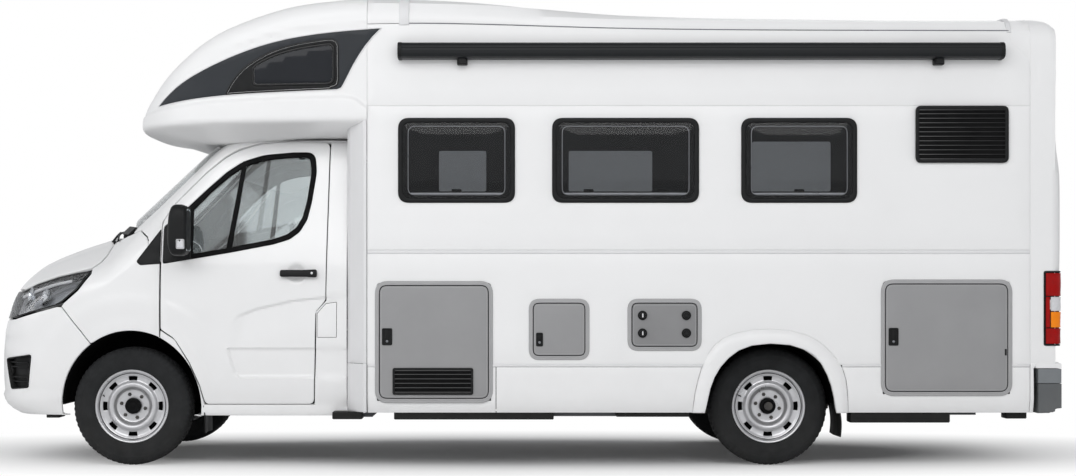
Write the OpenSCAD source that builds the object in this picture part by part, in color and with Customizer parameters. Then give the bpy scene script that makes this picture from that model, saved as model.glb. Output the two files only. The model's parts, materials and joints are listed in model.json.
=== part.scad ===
// Overcab motorhome: a panel van cab with a coach-built living body on a ladder frame.
// +X points forward, +Y to the vehicle's left, +Z up. The origin is on the ground, at the
// middle of the overall length and width. All sizes are in millimetres.

/* [Running gear] */
// Distance between the axles
wheelbase = 3830; // [3600:10:4200]
// X of the front axle
front_axle_x = 2345; // [2300:5:2400]
// Outer diameter of the tyre
tyre_d = 712; // [680:2:730]
// Section width of the tyre
tyre_w = 235; // [195:5:245]
// Diameter over the flanges of the rim
rim_d = 441; // [410:1:460]
// Distance between the tyre centres of one axle
track = 1740; // [1700:5:1760]
// Diameter of the stub axle that carries each wheel
stub_d = 50; // [40:1:60]
// Diameter of the kingpins
kingpin_d = 24; // [18:1:28]

/* [Chassis] */
// Height of the frame rails
rail_h = 140; // [100:5:150]
// Width of a frame rail
rail_w = 60; // [40:5:80]
// Distance from the middle of the vehicle to the middle of a rail
rail_y = 460; // [430:5:470]
// Underside of the frame rails above the ground
rail_z = 430; // [425:5:440]
// Diameter of the rear axle tube
axle_tube_d = 90; // [70:1:110]
// Radius of the towing eye socket
tow_socket_r = 10; // [8:0.5:12]
// Radius of the tow bar bolt holes
tow_bolt_r = 6.5; // [5:0.5:8]
// Distance between the tow bar bolt holes across the vehicle
tow_bolt_y = 300; // [200:10:340]
// Distance between the tow bar bolt holes along the vehicle
tow_bolt_x = 50; // [40:5:60]

/* [Living body] */
// Half of the outer width of the living body
hab_y = 1130; // [1100:5:1160]
// Thickness of the walls and the roof
wall_t = 34; // [25:1:45]
// Front edge of the side walls
hab_front_x = 918; // [900:1:930]
// Rear edge of the side walls
hab_rear_x = -3014; // [-3060:2:-2960]
// Rear face of the living body
rear_face_x = -3187; // [-3220:1:-3160]
// Foot of the side walls, and top of the skirts
skirt_top_z = 611; // [600:1:640]
// Lower edge of the skirts
skirt_z = 326; // [300:2:350]
// Top of the side walls behind the overcab
eaves_z = 2592; // [2500:4:2640]
// Height of the roof edge behind the overcab
roof_z = 2674; // [2660:2:2720]
// Height of the roof edge at its peak over the cab
peak_z = 2800; // [2760:4:2840]
// How far the roof rises from its edge to its middle
roof_crown = 30; // [10:5:50]
// Thickness of the living floor
floor_t = 70; // [40:1:90]
// Half width of the rear wheel arch
rear_arch_r = 394; // [385:1:420]
// Top of the rear wheel arch
rear_arch_z = 755; // [745:5:800]

/* [Cab] */
// Thickness of the cab skin and its doors
skin_t = 40; // [30:1:50]
// Rear edge of the cab
cab_rear_x = 1043; // [1030:1:1060]
// Lower edge of the cab sills
sill_z = 303; // [290:1:320]
// Height of the cab roof
cab_roof_z = 2010; // [2000:2:2020]
// Half width of the front wheel arch
front_arch_r = 418; // [410:1:430]
// Foremost point of the front bumper
nose_x = 3250; // [3200:5:3300]
// Gap around the cab doors and the bonnet
shut_gap = 8; // [6:1:10]
// Thickness of the window glass of the cab
glass_t = 6; // [4:1:8]

/* [Openings in the living body] */
// Width of the flange of a window frame
window_flange = 36; // [25:1:45]
// Width of the flange of a hatch frame
hatch_flange = 28; // [20:1:35]
// Gap between a hatch leaf and its frame
hatch_gap = 7; // [6:0.5:9]
// Thickness of a hatch leaf
hatch_t = 30; // [22:1:34]
// Width of the entrance door opening
entrance_w = 640; // [560:10:700]
// Diameter of the awning case
awning_d = 100; // [80:2:120]
// Length of the awning case
awning_l = 3575; // [3000:25:3650]

/* [Hidden] */

$fn = 48;
fit = 0.3;
run_fit = 0.05;
axle_z = tyre_d / 2;
rear_axle_x = front_axle_x - wheelbase;
wheel_y = track / 2;
kingpin_y = wheel_y - 50;
hab_in = hab_y - wall_t;
span_y = hab_y + 70;    // reaches past the body's sides
rail_top = rail_z + rail_h;
floor_z = rail_top + floor_t;
white = [0.93, 0.93, 0.93];
black = [0.09, 0.09, 0.1];
grey = [0.6, 0.6, 0.6];
steel = [0.35, 0.35, 0.37];

// ---------- Outlines and extrusions ----------

// Points of an arc in the plane, from angle a0 to a1
function arc(c, r, a0, a1, n = 8) =
    [for (i = [0:n]) let (a = a0 + (a1 - a0) * i / n) [c[0] + r * cos(a), c[1] + r * sin(a)]];

// Rounded rectangle between two corners
function rounded(lo, hi, r, n = 6) = concat(
    arc([hi[0] - r, hi[1] - r], r, 0, 90, n), arc([lo[0] + r, hi[1] - r], r, 90, 180, n),
    arc([lo[0] + r, lo[1] + r], r, 180, 270, n), arc([hi[0] - r, lo[1] + r], r, 270, 360, n));

// A rectangle [lo, hi] made smaller by d on each side
function inset(b, d) = [[b[0][0] + d, b[0][1] + d], [b[1][0] - d, b[1][1] - d]];

// Mirrors an outline about the vertical axis and joins both halves
function both(half) = concat(half, [for (i = [len(half) - 1:-1:0]) [-half[i][0], half[i][1]]]);

// Extrudes a side-view outline (X, Z) from y0 to y1
module side_view(y0, y1) {
    translate([0, y1, 0]) rotate([90, 0, 0]) linear_extrude(y1 - y0) children();
}

// Extrudes a front-view outline (Y, Z) from x0 to x1
module front_view(x0, x1) {
    translate([x0, 0, 0]) rotate([90, 0, 90]) linear_extrude(x1 - x0) children();
}

// Extrudes a plan outline (X, Y) from z0 to z1
module plan_view(z0, z1) {
    translate([0, 0, z0]) linear_extrude(z1 - z0) children();
}

// A block between two corners
module block(lo, hi) {
    translate(lo) cube(hi - lo);
}

// Draws the children on the left, and again mirrored on the right
module both_sides() {
    children();
    mirror([0, 1, 0]) children();
}

// Whether the cell i, j of a grid of points lies in one of the holes [low corner, high corner]
function in_hole(g, i, j, holes) = len([for (h = holes)
    if (g[i][j][0] >= h[0][0] && g[i + 1][j][0] <= h[1][0]
        && min(g[i][j][1], g[i][j + 1][1]) >= h[0][1]
        && max(g[i][j][1], g[i][j + 1][1]) <= h[1][1]) 1]) > 0;

// A closed sheet between two grids of points of the same size, with holes right through it
module sheet(top, under, holes) {
    nu = len(top);
    nv = len(top[0]);
    m = nu * nv;
    cells = [for (i = [0:nu - 2]) for (j = [0:nv - 2]) [i, j, in_hole(top, i, j, holes)]];
    function at(i, j, k) = k * m + i * nv + j;
    // Walls that face along the rows and across them, forwards and backwards
    function wall_i(i, j) = [[at(i, j, 0), at(i, j + 1, 0), at(i, j + 1, 1)],
        [at(i, j, 0), at(i, j + 1, 1), at(i, j, 1)]];
    function wall_j(i, j) = [[at(i, j, 0), at(i, j, 1), at(i + 1, j, 1)],
        [at(i, j, 0), at(i + 1, j, 1), at(i + 1, j, 0)]];
    function turned(faces) = [for (f = faces) [f[0], f[2], f[1]]];
    polyhedron(concat([for (r = top) for (p = r) p], [for (r = under) for (p = r) p]), concat(
        [for (c = cells) if (!c[2]) let (i = c[0], j = c[1]) each [
            [at(i, j, 0), at(i, j + 1, 0), at(i + 1, j + 1, 0)],
            [at(i, j, 0), at(i + 1, j + 1, 0), at(i + 1, j, 0)],
            [at(i, j, 1), at(i + 1, j + 1, 1), at(i, j + 1, 1)],
            [at(i, j, 1), at(i + 1, j, 1), at(i + 1, j + 1, 1)]]],
        [for (c = cells) if (c[2]) let (i = c[0], j = c[1]) each concat(
            in_hole(top, i - 1, j, holes) ? [] : wall_i(i, j),
            in_hole(top, i + 1, j, holes) ? [] : turned(wall_i(i + 1, j)),
            in_hole(top, i, j - 1, holes) ? [] : wall_j(i, j),
            in_hole(top, i, j + 1, holes) ? [] : turned(wall_j(i, j + 1)))],
        [for (i = [0:nu - 2]) each concat(turned(wall_j(i, 0)), wall_j(i, nv - 1))],
        [for (j = [0:nv - 2]) each concat(turned(wall_i(0, j)), wall_i(nu - 1, j))]));
}

// A unit vector
function unit(v) = v / norm(v);

// Moves the edges of an anticlockwise outline inwards by d
function shrink(p, d) = let (n = len(p)) [for (i = [0:n - 1])
    let (u = unit(p[i] - p[(i + n - 1) % n]), v = unit(p[(i + 1) % n] - p[i]),
        a = [-u[1], u[0]], b = [-v[1], v[0]]) p[i] + (a + b) * d / (1 + a * b)];

// ---------- Hinges ----------

// Fixed half of a hinge on the Z axis: a knuckle that carries the pin
module hinge_fixed(r, l) {
    cylinder(r = r, h = l);
    cylinder(r = r / 2, h = 2 * l);
}

// Moving half of the hinge: a knuckle bored for the pin
module hinge_moving(r, l) {
    difference() {
        translate([0, 0, l + fit]) cylinder(r = r, h = l - fit);
        translate([0, 0, -1]) cylinder(r = r / 2 + run_fit, h = 2 * l + 2);
    }
}

// Room in the moving piece for the fixed knuckle
module room_for_fixed(r, l) {
    translate([0, 0, -1]) cylinder(r = r + 1, h = l + 1 + fit);
}

// Room in the fixed piece for the moving knuckle
module room_for_moving(r, l) {
    translate([0, 0, l]) cylinder(r = r + 1, h = l + 1);
}

// ---------- Shape of the cab ----------

cab_half = [[955, sill_z], [985, 420], [1003, 700], [1010, 950], [1000, 1150], [985, 1250],
    [925, 1500], [865, 1750], [815, 1950], [770, cab_roof_z]];
cab_front = both(cab_half);
cab_side = [[cab_rear_x, sill_z], [nose_x - 150, sill_z], [nose_x - 60, 345], [nose_x - 15, 400],
    [nose_x, 470], [nose_x, 700], [nose_x - 22, 816], [nose_x - 45, 880], [nose_x - 70, 976],
    [nose_x - 100, 1052], [nose_x - 145, 1125], [3059, 1180], [2988, 1231], [2836, 1297],
    [2693, 1352], [2591, 1383], [2532, 1398], [1905, 1985], [1850, cab_roof_z - 5],
    [1780, cab_roof_z], [cab_rear_x, cab_roof_z]];
nose_start = 2600;
nose_power = 2.8;
cab_w = 1010;
cab_plan = concat([[cab_rear_x, -cab_w]],
    [for (i = [-10:10]) let (a = 9 * i)
        [nose_start + (nose_x - nose_start) * pow(cos(a), 2 / nose_power),
            cab_w * sign(i) * pow(abs(sin(a)), 2 / nose_power)]],
    [[cab_rear_x, cab_w]]);

// The cab as one solid, made smaller by d
module cab_solid(d) {
    intersection() {
        side_view(-1100, 1100) polygon(shrink(cab_side, d));
        front_view(900, nose_x + 100) polygon(shrink(cab_front, d));
        plan_view(200, 2100) polygon(shrink(cab_plan, d));
    }
}

// The skin of the cab, open below and at the rear
module cab_skin() {
    difference() {
        cab_solid(0);
        cab_solid(skin_t);
        block([cab_rear_x - 10, -740, 200], [cab_rear_x + skin_t + 10, 740, 1900]);
        block([cab_rear_x - 10, -900, 200], [nose_x + 10, 900, sill_z + skin_t + 2]);
    }
}

// Side view of the opening for a front wheel, made larger by d
module front_arch(d) {
    translate([front_axle_x, axle_z]) polygon([for (i = [0:35]) let (a = 10 * i)
        [(front_arch_r + d) * cos(a), (front_arch_r + 37 + d) * sin(a)]]);
}

// Both front wheel openings, from y0 outwards
module front_arches(y0, d = 0) {
    both_sides() side_view(y0, 1100) front_arch(d);
}

door_front = 2163;
door_rear = 1240;
door_foot = 372;
door_outline = [[door_rear + 12, door_foot], [1900, door_foot], [1930, 486], [1990, 624],
    [2080, 768], [door_front, 828], [door_front, 1465], [2093, 1578], [2018, 1655],
    [1912, 1764], [1802, 1855], [1717, 1904], [1595, 1943], [1412, 1962], [1170, 1955],
    [1180, 996], [door_rear, 924]];
door_window = [[2012, 1238], [2012, 1556], [1900, 1668], [1791, 1768],
    [1694, 1838], [1567, 1876], [1397, 1892], [1288, 1892], [1246, 1862], [1240, 1820],
    [1252, 1698], [1270, 1583], [1294, 1480], [1337, 1414], [1397, 1365], [1494, 1335],
    [1615, 1310], [1755, 1283], [1973, 1238]];
bonnet_line = [[3400, 1040], [3150, 1046], [3089, 1052], [2936, 1112], [2758, 1168],
    [2663, 1184], [2592, 1208], [2545, 1262], [2532, 1310], [2532, 1600], [3400, 1600]];
lamp_outline = [[3144, 864], [3150, 1040], [3089, 1044], [2936, 1104], [2758, 1160],
    [2668, 1176], [2668, 1152], [2738, 1062], [2848, 969], [2984, 934], [3104, 904]];
wing_split = door_front + shut_gap;

// The zone that the windscreen fills, made smaller by d
module screen_zone(d) {
    intersection() {
        side_view(-1000, 1000) polygon([[2300, 1300], [2512 - d, 1300], [2512 - d, 1410],
            [1925 + d, 2100], [1925 + d, 1850]]);
        front_view(1800, 2600) polygon(shrink(cab_front, 78 + d));
    }
}

module cab_shell() {
    color(white) {
        difference() {
            cab_skin();
            side_view(-1100, 1100) polygon(shrink(door_outline, -shut_gap));
            screen_zone(0);
            front_arches(500);
            plan_view(200, 2200) polygon([[wing_split, -1100], [3400, -1100], [3400, 1100],
                [wing_split, 1100], [wing_split, 400], [wing_split, -400]]);
        }
        // Frame above the wings that carries the windscreen
        difference() {
            intersection() {
                cab_skin();
                side_view(-1100, 1100) polygon([[wing_split, 1225], [2480, 1338],
                    [2532 - shut_gap, 1338], [2532 - shut_gap, 2100], [wing_split, 2100]]);
            }
            screen_zone(0);
            both_sides() bonnet_hinge_place() room_for_moving(7, 30);
        }
        both_sides() bonnet_hinge_place() hinge_fixed(7, 30);
        // Floor, firewall and cowl
        difference() {
            intersection() {
                cab_solid(skin_t);
                union() {
                    block([cab_rear_x + skin_t, -1000, rail_top], [2140, 1000, rail_top + 25]);
                    block([2140, -1000, rail_top], [2165, 1000, 1190]);
                    side_view(-1000, 1000) polygon([[2165, 1165], [2480, 1310], [2480, 1338],
                        [2140, 1190], [2140, 1165]]);
                }
            }
            front_arches(rail_y + rail_w / 2, 10);
        }
    }
}

// Places a hinge of the bonnet with its axis across the vehicle
module bonnet_hinge_place() {
    translate([2532 - shut_gap / 2, 600, 1398]) rotate([-90, 0, 0]) children();
}

module front_wings() {
    color(white) difference() {
        intersection() {
            cab_skin();
            side_view(-1100, 1100) polygon([[wing_split, 200], [2584, 200], [2584, 746],
                [2752, 966], [2848, 969], [2738, 1062], [2668, 1152], [2668, 1176],
                [2592, 1208 - shut_gap], [2545 - shut_gap, 1262], [2532 - shut_gap, 1310],
                [2532 - shut_gap, 1338], [2480, 1338], [wing_split, 1225]]);
        }
        front_arches(500);
        block([2300, -900, 1150], [2700, 900, 1500]);
        both_sides() door_hinge_place() room_for_moving(door_hinge_r, door_hinge_l);
    }
    color(white) both_sides() door_hinge_place() hinge_fixed(door_hinge_r, door_hinge_l);
}

module front_bumper() {
    color(white) difference() {
        intersection() {
            cab_skin();
            side_view(-1100, 1100) polygon([[2584, 200], [3400, 200], [3400, 1040 - shut_gap],
                [3089, 1044], [2984, 1044], [2984, 934], [2848, 969], [2752, 966], [2584, 746]]);
        }
        lamp_zone();
        front_arches(500);
        front_view(3000, 3400) polygon(rounded([-470, 500], [470, 640], 40));
        front_view(3000, 3400) polygon(rounded([-420, 880], [420, 990], 30));
        both_sides() front_view(2900, 3400) polygon(rounded([640, 440], [800, 610], 30));
        tow_socket(4 * tow_socket_r);
    }
}

module front_grille() {
    color(black) intersection() {
        difference() {
            cab_solid(8);
            cab_solid(skin_t - 6);
        }
        union() {
            intersection() {
                front_view(3000, 3400) polygon(rounded([-470, 500], [470, 640], 40));
                union() {
                    for (z = [500:28:640]) block([3000, -480, z], [3400, 480, z + 8]);
                    for (y = [-400:200:400]) block([3000, y - 5, 490], [3400, y + 5, 650]);
                    difference() {
                        block([3000, -480, 490], [3400, 480, 650]);
                        front_view(2990, 3410) polygon(rounded([-462, 508], [462, 632], 32));
                    }
                }
            }
            intersection() {
                front_view(3000, 3400) polygon(rounded([-420, 880], [420, 990], 30));
                union() {
                    for (z = [880:22:990]) block([3000, -430, z], [3400, 430, z + 7]);
                    for (y = [-300:200:300]) block([3000, y - 5, 870], [3400, y + 5, 1000]);
                    difference() {
                        block([3000, -430, 870], [3400, 430, 1000]);
                        front_view(2990, 3410) polygon(rounded([-412, 888], [412, 982], 22));
                    }
                }
            }
            both_sides() front_view(2900, 3400) polygon(rounded([640, 440], [800, 610], 30));
        }
    }
}

module lamp_zone() {
    both_sides() side_view(600, 1100) polygon(lamp_outline);
}

module headlamps() {
    color([0.8, 0.82, 0.85]) intersection() {
        cab_skin();
        lamp_zone();
    }
}

module bonnet() {
    color(white) {
        difference() {
            intersection() {
                cab_skin();
                side_view(-1100, 1100) polygon(bonnet_line);
            }
            both_sides() bonnet_hinge_place() room_for_fixed(7, 30);
        }
        both_sides() bonnet_hinge_place() hinge_moving(7, 30);
    }
}

module windscreen() {
    color([0.35, 0.4, 0.42]) intersection() {
        difference() {
            cab_solid(4);
            cab_solid(4 + glass_t);
        }
        screen_zone(0);
    }
}

// ---------- Cab doors ----------

door_hinge_x = door_front + shut_gap / 2;
door_hinge_y = cab_w + 2;
door_hinge_r = 9;
door_hinge_l = 32;

// Places the hinges of the left door
module door_hinge_place() {
    for (z = [880, 1120]) translate([door_hinge_x, door_hinge_y - 6, z]) children();
}

module cab_door(side) {
    mirror([0, side, 0]) {
        difference() {
            union() {
                intersection() {
                    cab_skin();
                    block([1000, 0, 200], [2300, 1100, 2100]);
                    side_view(0, 1100) polygon(door_outline);
                }
                door_hinge_place() translate([0, 0, door_hinge_l + fit])
                    cylinder(r = door_hinge_r, h = door_hinge_l - fit);
            }
            side_view(0, 1100) polygon(door_window);
            door_hinge_place() room_for_fixed(door_hinge_r, door_hinge_l);
            door_hinge_place() cylinder(r = door_hinge_r / 2 + run_fit, h = 2 * door_hinge_l + 2);
        }
    }
}

module left_cab_door() {
    color(white) cab_door(0);
}

module right_cab_door() {
    color(white) cab_door(1);
}

module door_glass(side) {
    color([0.35, 0.4, 0.42]) mirror([0, side, 0]) intersection() {
        difference() {
            cab_solid(6);
            cab_solid(6 + glass_t);
        }
        side_view(0, 1100) polygon(door_window);
    }
}

module left_door_glass() {
    door_glass(0);
}

module right_door_glass() {
    door_glass(1);
}

module mirror_unit(side) {
    color(black) mirror([0, side, 0]) difference() {
        union() {
            intersection() {
                side_view(1075, 1275) polygon(rounded([1960, 1255], [2090, 1562], 40));
                plan_view(1200, 1600) polygon([[1960, 1075], [2040, 1075], [2080, 1100],
                    [2092, 1160], [2080, 1230], [2045, 1275], [1960, 1275]]);
            }
            block([2030, 940, 1262], [2085, 1090, 1300]);
        }
        cab_solid(0);
        block([1900, 1090, 1275], [1968, 1260, 1545]);
    }
}

module left_mirror() {
    mirror_unit(0);
}

module right_mirror() {
    mirror_unit(1);
}

// ---------- Living body ----------

wall_outline = [[hab_rear_x, skirt_top_z], [hab_front_x, skirt_top_z], [hab_front_x, eaves_z + 38],
    [426, eaves_z + 38], [-225, eaves_z + 24], [-750, eaves_z], [hab_rear_x, eaves_z]];

// Outer edges of the window frames as [low corner, high corner] in side view
windows = [[[40, 1572], [734, 2076]], [[-1051, 1572], [-179, 2076]], [[-1988, 1572], [-1300, 2076]]];
gas_hatch = [[171, 386], [871, 1109]];
service_hatch = [[-401, 640], [-41, 1004]];
garage_hatch = [[-2907, 427], [-2128, 1118]];
knob_panel = [[-1066, 694], [-626, 1004]];
hatches = [gas_hatch, service_hatch, garage_hatch];
upper_vent = [[-2884, 1809], [-2332, 2147]];
entrance = [[200, 430], [200 + entrance_w, 2330]];

module rear_arches(d, y0 = 700) {
    both_sides() side_view(y0, hab_y + 60) translate([rear_axle_x, axle_z]) circle(r = rear_arch_r + d);
}

// How far a flange reaches over the edge of its hole
seat = 6;

// A rounded hole right through the left wall
module wall_hole(b, r) {
    side_view(hab_in - 9, hab_y + 9) polygon(rounded(b[0], b[1], r));
}

module wall_panel() {
    side_view(hab_in, hab_y) polygon(wall_outline);
}

module left_side_wall() {
    color(white) difference() {
        wall_panel();
        for (w = windows) wall_hole(inset(w, window_flange - seat), 50);
        for (h = concat(hatches, [knob_panel, upper_vent])) wall_hole(inset(h, seat), 40);
        rear_arches(0);
    }
}

module right_side_wall() {
    color(white) mirror([0, 1, 0]) difference() {
        wall_panel();
        for (w = [windows[1], windows[2]]) wall_hole(inset(w, window_flange - seat), 50);
        wall_hole(inset(garage_hatch, seat), 40);
        wall_hole(entrance, 60);
        mirror([0, 1, 0]) rear_arches(0);
        entrance_place() room_for_moving(hinge_r, hinge_l);
        entrance_place() cylinder(r = hinge_r + 0.1, h = hinge_l + 1);
    }
}

hinge_r = 6;
hinge_l = 24;
entrance_hinges = [700, 2100];
hatch_frame_h = 8;

skirt_t = 22;

module side_skirts() {
    color(white) difference() {
        union() {
            both_sides() block([hab_rear_x, hab_y - skirt_t, skirt_z], [hab_front_x, hab_y, skirt_top_z]);
            both_sides() side_view(hab_y - 5, hab_y + 10) translate([rear_axle_x, axle_z])
                polygon(concat(arc([0, 0], rear_arch_r + 62, -4, 184, 24),
                    arc([0, 0], rear_arch_r, 184, -4, 24)));
            both_sides() block([hab_rear_x, hab_in, skirt_top_z - 24],
                [hab_front_x, hab_y - skirt_t, skirt_top_z]);
        }
        rear_arches(0);
        both_sides() block([rear_axle_x - 600, hab_y - 5, skirt_top_z], [rear_axle_x + 600, hab_y, 900]);
        for (h = hatches) wall_hole(inset(h, seat), 40);
        mirror([0, 1, 0]) wall_hole(inset(garage_hatch, seat), 40);
        mirror([0, 1, 0]) wall_hole(entrance, 60);
    }
}

// The living body's outline from the rear: walls with a rounded, slightly crowned roof
function hab_half(z, c) = [[hab_y, skirt_top_z], [hab_y, z - 72], [hab_y - 5, z - 46],
    [hab_y - 20, z - 22], [hab_y - 44, z - 6], [hab_y - 74, z], [500, z + c * 0.8],
    [rooflight / 2, z + c], [0, z + c]];

// The roof's side view: its top line, from the peak over the cab to the rear corner
roof_line = [[hab_front_x, peak_z - 4], [778, peak_z], [610, peak_z - 6], [370, peak_z - 18],
    [130, peak_z - 36], [-110, peak_z - 60], [-350, peak_z - 84], [-590, roof_z + 20],
    [-830, roof_z + 10], [-1550, roof_z + 3], [-2870, roof_z], [hab_rear_x, roof_z - 6]];
rooflight = 410;
rooflight_x = [-150, -1900];
roof_stations = [hab_rear_x, -2870, rooflight_x[1] - rooflight / 2, rooflight_x[1] + rooflight / 2,
    -1550, -830, -750, -590, rooflight_x[0] - rooflight / 2, -225, -110,
    rooflight_x[0] + rooflight / 2, 130, 370, 426, 610, 778, hab_front_x];

// Height of the top of the side walls
function wall_top(x) = lookup(x, [[hab_rear_x, eaves_z], [-750, eaves_z], [-225, eaves_z + 24],
    [426, eaves_z + 38], [hab_front_x, eaves_z + 38]]);

function hab_outline(z) = let (h = hab_half(z, roof_crown)) concat(h,
    [for (i = [len(h) - 2:-1:0]) [-h[i][0], h[i][1]]]);

// The roof's cross section at x, and the same one on its inner face
function roof_outer(x) = let (h = hab_outline(lookup(x, roof_line)), n = len(h) - 1)
    [for (i = [0:n]) [x, h[i][0], i == 0 || i == n ? wall_top(x) + fit : h[i][1]]];
function roof_inner(x) = let (h = roof_outer(x), n = len(h) - 1)
    [for (i = [0:n]) [x, abs(h[i][1]) > 600 ? h[i][1] * hab_in / hab_y : h[i][1],
        h[i][2] - (i == 0 || i == n ? 0 : wall_t)]];

module roof() {
    color(white) sheet([for (x = roof_stations) roof_outer(x)], [for (x = roof_stations) roof_inner(x)],
        [for (x = rooflight_x) [[x - rooflight / 2, -rooflight / 2], [x + rooflight / 2, rooflight / 2]]]);
}

module rooflights() {
    r = rooflight / 2;
    color([0.85, 0.87, 0.88]) for (x = rooflight_x) {
        z = lookup(x, roof_line) + roof_crown;
        difference() {
            block([x - r, -r, z - 60], [x + r, r, z + 40]);
            block([x - r + 20, -r + 20, z - 61], [x + r - 20, r - 20, z + 25]);
        }
    }
}

pod_turn_x = 1500;    // where the pod's plan starts to curve in
pod_reach = 905;      // from there to its nose
pod_square = 2.8;     // how square the plan's corners are
pod_top = [[2405, 2056], [2398, 2112], [2345, 2172], [2282, 2220], [2212, 2284], [2148, 2336],
    [2073, 2396], [1993, 2450], [1917, 2500], [1842, 2542], [1768, 2580], [1696, 2611],
    [1624, 2640], [1553, 2664], [1410, 2708], [1268, 2740], [1126, 2762], [994, 2780]];
pod_side = concat([[hab_front_x, cab_roof_z], [2362, cab_roof_z], [2395, 2022]],
    [for (p = pod_top) [p[0], p[1] + (p[1] > 2180
        ? peak_z - 2794 + (p[1] - 2180) / 620 * roof_crown : 0)]],
    [[hab_front_x, peak_z + roof_crown - 4]]);
pod_plan = concat([[hab_front_x, -hab_y]], [for (i = [-8:8]) let (a = 11.25 * i)
    [pod_turn_x + pod_reach * pow(cos(a), 2 / pod_square),
        hab_y * sign(i) * pow(abs(sin(a)), 2 / pod_square)]],
    [[hab_front_x, hab_y]]);

module pod_solid(d) {
    intersection() {
        side_view(-span_y, span_y) polygon(shrink(pod_side, d));
        front_view(900, 2500) polygon(shrink(hab_outline(peak_z), d));
        plan_view(1900, 3000) polygon(shrink(pod_plan, d));
    }
}

pod_window = [[1150, 2310], [1568, 2310], [1520, 2440], [1400, 2490], [1150, 2505]];

module overcab() {
    color(white) {
        difference() {
            pod_solid(0);
            pod_solid(wall_t);
            block([hab_front_x - 5, -hab_in, cab_roof_z + wall_t],
                [hab_front_x + wall_t + 5, hab_in, 2560]);
            side_view(-span_y, span_y) polygon(pod_window);
            block([hab_front_x - 5, -560, cab_roof_z - 5],
                [1500, 560, cab_roof_z + wall_t + 5]);
        }
    }
}

module cab_side_fairings() {
    color(white) both_sides() plan_view(skirt_z, cab_roof_z)
        polygon([[cab_rear_x, 742], [cab_rear_x, 1004], [1020, 1040], [985, 1080], [950, 1112],
            [hab_front_x, hab_y], [hab_front_x, hab_in], [950, 1060], [980, 1010], [1009, 960],
            [1009, 742]]);
}

rear_corner_r = 120;
rear_plan = concat([[hab_rear_x, hab_y]],
    arc([rear_face_x + rear_corner_r, hab_y - rear_corner_r], rear_corner_r, 90, 180, 6),
    arc([rear_face_x + rear_corner_r, -hab_y + rear_corner_r], rear_corner_r, 180, 270, 6),
    [[hab_rear_x, -hab_y]]);
rear_side = concat([[rear_face_x, 460], [hab_rear_x, 460], [hab_rear_x, roof_z + roof_crown - 6]],
    arc([rear_face_x + 170, roof_z - 176], 170, 90, 180, 6));

module rear_solid(d) {
    intersection() {
        side_view(-span_y, span_y) polygon(shrink(rear_side, d));
        front_view(-3300, hab_rear_x)
            polygon(shrink(concat([[hab_y, 450]], hab_outline(roof_z - 6), [[-hab_y, 450]]), d));
        plan_view(400, 3000) polygon(shrink(rear_plan, d));
    }
}

module rear_cap() {
    color(white) difference() {
        rear_solid(0);
        rear_solid(wall_t);
        block([hab_rear_x - wall_t - 5, -hab_in, 494], [hab_rear_x + 5, hab_in, 2600]);
        both_sides() lamp_block(1);
        rear_bumper_box(0);
    }
}

module lamp_block(d) {
    block([rear_face_x - 20, 1046, 724 - d], [-3100, hab_y + 20, 1169 + d]);
}

module tail_lamps() {
    color([0.6, 0.05, 0.05]) both_sides() intersection() {
        lamp_block(0);
        rear_solid(2);
    }
}

module rear_bumper_box(d) {
    plan_view(skirt_z + d, 587 - d) polygon([[hab_rear_x, -hab_y], [hab_rear_x, hab_y], [-3130, hab_y],
        [-3200, hab_y - 30], [-3235, hab_y - 80], [-3250, hab_y - 160],
        [-3250, -hab_y + 160], [-3235, -hab_y + 80], [-3200, -hab_y + 30], [-3130, -hab_y]]);
}

module rear_bumper() {
    color([0.35, 0.36, 0.37]) difference() {
        rear_bumper_box(0);
        block([-3190, -hab_in - 4, 300], [hab_rear_x + 10, hab_in + 4, 600]);
        both_sides() block([hab_rear_x - 27, hab_in - 10, 300], [hab_rear_x + 5, hab_y + 5, 600]);
    }
}

module floor() {
    color([0.7, 0.6, 0.45]) {
        difference() {
            plan_view(rail_top, floor_z) polygon([[-2025, -hab_in], [hab_front_x, -hab_in], [950, -1060],
                [980, -1010], [1009, -960], [1009, 960], [980, 1010], [950, 1060],
                [hab_front_x, hab_in], [-2025, hab_in]]);
            rear_arches(10, 692);
            block([gas_hatch[0][0] + seat, hab_in - 470, 300],
                [gas_hatch[1][0] - seat, hab_in + 5, 900]);
            block([entrance[0][0] - 16, -hab_in - 5, 300],
                [entrance[1][0] + 16, -hab_in + 350, 900]);
        }
        block([-2040, -hab_in, 425], [-2025, hab_in, floor_z]);
        difference() {
            block([-3150, -hab_in, 400], [-2040, hab_in, 425]);
            rear_bumper_box(0);
            block([-3250, -span_y, 300], [hab_rear_x, span_y, 600]);
            rear_arches(10);
        }
    }
}

module living_furniture() {
    color([0.7, 0.6, 0.45]) {
        // Bed base and bulkhead over the rear locker
        block([hab_rear_x, -hab_in, 1240], [-2040, hab_in, 1262]);
        block([-2060, -hab_in, 425], [-2040, hab_in, 1240]);
        // Kitchen unit and bench against the right wall
        difference() {
            block([-1000, -hab_in, floor_z], [100, -520, 1520]);
            block([-980, -hab_in + 20, floor_z + 20], [80, -540, 1500]);
        }
    }
}

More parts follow.
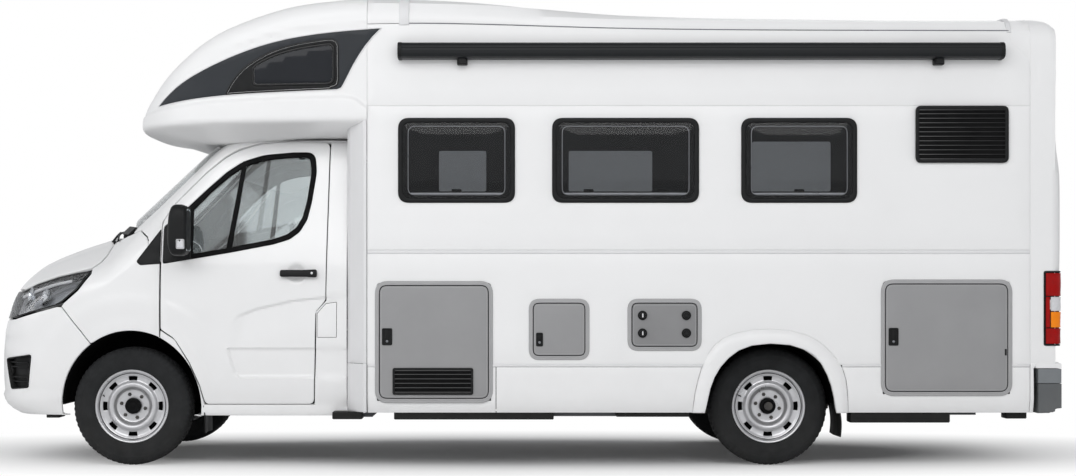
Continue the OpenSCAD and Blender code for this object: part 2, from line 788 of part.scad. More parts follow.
module wheel_arch_liners() {
    color(black) {
        both_sides() difference() {
            side_view(692, hab_in) translate([rear_axle_x, axle_z]) circle(r = rear_arch_r + 10);
            side_view(700, hab_y + 9) translate([rear_axle_x, axle_z]) circle(r = rear_arch_r);
            block([-3000, 600, -200], [0, span_y, axle_z]);
            block([-1560, 600, 0], [-1410, 702, 420]);
        }
        both_sides() difference() {
            intersection() {
                side_view(rail_y + rail_w / 2, 970) front_arch(10);
                cab_solid(skin_t);
            }
            side_view(rail_y + rail_w / 2 + 8, 1000) front_arch(0);
            block([1500, 300, 0], [3000, 1100, 365]);
            block([2250, 300, 0], [2440, 520, 620]);
        }
    }
}

module locker_boxes() {
    color([0.3, 0.3, 0.3]) {
        tub(gas_hatch, 450);
        tub(service_hatch, 150);
        // Entrance step
        mirror([0, 1, 0]) difference() {
            block([entrance[0][0] - 15, hab_in - 340, entrance[0][1] - 15],
                [entrance[1][0] + 15, hab_in, floor_z]);
            block([entrance[0][0], hab_in - 325, entrance[0][1]],
                [entrance[1][0], hab_in + 5, floor_z + 5]);
        }
    }
}

// A box behind a hatch, open at the side, d deep
module tub(h, d) {
    difference() {
        block([h[0][0] + seat, hab_in - d, h[0][1] + seat], [h[1][0] - seat, hab_in, h[1][1] - seat]);
        block([h[0][0] + 21, hab_in - d + 15, h[0][1] + 21], [h[1][0] - 21, hab_in + 5, h[1][1] - 21]);
    }
}

// A frame that lines the opening of box b in the left wall, with a flange of width w and height h
module frame(b, w, h, r) {
    difference() {
        union() {
            side_view(hab_y, hab_y + h) polygon(rounded(b[0], b[1], r));
            side_view(hab_in, hab_y + 1) polygon(rounded(inset(b, seat + fit)[0],
                inset(b, seat + fit)[1], 40 - fit));
        }
        side_view(hab_in - 9, hab_y + h + 9) polygon(rounded(inset(b, w)[0], inset(b, w)[1], r - w / 2));
    }
}

module window_frame_set() {
    for (w = windows) difference() {
        union() {
            side_view(hab_y, hab_y + 10) polygon(rounded(w[0], w[1], 70));
            side_view(hab_in, hab_y + 1) polygon(rounded(inset(w, window_flange - seat + fit)[0],
                inset(w, window_flange - seat + fit)[1], 50));
        }
        side_view(hab_in - 9, hab_y + 19) polygon(rounded(inset(w, window_flange + seat)[0],
            inset(w, window_flange + seat)[1], 44));
    }
}

module window_frames() {
    color(black) {
        window_frame_set();
        mirror([0, 1, 0]) intersection() {
            window_frame_set();
            block([-2200, hab_y - 130, 1000], [-100, hab_y + 170, 2300]);
        }
    }
}

module pane_set() {
    for (w = windows) side_view(hab_y - 12, hab_y - 4)
        polygon(rounded(inset(w, window_flange + seat + fit)[0],
            inset(w, window_flange + seat + fit)[1], 44));
}

module window_panes() {
    color([0.2, 0.22, 0.24]) {
        pane_set();
        mirror([0, 1, 0]) intersection() {
            pane_set();
            block([-2200, hab_y - 130, 1000], [-100, hab_y + 170, 2300]);
        }
        both_sides() side_view(hab_y - 20, hab_y - 8) polygon(shrink(pod_window, fit));
    }
}

// Hinge knuckles of a hatch, at the rear edge of its frame's opening
module hatch_hinge_place(h) {
    x = h[0][0] + hatch_flange + hatch_gap / 2;
    for (z = [h[0][1] + 110, h[1][1] - 110 - 2 * hinge_l])
        translate([x, hab_y + hatch_frame_h, z]) children();
}

module hatch_frame_one(h) {
    difference() {
        frame(h, hatch_flange, hatch_frame_h, 70);
        hatch_hinge_place(h) room_for_moving(hinge_r, hinge_l);
    }
    hatch_hinge_place(h) hinge_fixed(hinge_r, hinge_l);
}

module hatch_frames() {
    color(grey) {
        for (h = hatches) hatch_frame_one(h);
        mirror([0, 1, 0]) frame_closed(garage_hatch);
        // Fixed service panel with its knobs
        side_view(hab_y, hab_y + 8) polygon(rounded(knob_panel[0], knob_panel[1], 40));
        side_view(hab_in, hab_y) polygon(rounded(inset(knob_panel, seat + fit)[0],
            inset(knob_panel, seat + fit)[1], 40));
        for (x = [-975, -715]) for (z = [800, 905])
            translate([x, hab_y + 8, z]) rotate([-90, 0, 0]) cylinder(r = 27, h = 22);
        // Hinge pins of the entrance door
        mirror([0, 1, 0]) for (z = entrance_hinges)
            translate([entrance[1][0] - hatch_gap / 2, hab_y + 4, z]) hinge_fixed(hinge_r, hinge_l);
    }
}

// A closed hatch that is fixed on the right side
module frame_closed(h) {
    side_view(hab_y, hab_y + 8) polygon(rounded(h[0], h[1], 70));
    side_view(hab_in, hab_y) polygon(rounded(inset(h, seat + fit)[0], inset(h, seat + fit)[1], 40));
}

module hatch_leaf(h) {
    b = inset(h, hatch_flange + hatch_gap);
    difference() {
        union() {
            side_view(hab_y + 6 - hatch_t, hab_y + 6) polygon(rounded(b[0], b[1], 50));
            hatch_hinge_place(h) translate([0, 0, hinge_l + fit]) cylinder(r = hinge_r, h = hinge_l - fit);
        }
        hatch_hinge_place(h) room_for_fixed(hinge_r, hinge_l);
        hatch_hinge_place(h) cylinder(r = hinge_r / 2 + run_fit, h = 2 * hinge_l + 2);
    }
}

module gas_locker_door() {
    color(grey) hatch_leaf(gas_hatch);
}

module service_door() {
    color(grey) hatch_leaf(service_hatch);
}

module garage_door() {
    color(grey) hatch_leaf(garage_hatch);
}

module entrance_door() {
    b = inset(entrance, hatch_gap);
    color(white) mirror([0, 1, 0]) difference() {
        union() {
            side_view(hab_y + 4 - hatch_t, hab_y + 4) polygon(rounded(b[0], b[1], 56));
            entrance_place() translate([0, 0, hinge_l + fit]) cylinder(r = hinge_r, h = hinge_l - fit);
        }
        entrance_place() room_for_fixed(hinge_r, hinge_l);
        entrance_place() cylinder(r = hinge_r / 2 + run_fit, h = 2 * hinge_l + 2);
        side_view(hab_y - 99, hab_y + 99) polygon(rounded([370, 1620], [680, 2060], 40));
    }
}

module entrance_place() {
    for (z = entrance_hinges)
        translate([entrance[1][0] - hatch_gap / 2, hab_y + 4, z]) children();
}

module entrance_window() {
    color([0.2, 0.22, 0.24]) mirror([0, 1, 0]) side_view(hab_y - 12, hab_y - 2)
        polygon(rounded([370 + fit, 1620 + fit], [680 - fit, 2060 - fit], 40 - fit));
}

module vent_grilles() {
    v = inset(upper_vent, seat + fit);
    f = inset(upper_vent, 26);
    color(black) {
        difference() {
            union() {
                side_view(hab_y, hab_y + 8) polygon(rounded(upper_vent[0], upper_vent[1], 30));
                side_view(hab_in, hab_y) polygon(rounded(v[0], v[1], 40));
            }
            side_view(hab_in - 9, hab_y + 19) polygon(rounded(f[0], f[1], 12));
        }
        side_view(hab_in, hab_in + 6) polygon(rounded(f[0], f[1], 12));
        for (z = [f[0][1] + 8:24:f[1][1] - 10])
            block([f[0][0] - 1, hab_in + 5, z], [f[1][0] + 1, hab_y + 3, z + 10]);
    }
}

module awning_case() {
    x1 = 732;
    color(black) {
        translate([x1 - awning_l, hab_y, 2419]) rotate([90, 0, 90]) linear_extrude(awning_l)
            polygon([[0, 0], [70, 0], [94, 8], [awning_d + 4, 24], [awning_d + 6, 60],
                [awning_d, 80], [84, 92], [60, 97], [0, 97]]);
        for (x = [x1 - 380, x1 - awning_l + 380]) block([x - 30, hab_y, 2400], [x + 30, hab_y + 30, 2419]);
    }
}

// ---------- Cab interior ----------

wheel_pos = [1800, 430, 1120];
column_r = 14;

module at_column() {
    translate(wheel_pos) rotate([0, -62, 0]) children();
}

module dashboard() {
    color([0.3, 0.3, 0.32]) difference() {
        union() {
            intersection() {
                cab_solid(skin_t);
                side_view(-940, 940) polygon([[2140, 880], [2140, 1190], [2080, 1250],
                    [1990, 1240], [1930, 1150], [1950, 1000], [2040, 900]]);
            }
            at_column() translate([0, 0, -250]) cylinder(r = 38, h = 200);
        }
        front_arches(500, 12);
        at_column() translate([0, 0, -205]) cylinder(r = column_r + run_fit, h = 160);
    }
}

module cab_seats() {
    color([0.32, 0.32, 0.34]) both_sides() {
        block([1250, 240, rail_top + 25], [1640, 680, 800]);
        side_view(230, 690) polygon([[1180, 800], [1690, 800], [1690, 900], [1260, 890],
            [1150, 1440], [1060, 1440]]);
        side_view(330, 590) polygon([[1060, 1440], [1150, 1440], [1130, 1650], [1050, 1650]]);
    }
}

module steering_wheel() {
    color(black) at_column() {
        rotate_extrude() translate([190, 0]) circle(r = 15);
        cylinder(r = 55, h = 40);
        for (a = [0, 120, 240]) rotate([0, 0, a + 30]) translate([40, -14, 6]) cube([140, 28, 12]);
        translate([0, 0, -200]) cylinder(r = column_r, h = 210);
    }
}

// ---------- Chassis and running gear ----------

// A hole along the vehicle at the place of the towing eye
module tow_socket(r) {
    translate([3000, 320, rail_z + 30]) rotate([0, 90, 0]) cylinder(r = r, h = 300);
}

module chassis_frame() {
    color(steel) difference() {
        union() {
            both_sides() block([-1990, rail_y - rail_w / 2, rail_z],
                [3060, rail_y + rail_w / 2, rail_top]);
            both_sides() block([-3120, rail_y - rail_w / 2, rail_z - 130],
                [-1950, rail_y + rail_w / 2, 400]);
            both_sides() block([-1990, rail_y - rail_w / 2, 400], [-1950, rail_y + rail_w / 2, rail_z]);
            for (x = [900, 450, -200, -1900])
                block([x - 40, -rail_y, rail_z + 20], [x + 40, rail_y, rail_top - 20]);
            block([3060, -600, rail_z], [3110, 600, rail_top]);
            block([-3180, -600, rail_z - 130], [-3080, 600, 400]);
            // Spring hangers
            both_sides() for (x = [rear_axle_x - 420, rear_axle_x + 420])
                block([x - 30, rail_y - 35, 330], [x + 30, rail_y + 35, rail_z + 5]);
            // Pads for a jack
            both_sides() block([1270, rail_y - 30, rail_z - 20], [1330, rail_y + 30, rail_z]);
            // Brackets for the skirts
            for (x = [893, -1010]) both_sides()
                block([x - 21, rail_y, rail_z + 40], [x + 21, hab_y - skirt_t, rail_z + 90]);
            both_sides() block([-2421, rail_y, 360], [-2379, hab_y - skirt_t, 400]);
        }
        tow_socket(tow_socket_r);
        for (y = [-tow_bolt_y / 2, tow_bolt_y / 2]) for (x = [-tow_bolt_x / 2, tow_bolt_x / 2])
            translate([-3130 + x, y, rail_z - 140]) cylinder(r = tow_bolt_r, h = 120);
    }
}

module engine_block() {
    color(steel) block([2200, -290, rail_z + 20], [2760, 290, 960]);
}

module exhaust() {
    color(steel) {
        translate([-900, -300, 350]) rotate([0, 90, 0]) cylinder(r = 90, h = 620);
        translate([-280, -300, 350]) rotate([0, 90, 0]) cylinder(r = 28, h = 2440);
        translate([2160, -300, 350]) cylinder(r = 28, h = rail_z + 20 - 350);
        for (x = [-600, 600]) block([x - 15, -rail_y + rail_w / 2, 350], [x + 15, -280, 380]);
        for (x = [-600, 600])
            block([x - 15, -rail_y + rail_w / 2 - 10, 350], [x + 15, -rail_y + rail_w / 2, rail_z]);
    }
}

module underfloor_tanks() {
    color([0.25, 0.25, 0.26]) {
        block([-960, 500, 300], [-50, 1020, rail_top]);
        block([900, 440, 290], [1000, 940, rail_z]);
        block([100, -240, 300], [800, 380, rail_z + 20]);
        block([-2900, -300, 260], [-2300, 300, 400]);
    }
}

module front_suspension() {
    color(steel) difference() {
        union() {
            block([2220, -rail_y + rail_w / 2, rail_z - 60], [2740, rail_y - rail_w / 2, rail_z + 20]);
            both_sides() {
                // Lower arm and upper arm, which carry the kingpin
                block([front_axle_x - 32, rail_y - 100, 236], [front_axle_x + 32, kingpin_y + 22, 262]);
                block([front_axle_x - 60, rail_y - 100, 236],
                    [front_axle_x + 60, rail_y - 30, rail_z - 60]);
                block([front_axle_x - 32, rail_y + rail_w / 2, 450],
                    [front_axle_x + 32, kingpin_y + 22, 472]);
                translate([front_axle_x, kingpin_y, 240]) cylinder(d = kingpin_d, h = 230);
            }
        }
    }
}

module knuckle(side) {
    color(steel) mirror([0, side, 0]) difference() {
        union() {
            block([front_axle_x - 34, kingpin_y - 26, 267], [front_axle_x + 34, kingpin_y + 26, 445]);
            translate([front_axle_x, kingpin_y + 20, axle_z]) rotate([-90, 0, 0])
                cylinder(d = stub_d, h = 112);
        }
        translate([front_axle_x, kingpin_y, 200]) cylinder(r = kingpin_d / 2 + run_fit, h = 300);
    }
}

module left_knuckle() {
    knuckle(0);
}

module right_knuckle() {
    knuckle(1);
}

module rear_axle() {
    color(steel) {
        translate([rear_axle_x, -wheel_y + 8, axle_z]) rotate([-90, 0, 0])
            cylinder(d = axle_tube_d, h = track - 16);
        translate([rear_axle_x, -wheel_y - 100, axle_z]) rotate([-90, 0, 0])
            cylinder(d = stub_d, h = track + 200);
        both_sides() side_view(rail_y - 30, rail_y + 30) polygon([
            [rear_axle_x - 440, 330], [rear_axle_x - 400, 330], [rear_axle_x - 240, 285],
            [rear_axle_x, 268], [rear_axle_x + 240, 285], [rear_axle_x + 400, 330],
            [rear_axle_x + 440, 330], [rear_axle_x + 440, 314], [rear_axle_x + 240, 262],
            [rear_axle_x, 244], [rear_axle_x - 240, 262], [rear_axle_x - 440, 314]]);
        both_sides() block([rear_axle_x - 35, rail_y - 30, 260], [rear_axle_x + 35, rail_y + 30, axle_z - 20]);
    }
}

seat_r = rim_d / 2 - 14;

// A tyre with its axis on +Y through the middle of its width
module tyre() {
    h = tyre_w / 2;
    bead = [[seat_r + fit, h - 19 - fit], [rim_d / 2 + fit, h - 19 - fit], [rim_d / 2 + 7, h - 6],
        [rim_d / 2 + 45, h], [tyre_d / 2 - 40, h - 4], [tyre_d / 2 - 8, h - 24], [tyre_d / 2, h - 42]];
    color([0.12, 0.12, 0.12]) rotate([-90, 0, 0]) rotate_extrude($fn = 96)
        polygon(concat([for (p = bead) [p[0], -p[1]]], [for (i = [len(bead) - 1:-1:0]) bead[i]]));
}

// A pressed wheel with its hub, outer face towards +Y
module rim() {
    h = tyre_w / 2;
    color([0.6, 0.6, 0.62]) rotate([-90, 0, 0]) difference() {
        rotate_extrude($fn = 96) polygon([
            [stub_d / 2 + run_fit, 6], [55, 6], [55, 56], [90, 56], [120, 68], [135, 72], [150, 60],
            [seat_r - 12, 44], [seat_r - 12, -h + 12], [rim_d / 2, -h + 12], [rim_d / 2, -h + 19],
            [seat_r, -h + 19], [seat_r, h - 19], [rim_d / 2, h - 19], [rim_d / 2, h - 12],
            [rim_d / 2 - 22, h - 12], [seat_r - 12, 58], [150, 72], [135, 84], [120, 80], [92, 68],
            [46, 68], [46, 80], [stub_d / 2 + run_fit, 80]]);
        for (i = [0:7]) rotate([0, 0, 45 * i]) translate([160, 0, 0]) cylinder(r = 11, h = 200);
    }
}

module at_wheel(x, side) {
    mirror([0, side, 0]) translate([x, wheel_y, axle_z]) children();
}

module front_left_tyre() {
    at_wheel(front_axle_x, 0) tyre();
}

module front_left_rim() {
    at_wheel(front_axle_x, 0) rim();
}

module front_right_tyre() {
    at_wheel(front_axle_x, 1) tyre();
}

module front_right_rim() {
    at_wheel(front_axle_x, 1) rim();
}

module rear_left_tyre() {
    at_wheel(rear_axle_x, 0) tyre();
}

module rear_left_rim() {
    at_wheel(rear_axle_x, 0) rim();
}

module rear_right_tyre() {
    at_wheel(rear_axle_x, 1) tyre();
}

module rear_right_rim() {
    at_wheel(rear_axle_x, 1) rim();
}

// ---------- Nodes ----------

chassis_frame();
floor();
left_side_wall();
right_side_wall();
rear_cap();
roof();
overcab();
cab_side_fairings();
side_skirts();
rear_bumper();
wheel_arch_liners();
locker_boxes();
living_furniture();
window_frames();
window_panes();
hatch_frames();
vent_grilles();
rooflights();
awning_case();
tail_lamps();
cab_shell();
front_wings();
front_bumper();
front_grille();
headlamps();
windscreen();
dashboard();
cab_seats();
steering_wheel();
engine_block();
exhaust();
underfloor_tanks();
front_suspension();
rear_axle();
bonnet();
left_cab_door();
left_door_glass();
left_mirror();
right_cab_door();
right_door_glass();
right_mirror();
entrance_door();
entrance_window();
gas_locker_door();
service_door();
garage_door();
left_knuckle();
right_knuckle();
front_left_tyre();
front_left_rim();
front_right_tyre();
front_right_rim();
rear_left_tyre();
rear_left_rim();
rear_right_tyre();
rear_right_rim();
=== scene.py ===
"""Looks of the overcab motorhome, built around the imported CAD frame. Lengths are in metres."""

import json
import math

import bpy
import numpy as np
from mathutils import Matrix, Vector
from mathutils.geometry import delaunay_2d_cdt

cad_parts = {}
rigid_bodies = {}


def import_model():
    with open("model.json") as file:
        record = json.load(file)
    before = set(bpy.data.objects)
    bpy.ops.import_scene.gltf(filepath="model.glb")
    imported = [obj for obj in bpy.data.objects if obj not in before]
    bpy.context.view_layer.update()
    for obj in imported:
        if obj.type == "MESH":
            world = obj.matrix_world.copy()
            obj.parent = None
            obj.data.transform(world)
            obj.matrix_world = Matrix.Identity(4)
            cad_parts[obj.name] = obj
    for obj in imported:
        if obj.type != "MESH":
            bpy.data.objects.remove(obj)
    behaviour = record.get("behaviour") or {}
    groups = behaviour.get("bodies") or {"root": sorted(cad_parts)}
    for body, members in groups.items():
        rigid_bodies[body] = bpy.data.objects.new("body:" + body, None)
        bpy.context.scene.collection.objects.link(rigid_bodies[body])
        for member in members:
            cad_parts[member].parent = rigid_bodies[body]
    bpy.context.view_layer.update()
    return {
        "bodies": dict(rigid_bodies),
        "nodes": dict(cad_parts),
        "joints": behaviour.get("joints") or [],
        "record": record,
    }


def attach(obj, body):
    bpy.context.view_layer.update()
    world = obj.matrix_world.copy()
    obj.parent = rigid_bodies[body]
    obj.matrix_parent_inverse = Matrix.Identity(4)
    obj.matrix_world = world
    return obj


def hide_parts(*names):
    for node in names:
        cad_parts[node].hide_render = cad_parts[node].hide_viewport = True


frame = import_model()

# ---------- Materials ----------


def linear(red, green, blue):
    """A colour given in screen values from 0 to 255, as linear light."""
    def part(value):
        share = value / 255
        return share / 12.92 if share <= 0.04045 else ((share + 0.055) / 1.055) ** 2.4

    return (part(red), part(green), part(blue), 1.0)


class Tree:
    """A short way to add nodes to a material."""

    def __init__(self, name):
        self.material = bpy.data.materials.new(name)
        self.material.use_nodes = True
        self.nodes = self.material.node_tree.nodes
        self.links = self.material.node_tree.links
        self.shader = self.nodes["Principled BSDF"]
        self.place = self.add("ShaderNodeTexCoord").outputs["Object"]

    def add(self, kind, **settings):
        """A new node."""
        node = self.nodes.new(kind)
        for key, value in settings.items():
            setattr(node, key, value)
        return node

    def link(self, source, target):
        """Joins an output to an input."""
        self.links.new(source, target)

    def noise(self, scale, detail=3.0, stretch=None):
        """Noise from 0 to 1, stretched along an axis if asked."""
        node = self.add("ShaderNodeTexNoise")
        node.inputs["Scale"].default_value = scale
        node.inputs["Detail"].default_value = detail
        if stretch:
            mapping = self.add("ShaderNodeMapping")
            mapping.inputs["Scale"].default_value = stretch
            self.link(self.place, mapping.inputs["Vector"])
            self.link(mapping.outputs["Vector"], node.inputs["Vector"])
        else:
            self.link(self.place, node.inputs["Vector"])
        return node.outputs["Fac"]

    def ramp(self, factor, stops):
        """A colour for each factor, from (place, colour) stops."""
        node = self.add("ShaderNodeValToRGB")
        elements = node.color_ramp.elements
        while len(elements) < len(stops):
            elements.new(0.5)
        for element, (where, colour) in zip(elements, stops):
            element.position = where
            element.color = colour
        self.link(factor, node.inputs["Fac"])
        return node.outputs["Color"]

    def map(self, value, low, high, to_low, to_high):
        """A value moved from one range to another."""
        node = self.add("ShaderNodeMapRange")
        for key, number in zip(
            ("From Min", "From Max", "To Min", "To Max"), (low, high, to_low, to_high)
        ):
            node.inputs[key].default_value = number
        self.link(value, node.inputs["Value"])
        return node.outputs["Result"]

    def math(self, kind, a, b):
        """A sum, product or comparison of two values."""
        node = self.add("ShaderNodeMath", operation=kind)
        for socket, value in zip(node.inputs, (a, b)):
            if isinstance(value, (int, float)):
                socket.default_value = value
            else:
                self.link(value, socket)
        return node.outputs["Value"]

    def mix(self, factor, a, b):
        """A mix of two colours."""
        node = self.add("ShaderNodeMix", data_type="RGBA")
        for socket, value in zip((node.inputs[0], node.inputs[6], node.inputs[7]), (factor, a, b)):
            if isinstance(value, (int, float, tuple)):
                socket.default_value = value
            else:
                self.link(value, socket)
        return node.outputs[2]

    def bump(self, height, strength, distance=0.001):
        """Fine relief without geometry."""
        node = self.add("ShaderNodeBump")
        node.inputs["Strength"].default_value = strength
        node.inputs["Distance"].default_value = distance
        self.link(height, node.inputs["Height"])
        self.link(node.outputs["Normal"], self.shader.inputs["Normal"])


def finish(
    name, colour, rough=0.4, spread=0.05, grain=25.0, rough_spread=0.08, bump=0.0,
    bump_scale=300.0, dust=0.0, stretch=None, dust_top=0.8, **sockets
):
    """A surface with small changes of colour, gloss and height, and dust towards the ground."""
    tree = Tree(name)
    base = linear(*colour)
    dark = tuple(c * (1 - spread) for c in base[:3]) + (1.0,)
    light = tuple(min(1.0, c * (1 + spread)) for c in base[:3]) + (1.0,)
    patches = tree.noise(grain, 4.0, stretch)
    shade = tree.ramp(patches, [(0.3, dark), (0.7, light)])
    if dust:
        height = tree.add("ShaderNodeSeparateXYZ")
        tree.link(tree.place, height.inputs[0])
        low = tree.map(height.outputs["Z"], dust_top, 0.2, 0.0, dust)
        film = tree.math("MULTIPLY", low, tree.map(tree.noise(9.0, 6.0), 0.35, 0.65, 0.3, 1.0))
        shade = tree.mix(film, shade, linear(150, 140, 126))
    tree.link(shade, tree.shader.inputs["Base Color"])
    gloss = tree.noise(grain * 0.37 + 3, 5.0, stretch)
    spreading = tree.map(gloss, 0.3, 0.7, max(0.02, rough - rough_spread), rough + rough_spread)
    tree.link(spreading, tree.shader.inputs["Roughness"])
    if bump:
        tree.bump(tree.noise(bump_scale, 3.0, stretch), bump)
    for key, value in sockets.items():
        tree.shader.inputs[key.replace("_", " ")].default_value = value
    return tree.material


def woven(name, colour):
    """Seat cloth: a fine over and under weave with a soft sheen."""
    tree = Tree(name)
    waves = []
    for direction in ("X", "Z"):
        wave = tree.add("ShaderNodeTexWave", wave_type="BANDS", bands_direction=direction)
        wave.inputs["Scale"].default_value = 140.0
        wave.inputs["Distortion"].default_value = 0.6
        tree.link(tree.place, wave.inputs["Vector"])
        waves.append(wave.outputs["Fac"])
    height = tree.math("MULTIPLY", waves[0], waves[1])
    base = linear(*colour)
    light = tuple(min(1.0, c * 1.7) for c in base[:3]) + (1.0,)
    tree.link(tree.ramp(height, [(0.0, base), (1.0, light)]), tree.shader.inputs["Base Color"])
    tree.link(tree.map(tree.noise(30.0), 0.3, 0.7, 0.75, 0.95), tree.shader.inputs["Roughness"])
    tree.bump(height, 0.5, 0.0008)
    tree.shader.inputs["Sheen Weight"].default_value = 0.3
    return tree.material


def wooden(name):
    """Furniture board with a long grain."""
    tree = Tree(name)
    grain = tree.noise(14.0, 8.0, (1.0, 1.0, 9.0))
    colours = [(0.3, linear(176, 142, 98)), (0.55, linear(199, 168, 124)),
               (0.7, linear(160, 124, 82))]
    tree.link(tree.ramp(grain, colours), tree.shader.inputs["Base Color"])
    tree.link(tree.map(grain, 0.3, 0.7, 0.4, 0.6), tree.shader.inputs["Roughness"])
    tree.bump(grain, 0.2)
    return tree.material


def see_through(name, colour, rough=0.02, alpha=0.5, shine=0.4):
    """Clear or tinted glass, faintly streaked, that lets light into the space behind."""
    tree = Tree(name)
    streaks = tree.noise(3.0, 6.0, (1.0, 1.0, 0.3))
    base = linear(*colour)
    dark = tuple(c * 0.96 for c in base[:3]) + (1.0,)
    tree.link(tree.ramp(streaks, [(0.3, dark), (0.7, base)]), tree.shader.inputs["Base Color"])
    tree.link(tree.map(streaks, 0.3, 0.7, rough, rough + 0.004), tree.shader.inputs["Roughness"])
    tree.shader.inputs["Transmission Weight"].default_value = 1.0
    tree.shader.inputs["IOR"].default_value = 1.45
    tree.shader.inputs["Specular IOR Level"].default_value = shine
    tree.shader.inputs["Alpha"].default_value = alpha
    return tree.material


PAINT = finish("body_paint", (238, 238, 238), 0.34, 0.012, 3.0, 0.05, 0.03, 500.0, 0.05,
               Coat_Weight=0.6, Coat_Roughness=0.08)
COACH = finish("coach_white", (240, 240, 240), 0.42, 0.012, 2.0, 0.05, 0.05, 260.0, 0.05,
               Coat_Weight=0.25, Coat_Roughness=0.2)
MOULDED = finish("moulded_white", (226, 226, 227), 0.45, 0.015, 5.0, 0.06, 0.06, 400.0, 0.06)
TRIM = finish("swoosh_grey", (47, 50, 54), 0.42, 0.05, 6.0, 0.05, 0.04, 500.0,
              Specular_IOR_Level=0.2, Coat_Weight=0.08, Coat_Roughness=0.15)
HATCH = finish("hatch_grey", (150, 150, 151), 0.55, 0.03, 5.0, 0.06, 0.15, 420.0, 0.05)
HATCH_RIM = finish("hatch_rim_grey", (166, 166, 167), 0.5, 0.03, 12.0, 0.06, 0.1, 420.0, 0.05)
KNOB_PANEL = finish("knob_panel_grey", (136, 136, 137), 0.5, 0.04, 7.0, 0.06, 0.15, 420.0)
BLACK = finish("black_plastic", (17, 18, 19), 0.5, 0.15, 30.0, 0.08, 0.2, 700.0, 0.02,
               Specular_IOR_Level=0.25)
GLOSS_BLACK = finish("gloss_black", (14, 15, 16), 0.16, 0.1, 9.0, 0.05, 0.02, 300.0,
                     Specular_IOR_Level=0.3, Coat_Weight=0.25, Coat_Roughness=0.05)
RUBBER = finish("seal_rubber", (9, 9, 10), 0.65, 0.15, 40.0, 0.1, 0.25, 500.0,
                Specular_IOR_Level=0.12)
BUMPER = finish("bumper_grey", (92, 95, 97), 0.6, 0.05, 12.0, 0.08, 0.25, 800.0, 0.06)
BUMPER_TOP = finish("bumper_top_grey", (122, 126, 129), 0.55, 0.04, 12.0, 0.08, 0.2, 800.0)
AWNING = finish("awning_black", (26, 28, 30), 0.42, 0.08, 4.0, 0.06, 0.1, 500.0,
                stretch=(0.1, 1.0, 1.0), Specular_IOR_Level=0.25)
LINING = finish("cab_lining", (52, 54, 57), 0.75, 0.12, 20.0, 0.1, 0.3, 600.0)
DASH = finish("dash_plastic", (46, 48, 51), 0.6, 0.1, 20.0, 0.08, 0.35, 700.0)
TYRE = finish("tyre_rubber", (38, 39, 40), 0.78, 0.14, 16.0, 0.08, 0.35, 260.0, 0.02,
              dust_top=0.5, Specular_IOR_Level=0.2)
RIM = finish("rim_silver", (206, 206, 208), 0.32, 0.04, 18.0, 0.06, 0.06, 500.0, 0.02,
             dust_top=0.5, Metallic=0.7)
# Colour of the ring in the rim's groove: painted shade of the groove.
RIM_GROOVE_SHADE = finish("rim_recess", (46, 46, 48), 0.5, 0.1, 22.0, 0.08, 0.1, 400.0, Metallic=0.3)
STEEL = finish("chassis_black", (34, 35, 37), 0.62, 0.2, 12.0, 0.1, 0.4, 240.0, 0.25)
CAST = finish("cast_iron", (62, 60, 58), 0.7, 0.25, 18.0, 0.1, 0.6, 180.0, 0.2, Metallic=0.4)
EXHAUST = finish("exhaust_steel", (110, 104, 98), 0.5, 0.3, 9.0, 0.12, 0.3, 90.0, Metallic=0.8)
LINER = finish("arch_liner", (11, 11, 12), 0.85, 0.2, 30.0, 0.08, 0.5, 200.0,
               Specular_IOR_Level=0.1)
TUB = finish("locker_lining", (92, 94, 97), 0.7, 0.06, 15.0, 0.08, 0.2, 400.0)
CHROME = finish("reflector", (225, 228, 232), 0.12, 0.04, 30.0, 0.05, Metallic=1.0)
BEZEL = finish("lamp_bezel", (128, 130, 134), 0.35, 0.1, 14.0, 0.08, 0.05, 300.0, Metallic=0.5)
BLIND = finish("blind_grey", (206, 209, 212), 0.7, 0.03, 8.0, 0.08, 0.1, 300.0)
# Colour of the sheet behind the living windows: painted shade for the unlit room inside.
INTERIOR_SHADE_SHEET = finish("window_surround", (30, 32, 34), 0.6, 0.1, 8.0)
DOME = finish("roof_plastic", (214, 219, 222), 0.3, 0.03, 7.0, 0.06, 0.05, 300.0)
RED = finish("lamp_red", (158, 3, 2), 0.22, 0.1, 22.0, 0.06, 0.25, 500.0,
             Specular_IOR_Level=0.15, Coat_Weight=0.12, Coat_Roughness=0.04)
ORANGE = finish("lamp_orange", (255, 138, 8), 0.22, 0.08, 22.0, 0.06, 0.25, 500.0,
                Specular_IOR_Level=0.2, Coat_Weight=0.15, Coat_Roughness=0.04)
CLEAR_LAMP = finish("lamp_white", (214, 214, 217), 0.2, 0.06, 60.0, 0.06, 0.3, 500.0,
                    Coat_Weight=0.8, Coat_Roughness=0.04)
CLOTH = woven("seat_fabric", (40, 42, 46))
WOOD = wooden("wood")
GLASS = see_through("cab_glass", (196, 206, 208), 0.01, 0.6)
TINTED = see_through("tinted_acrylic", (64, 67, 70), 0.03, 0.50, 0.15)
# Opaque pod pane: the acrylic's own tint, with painted shade of the unlit room behind it.
TINT_AND_SHADE_PANE = finish("shaded_acrylic", (38, 40, 44), 0.12, 0.06, 6.0, 0.03, 0.02, 300.0,
                Specular_IOR_Level=0.2)
LENS = see_through("lamp_lens", (240, 243, 246), 0.02, 0.25)

# ---------- Outlines ----------


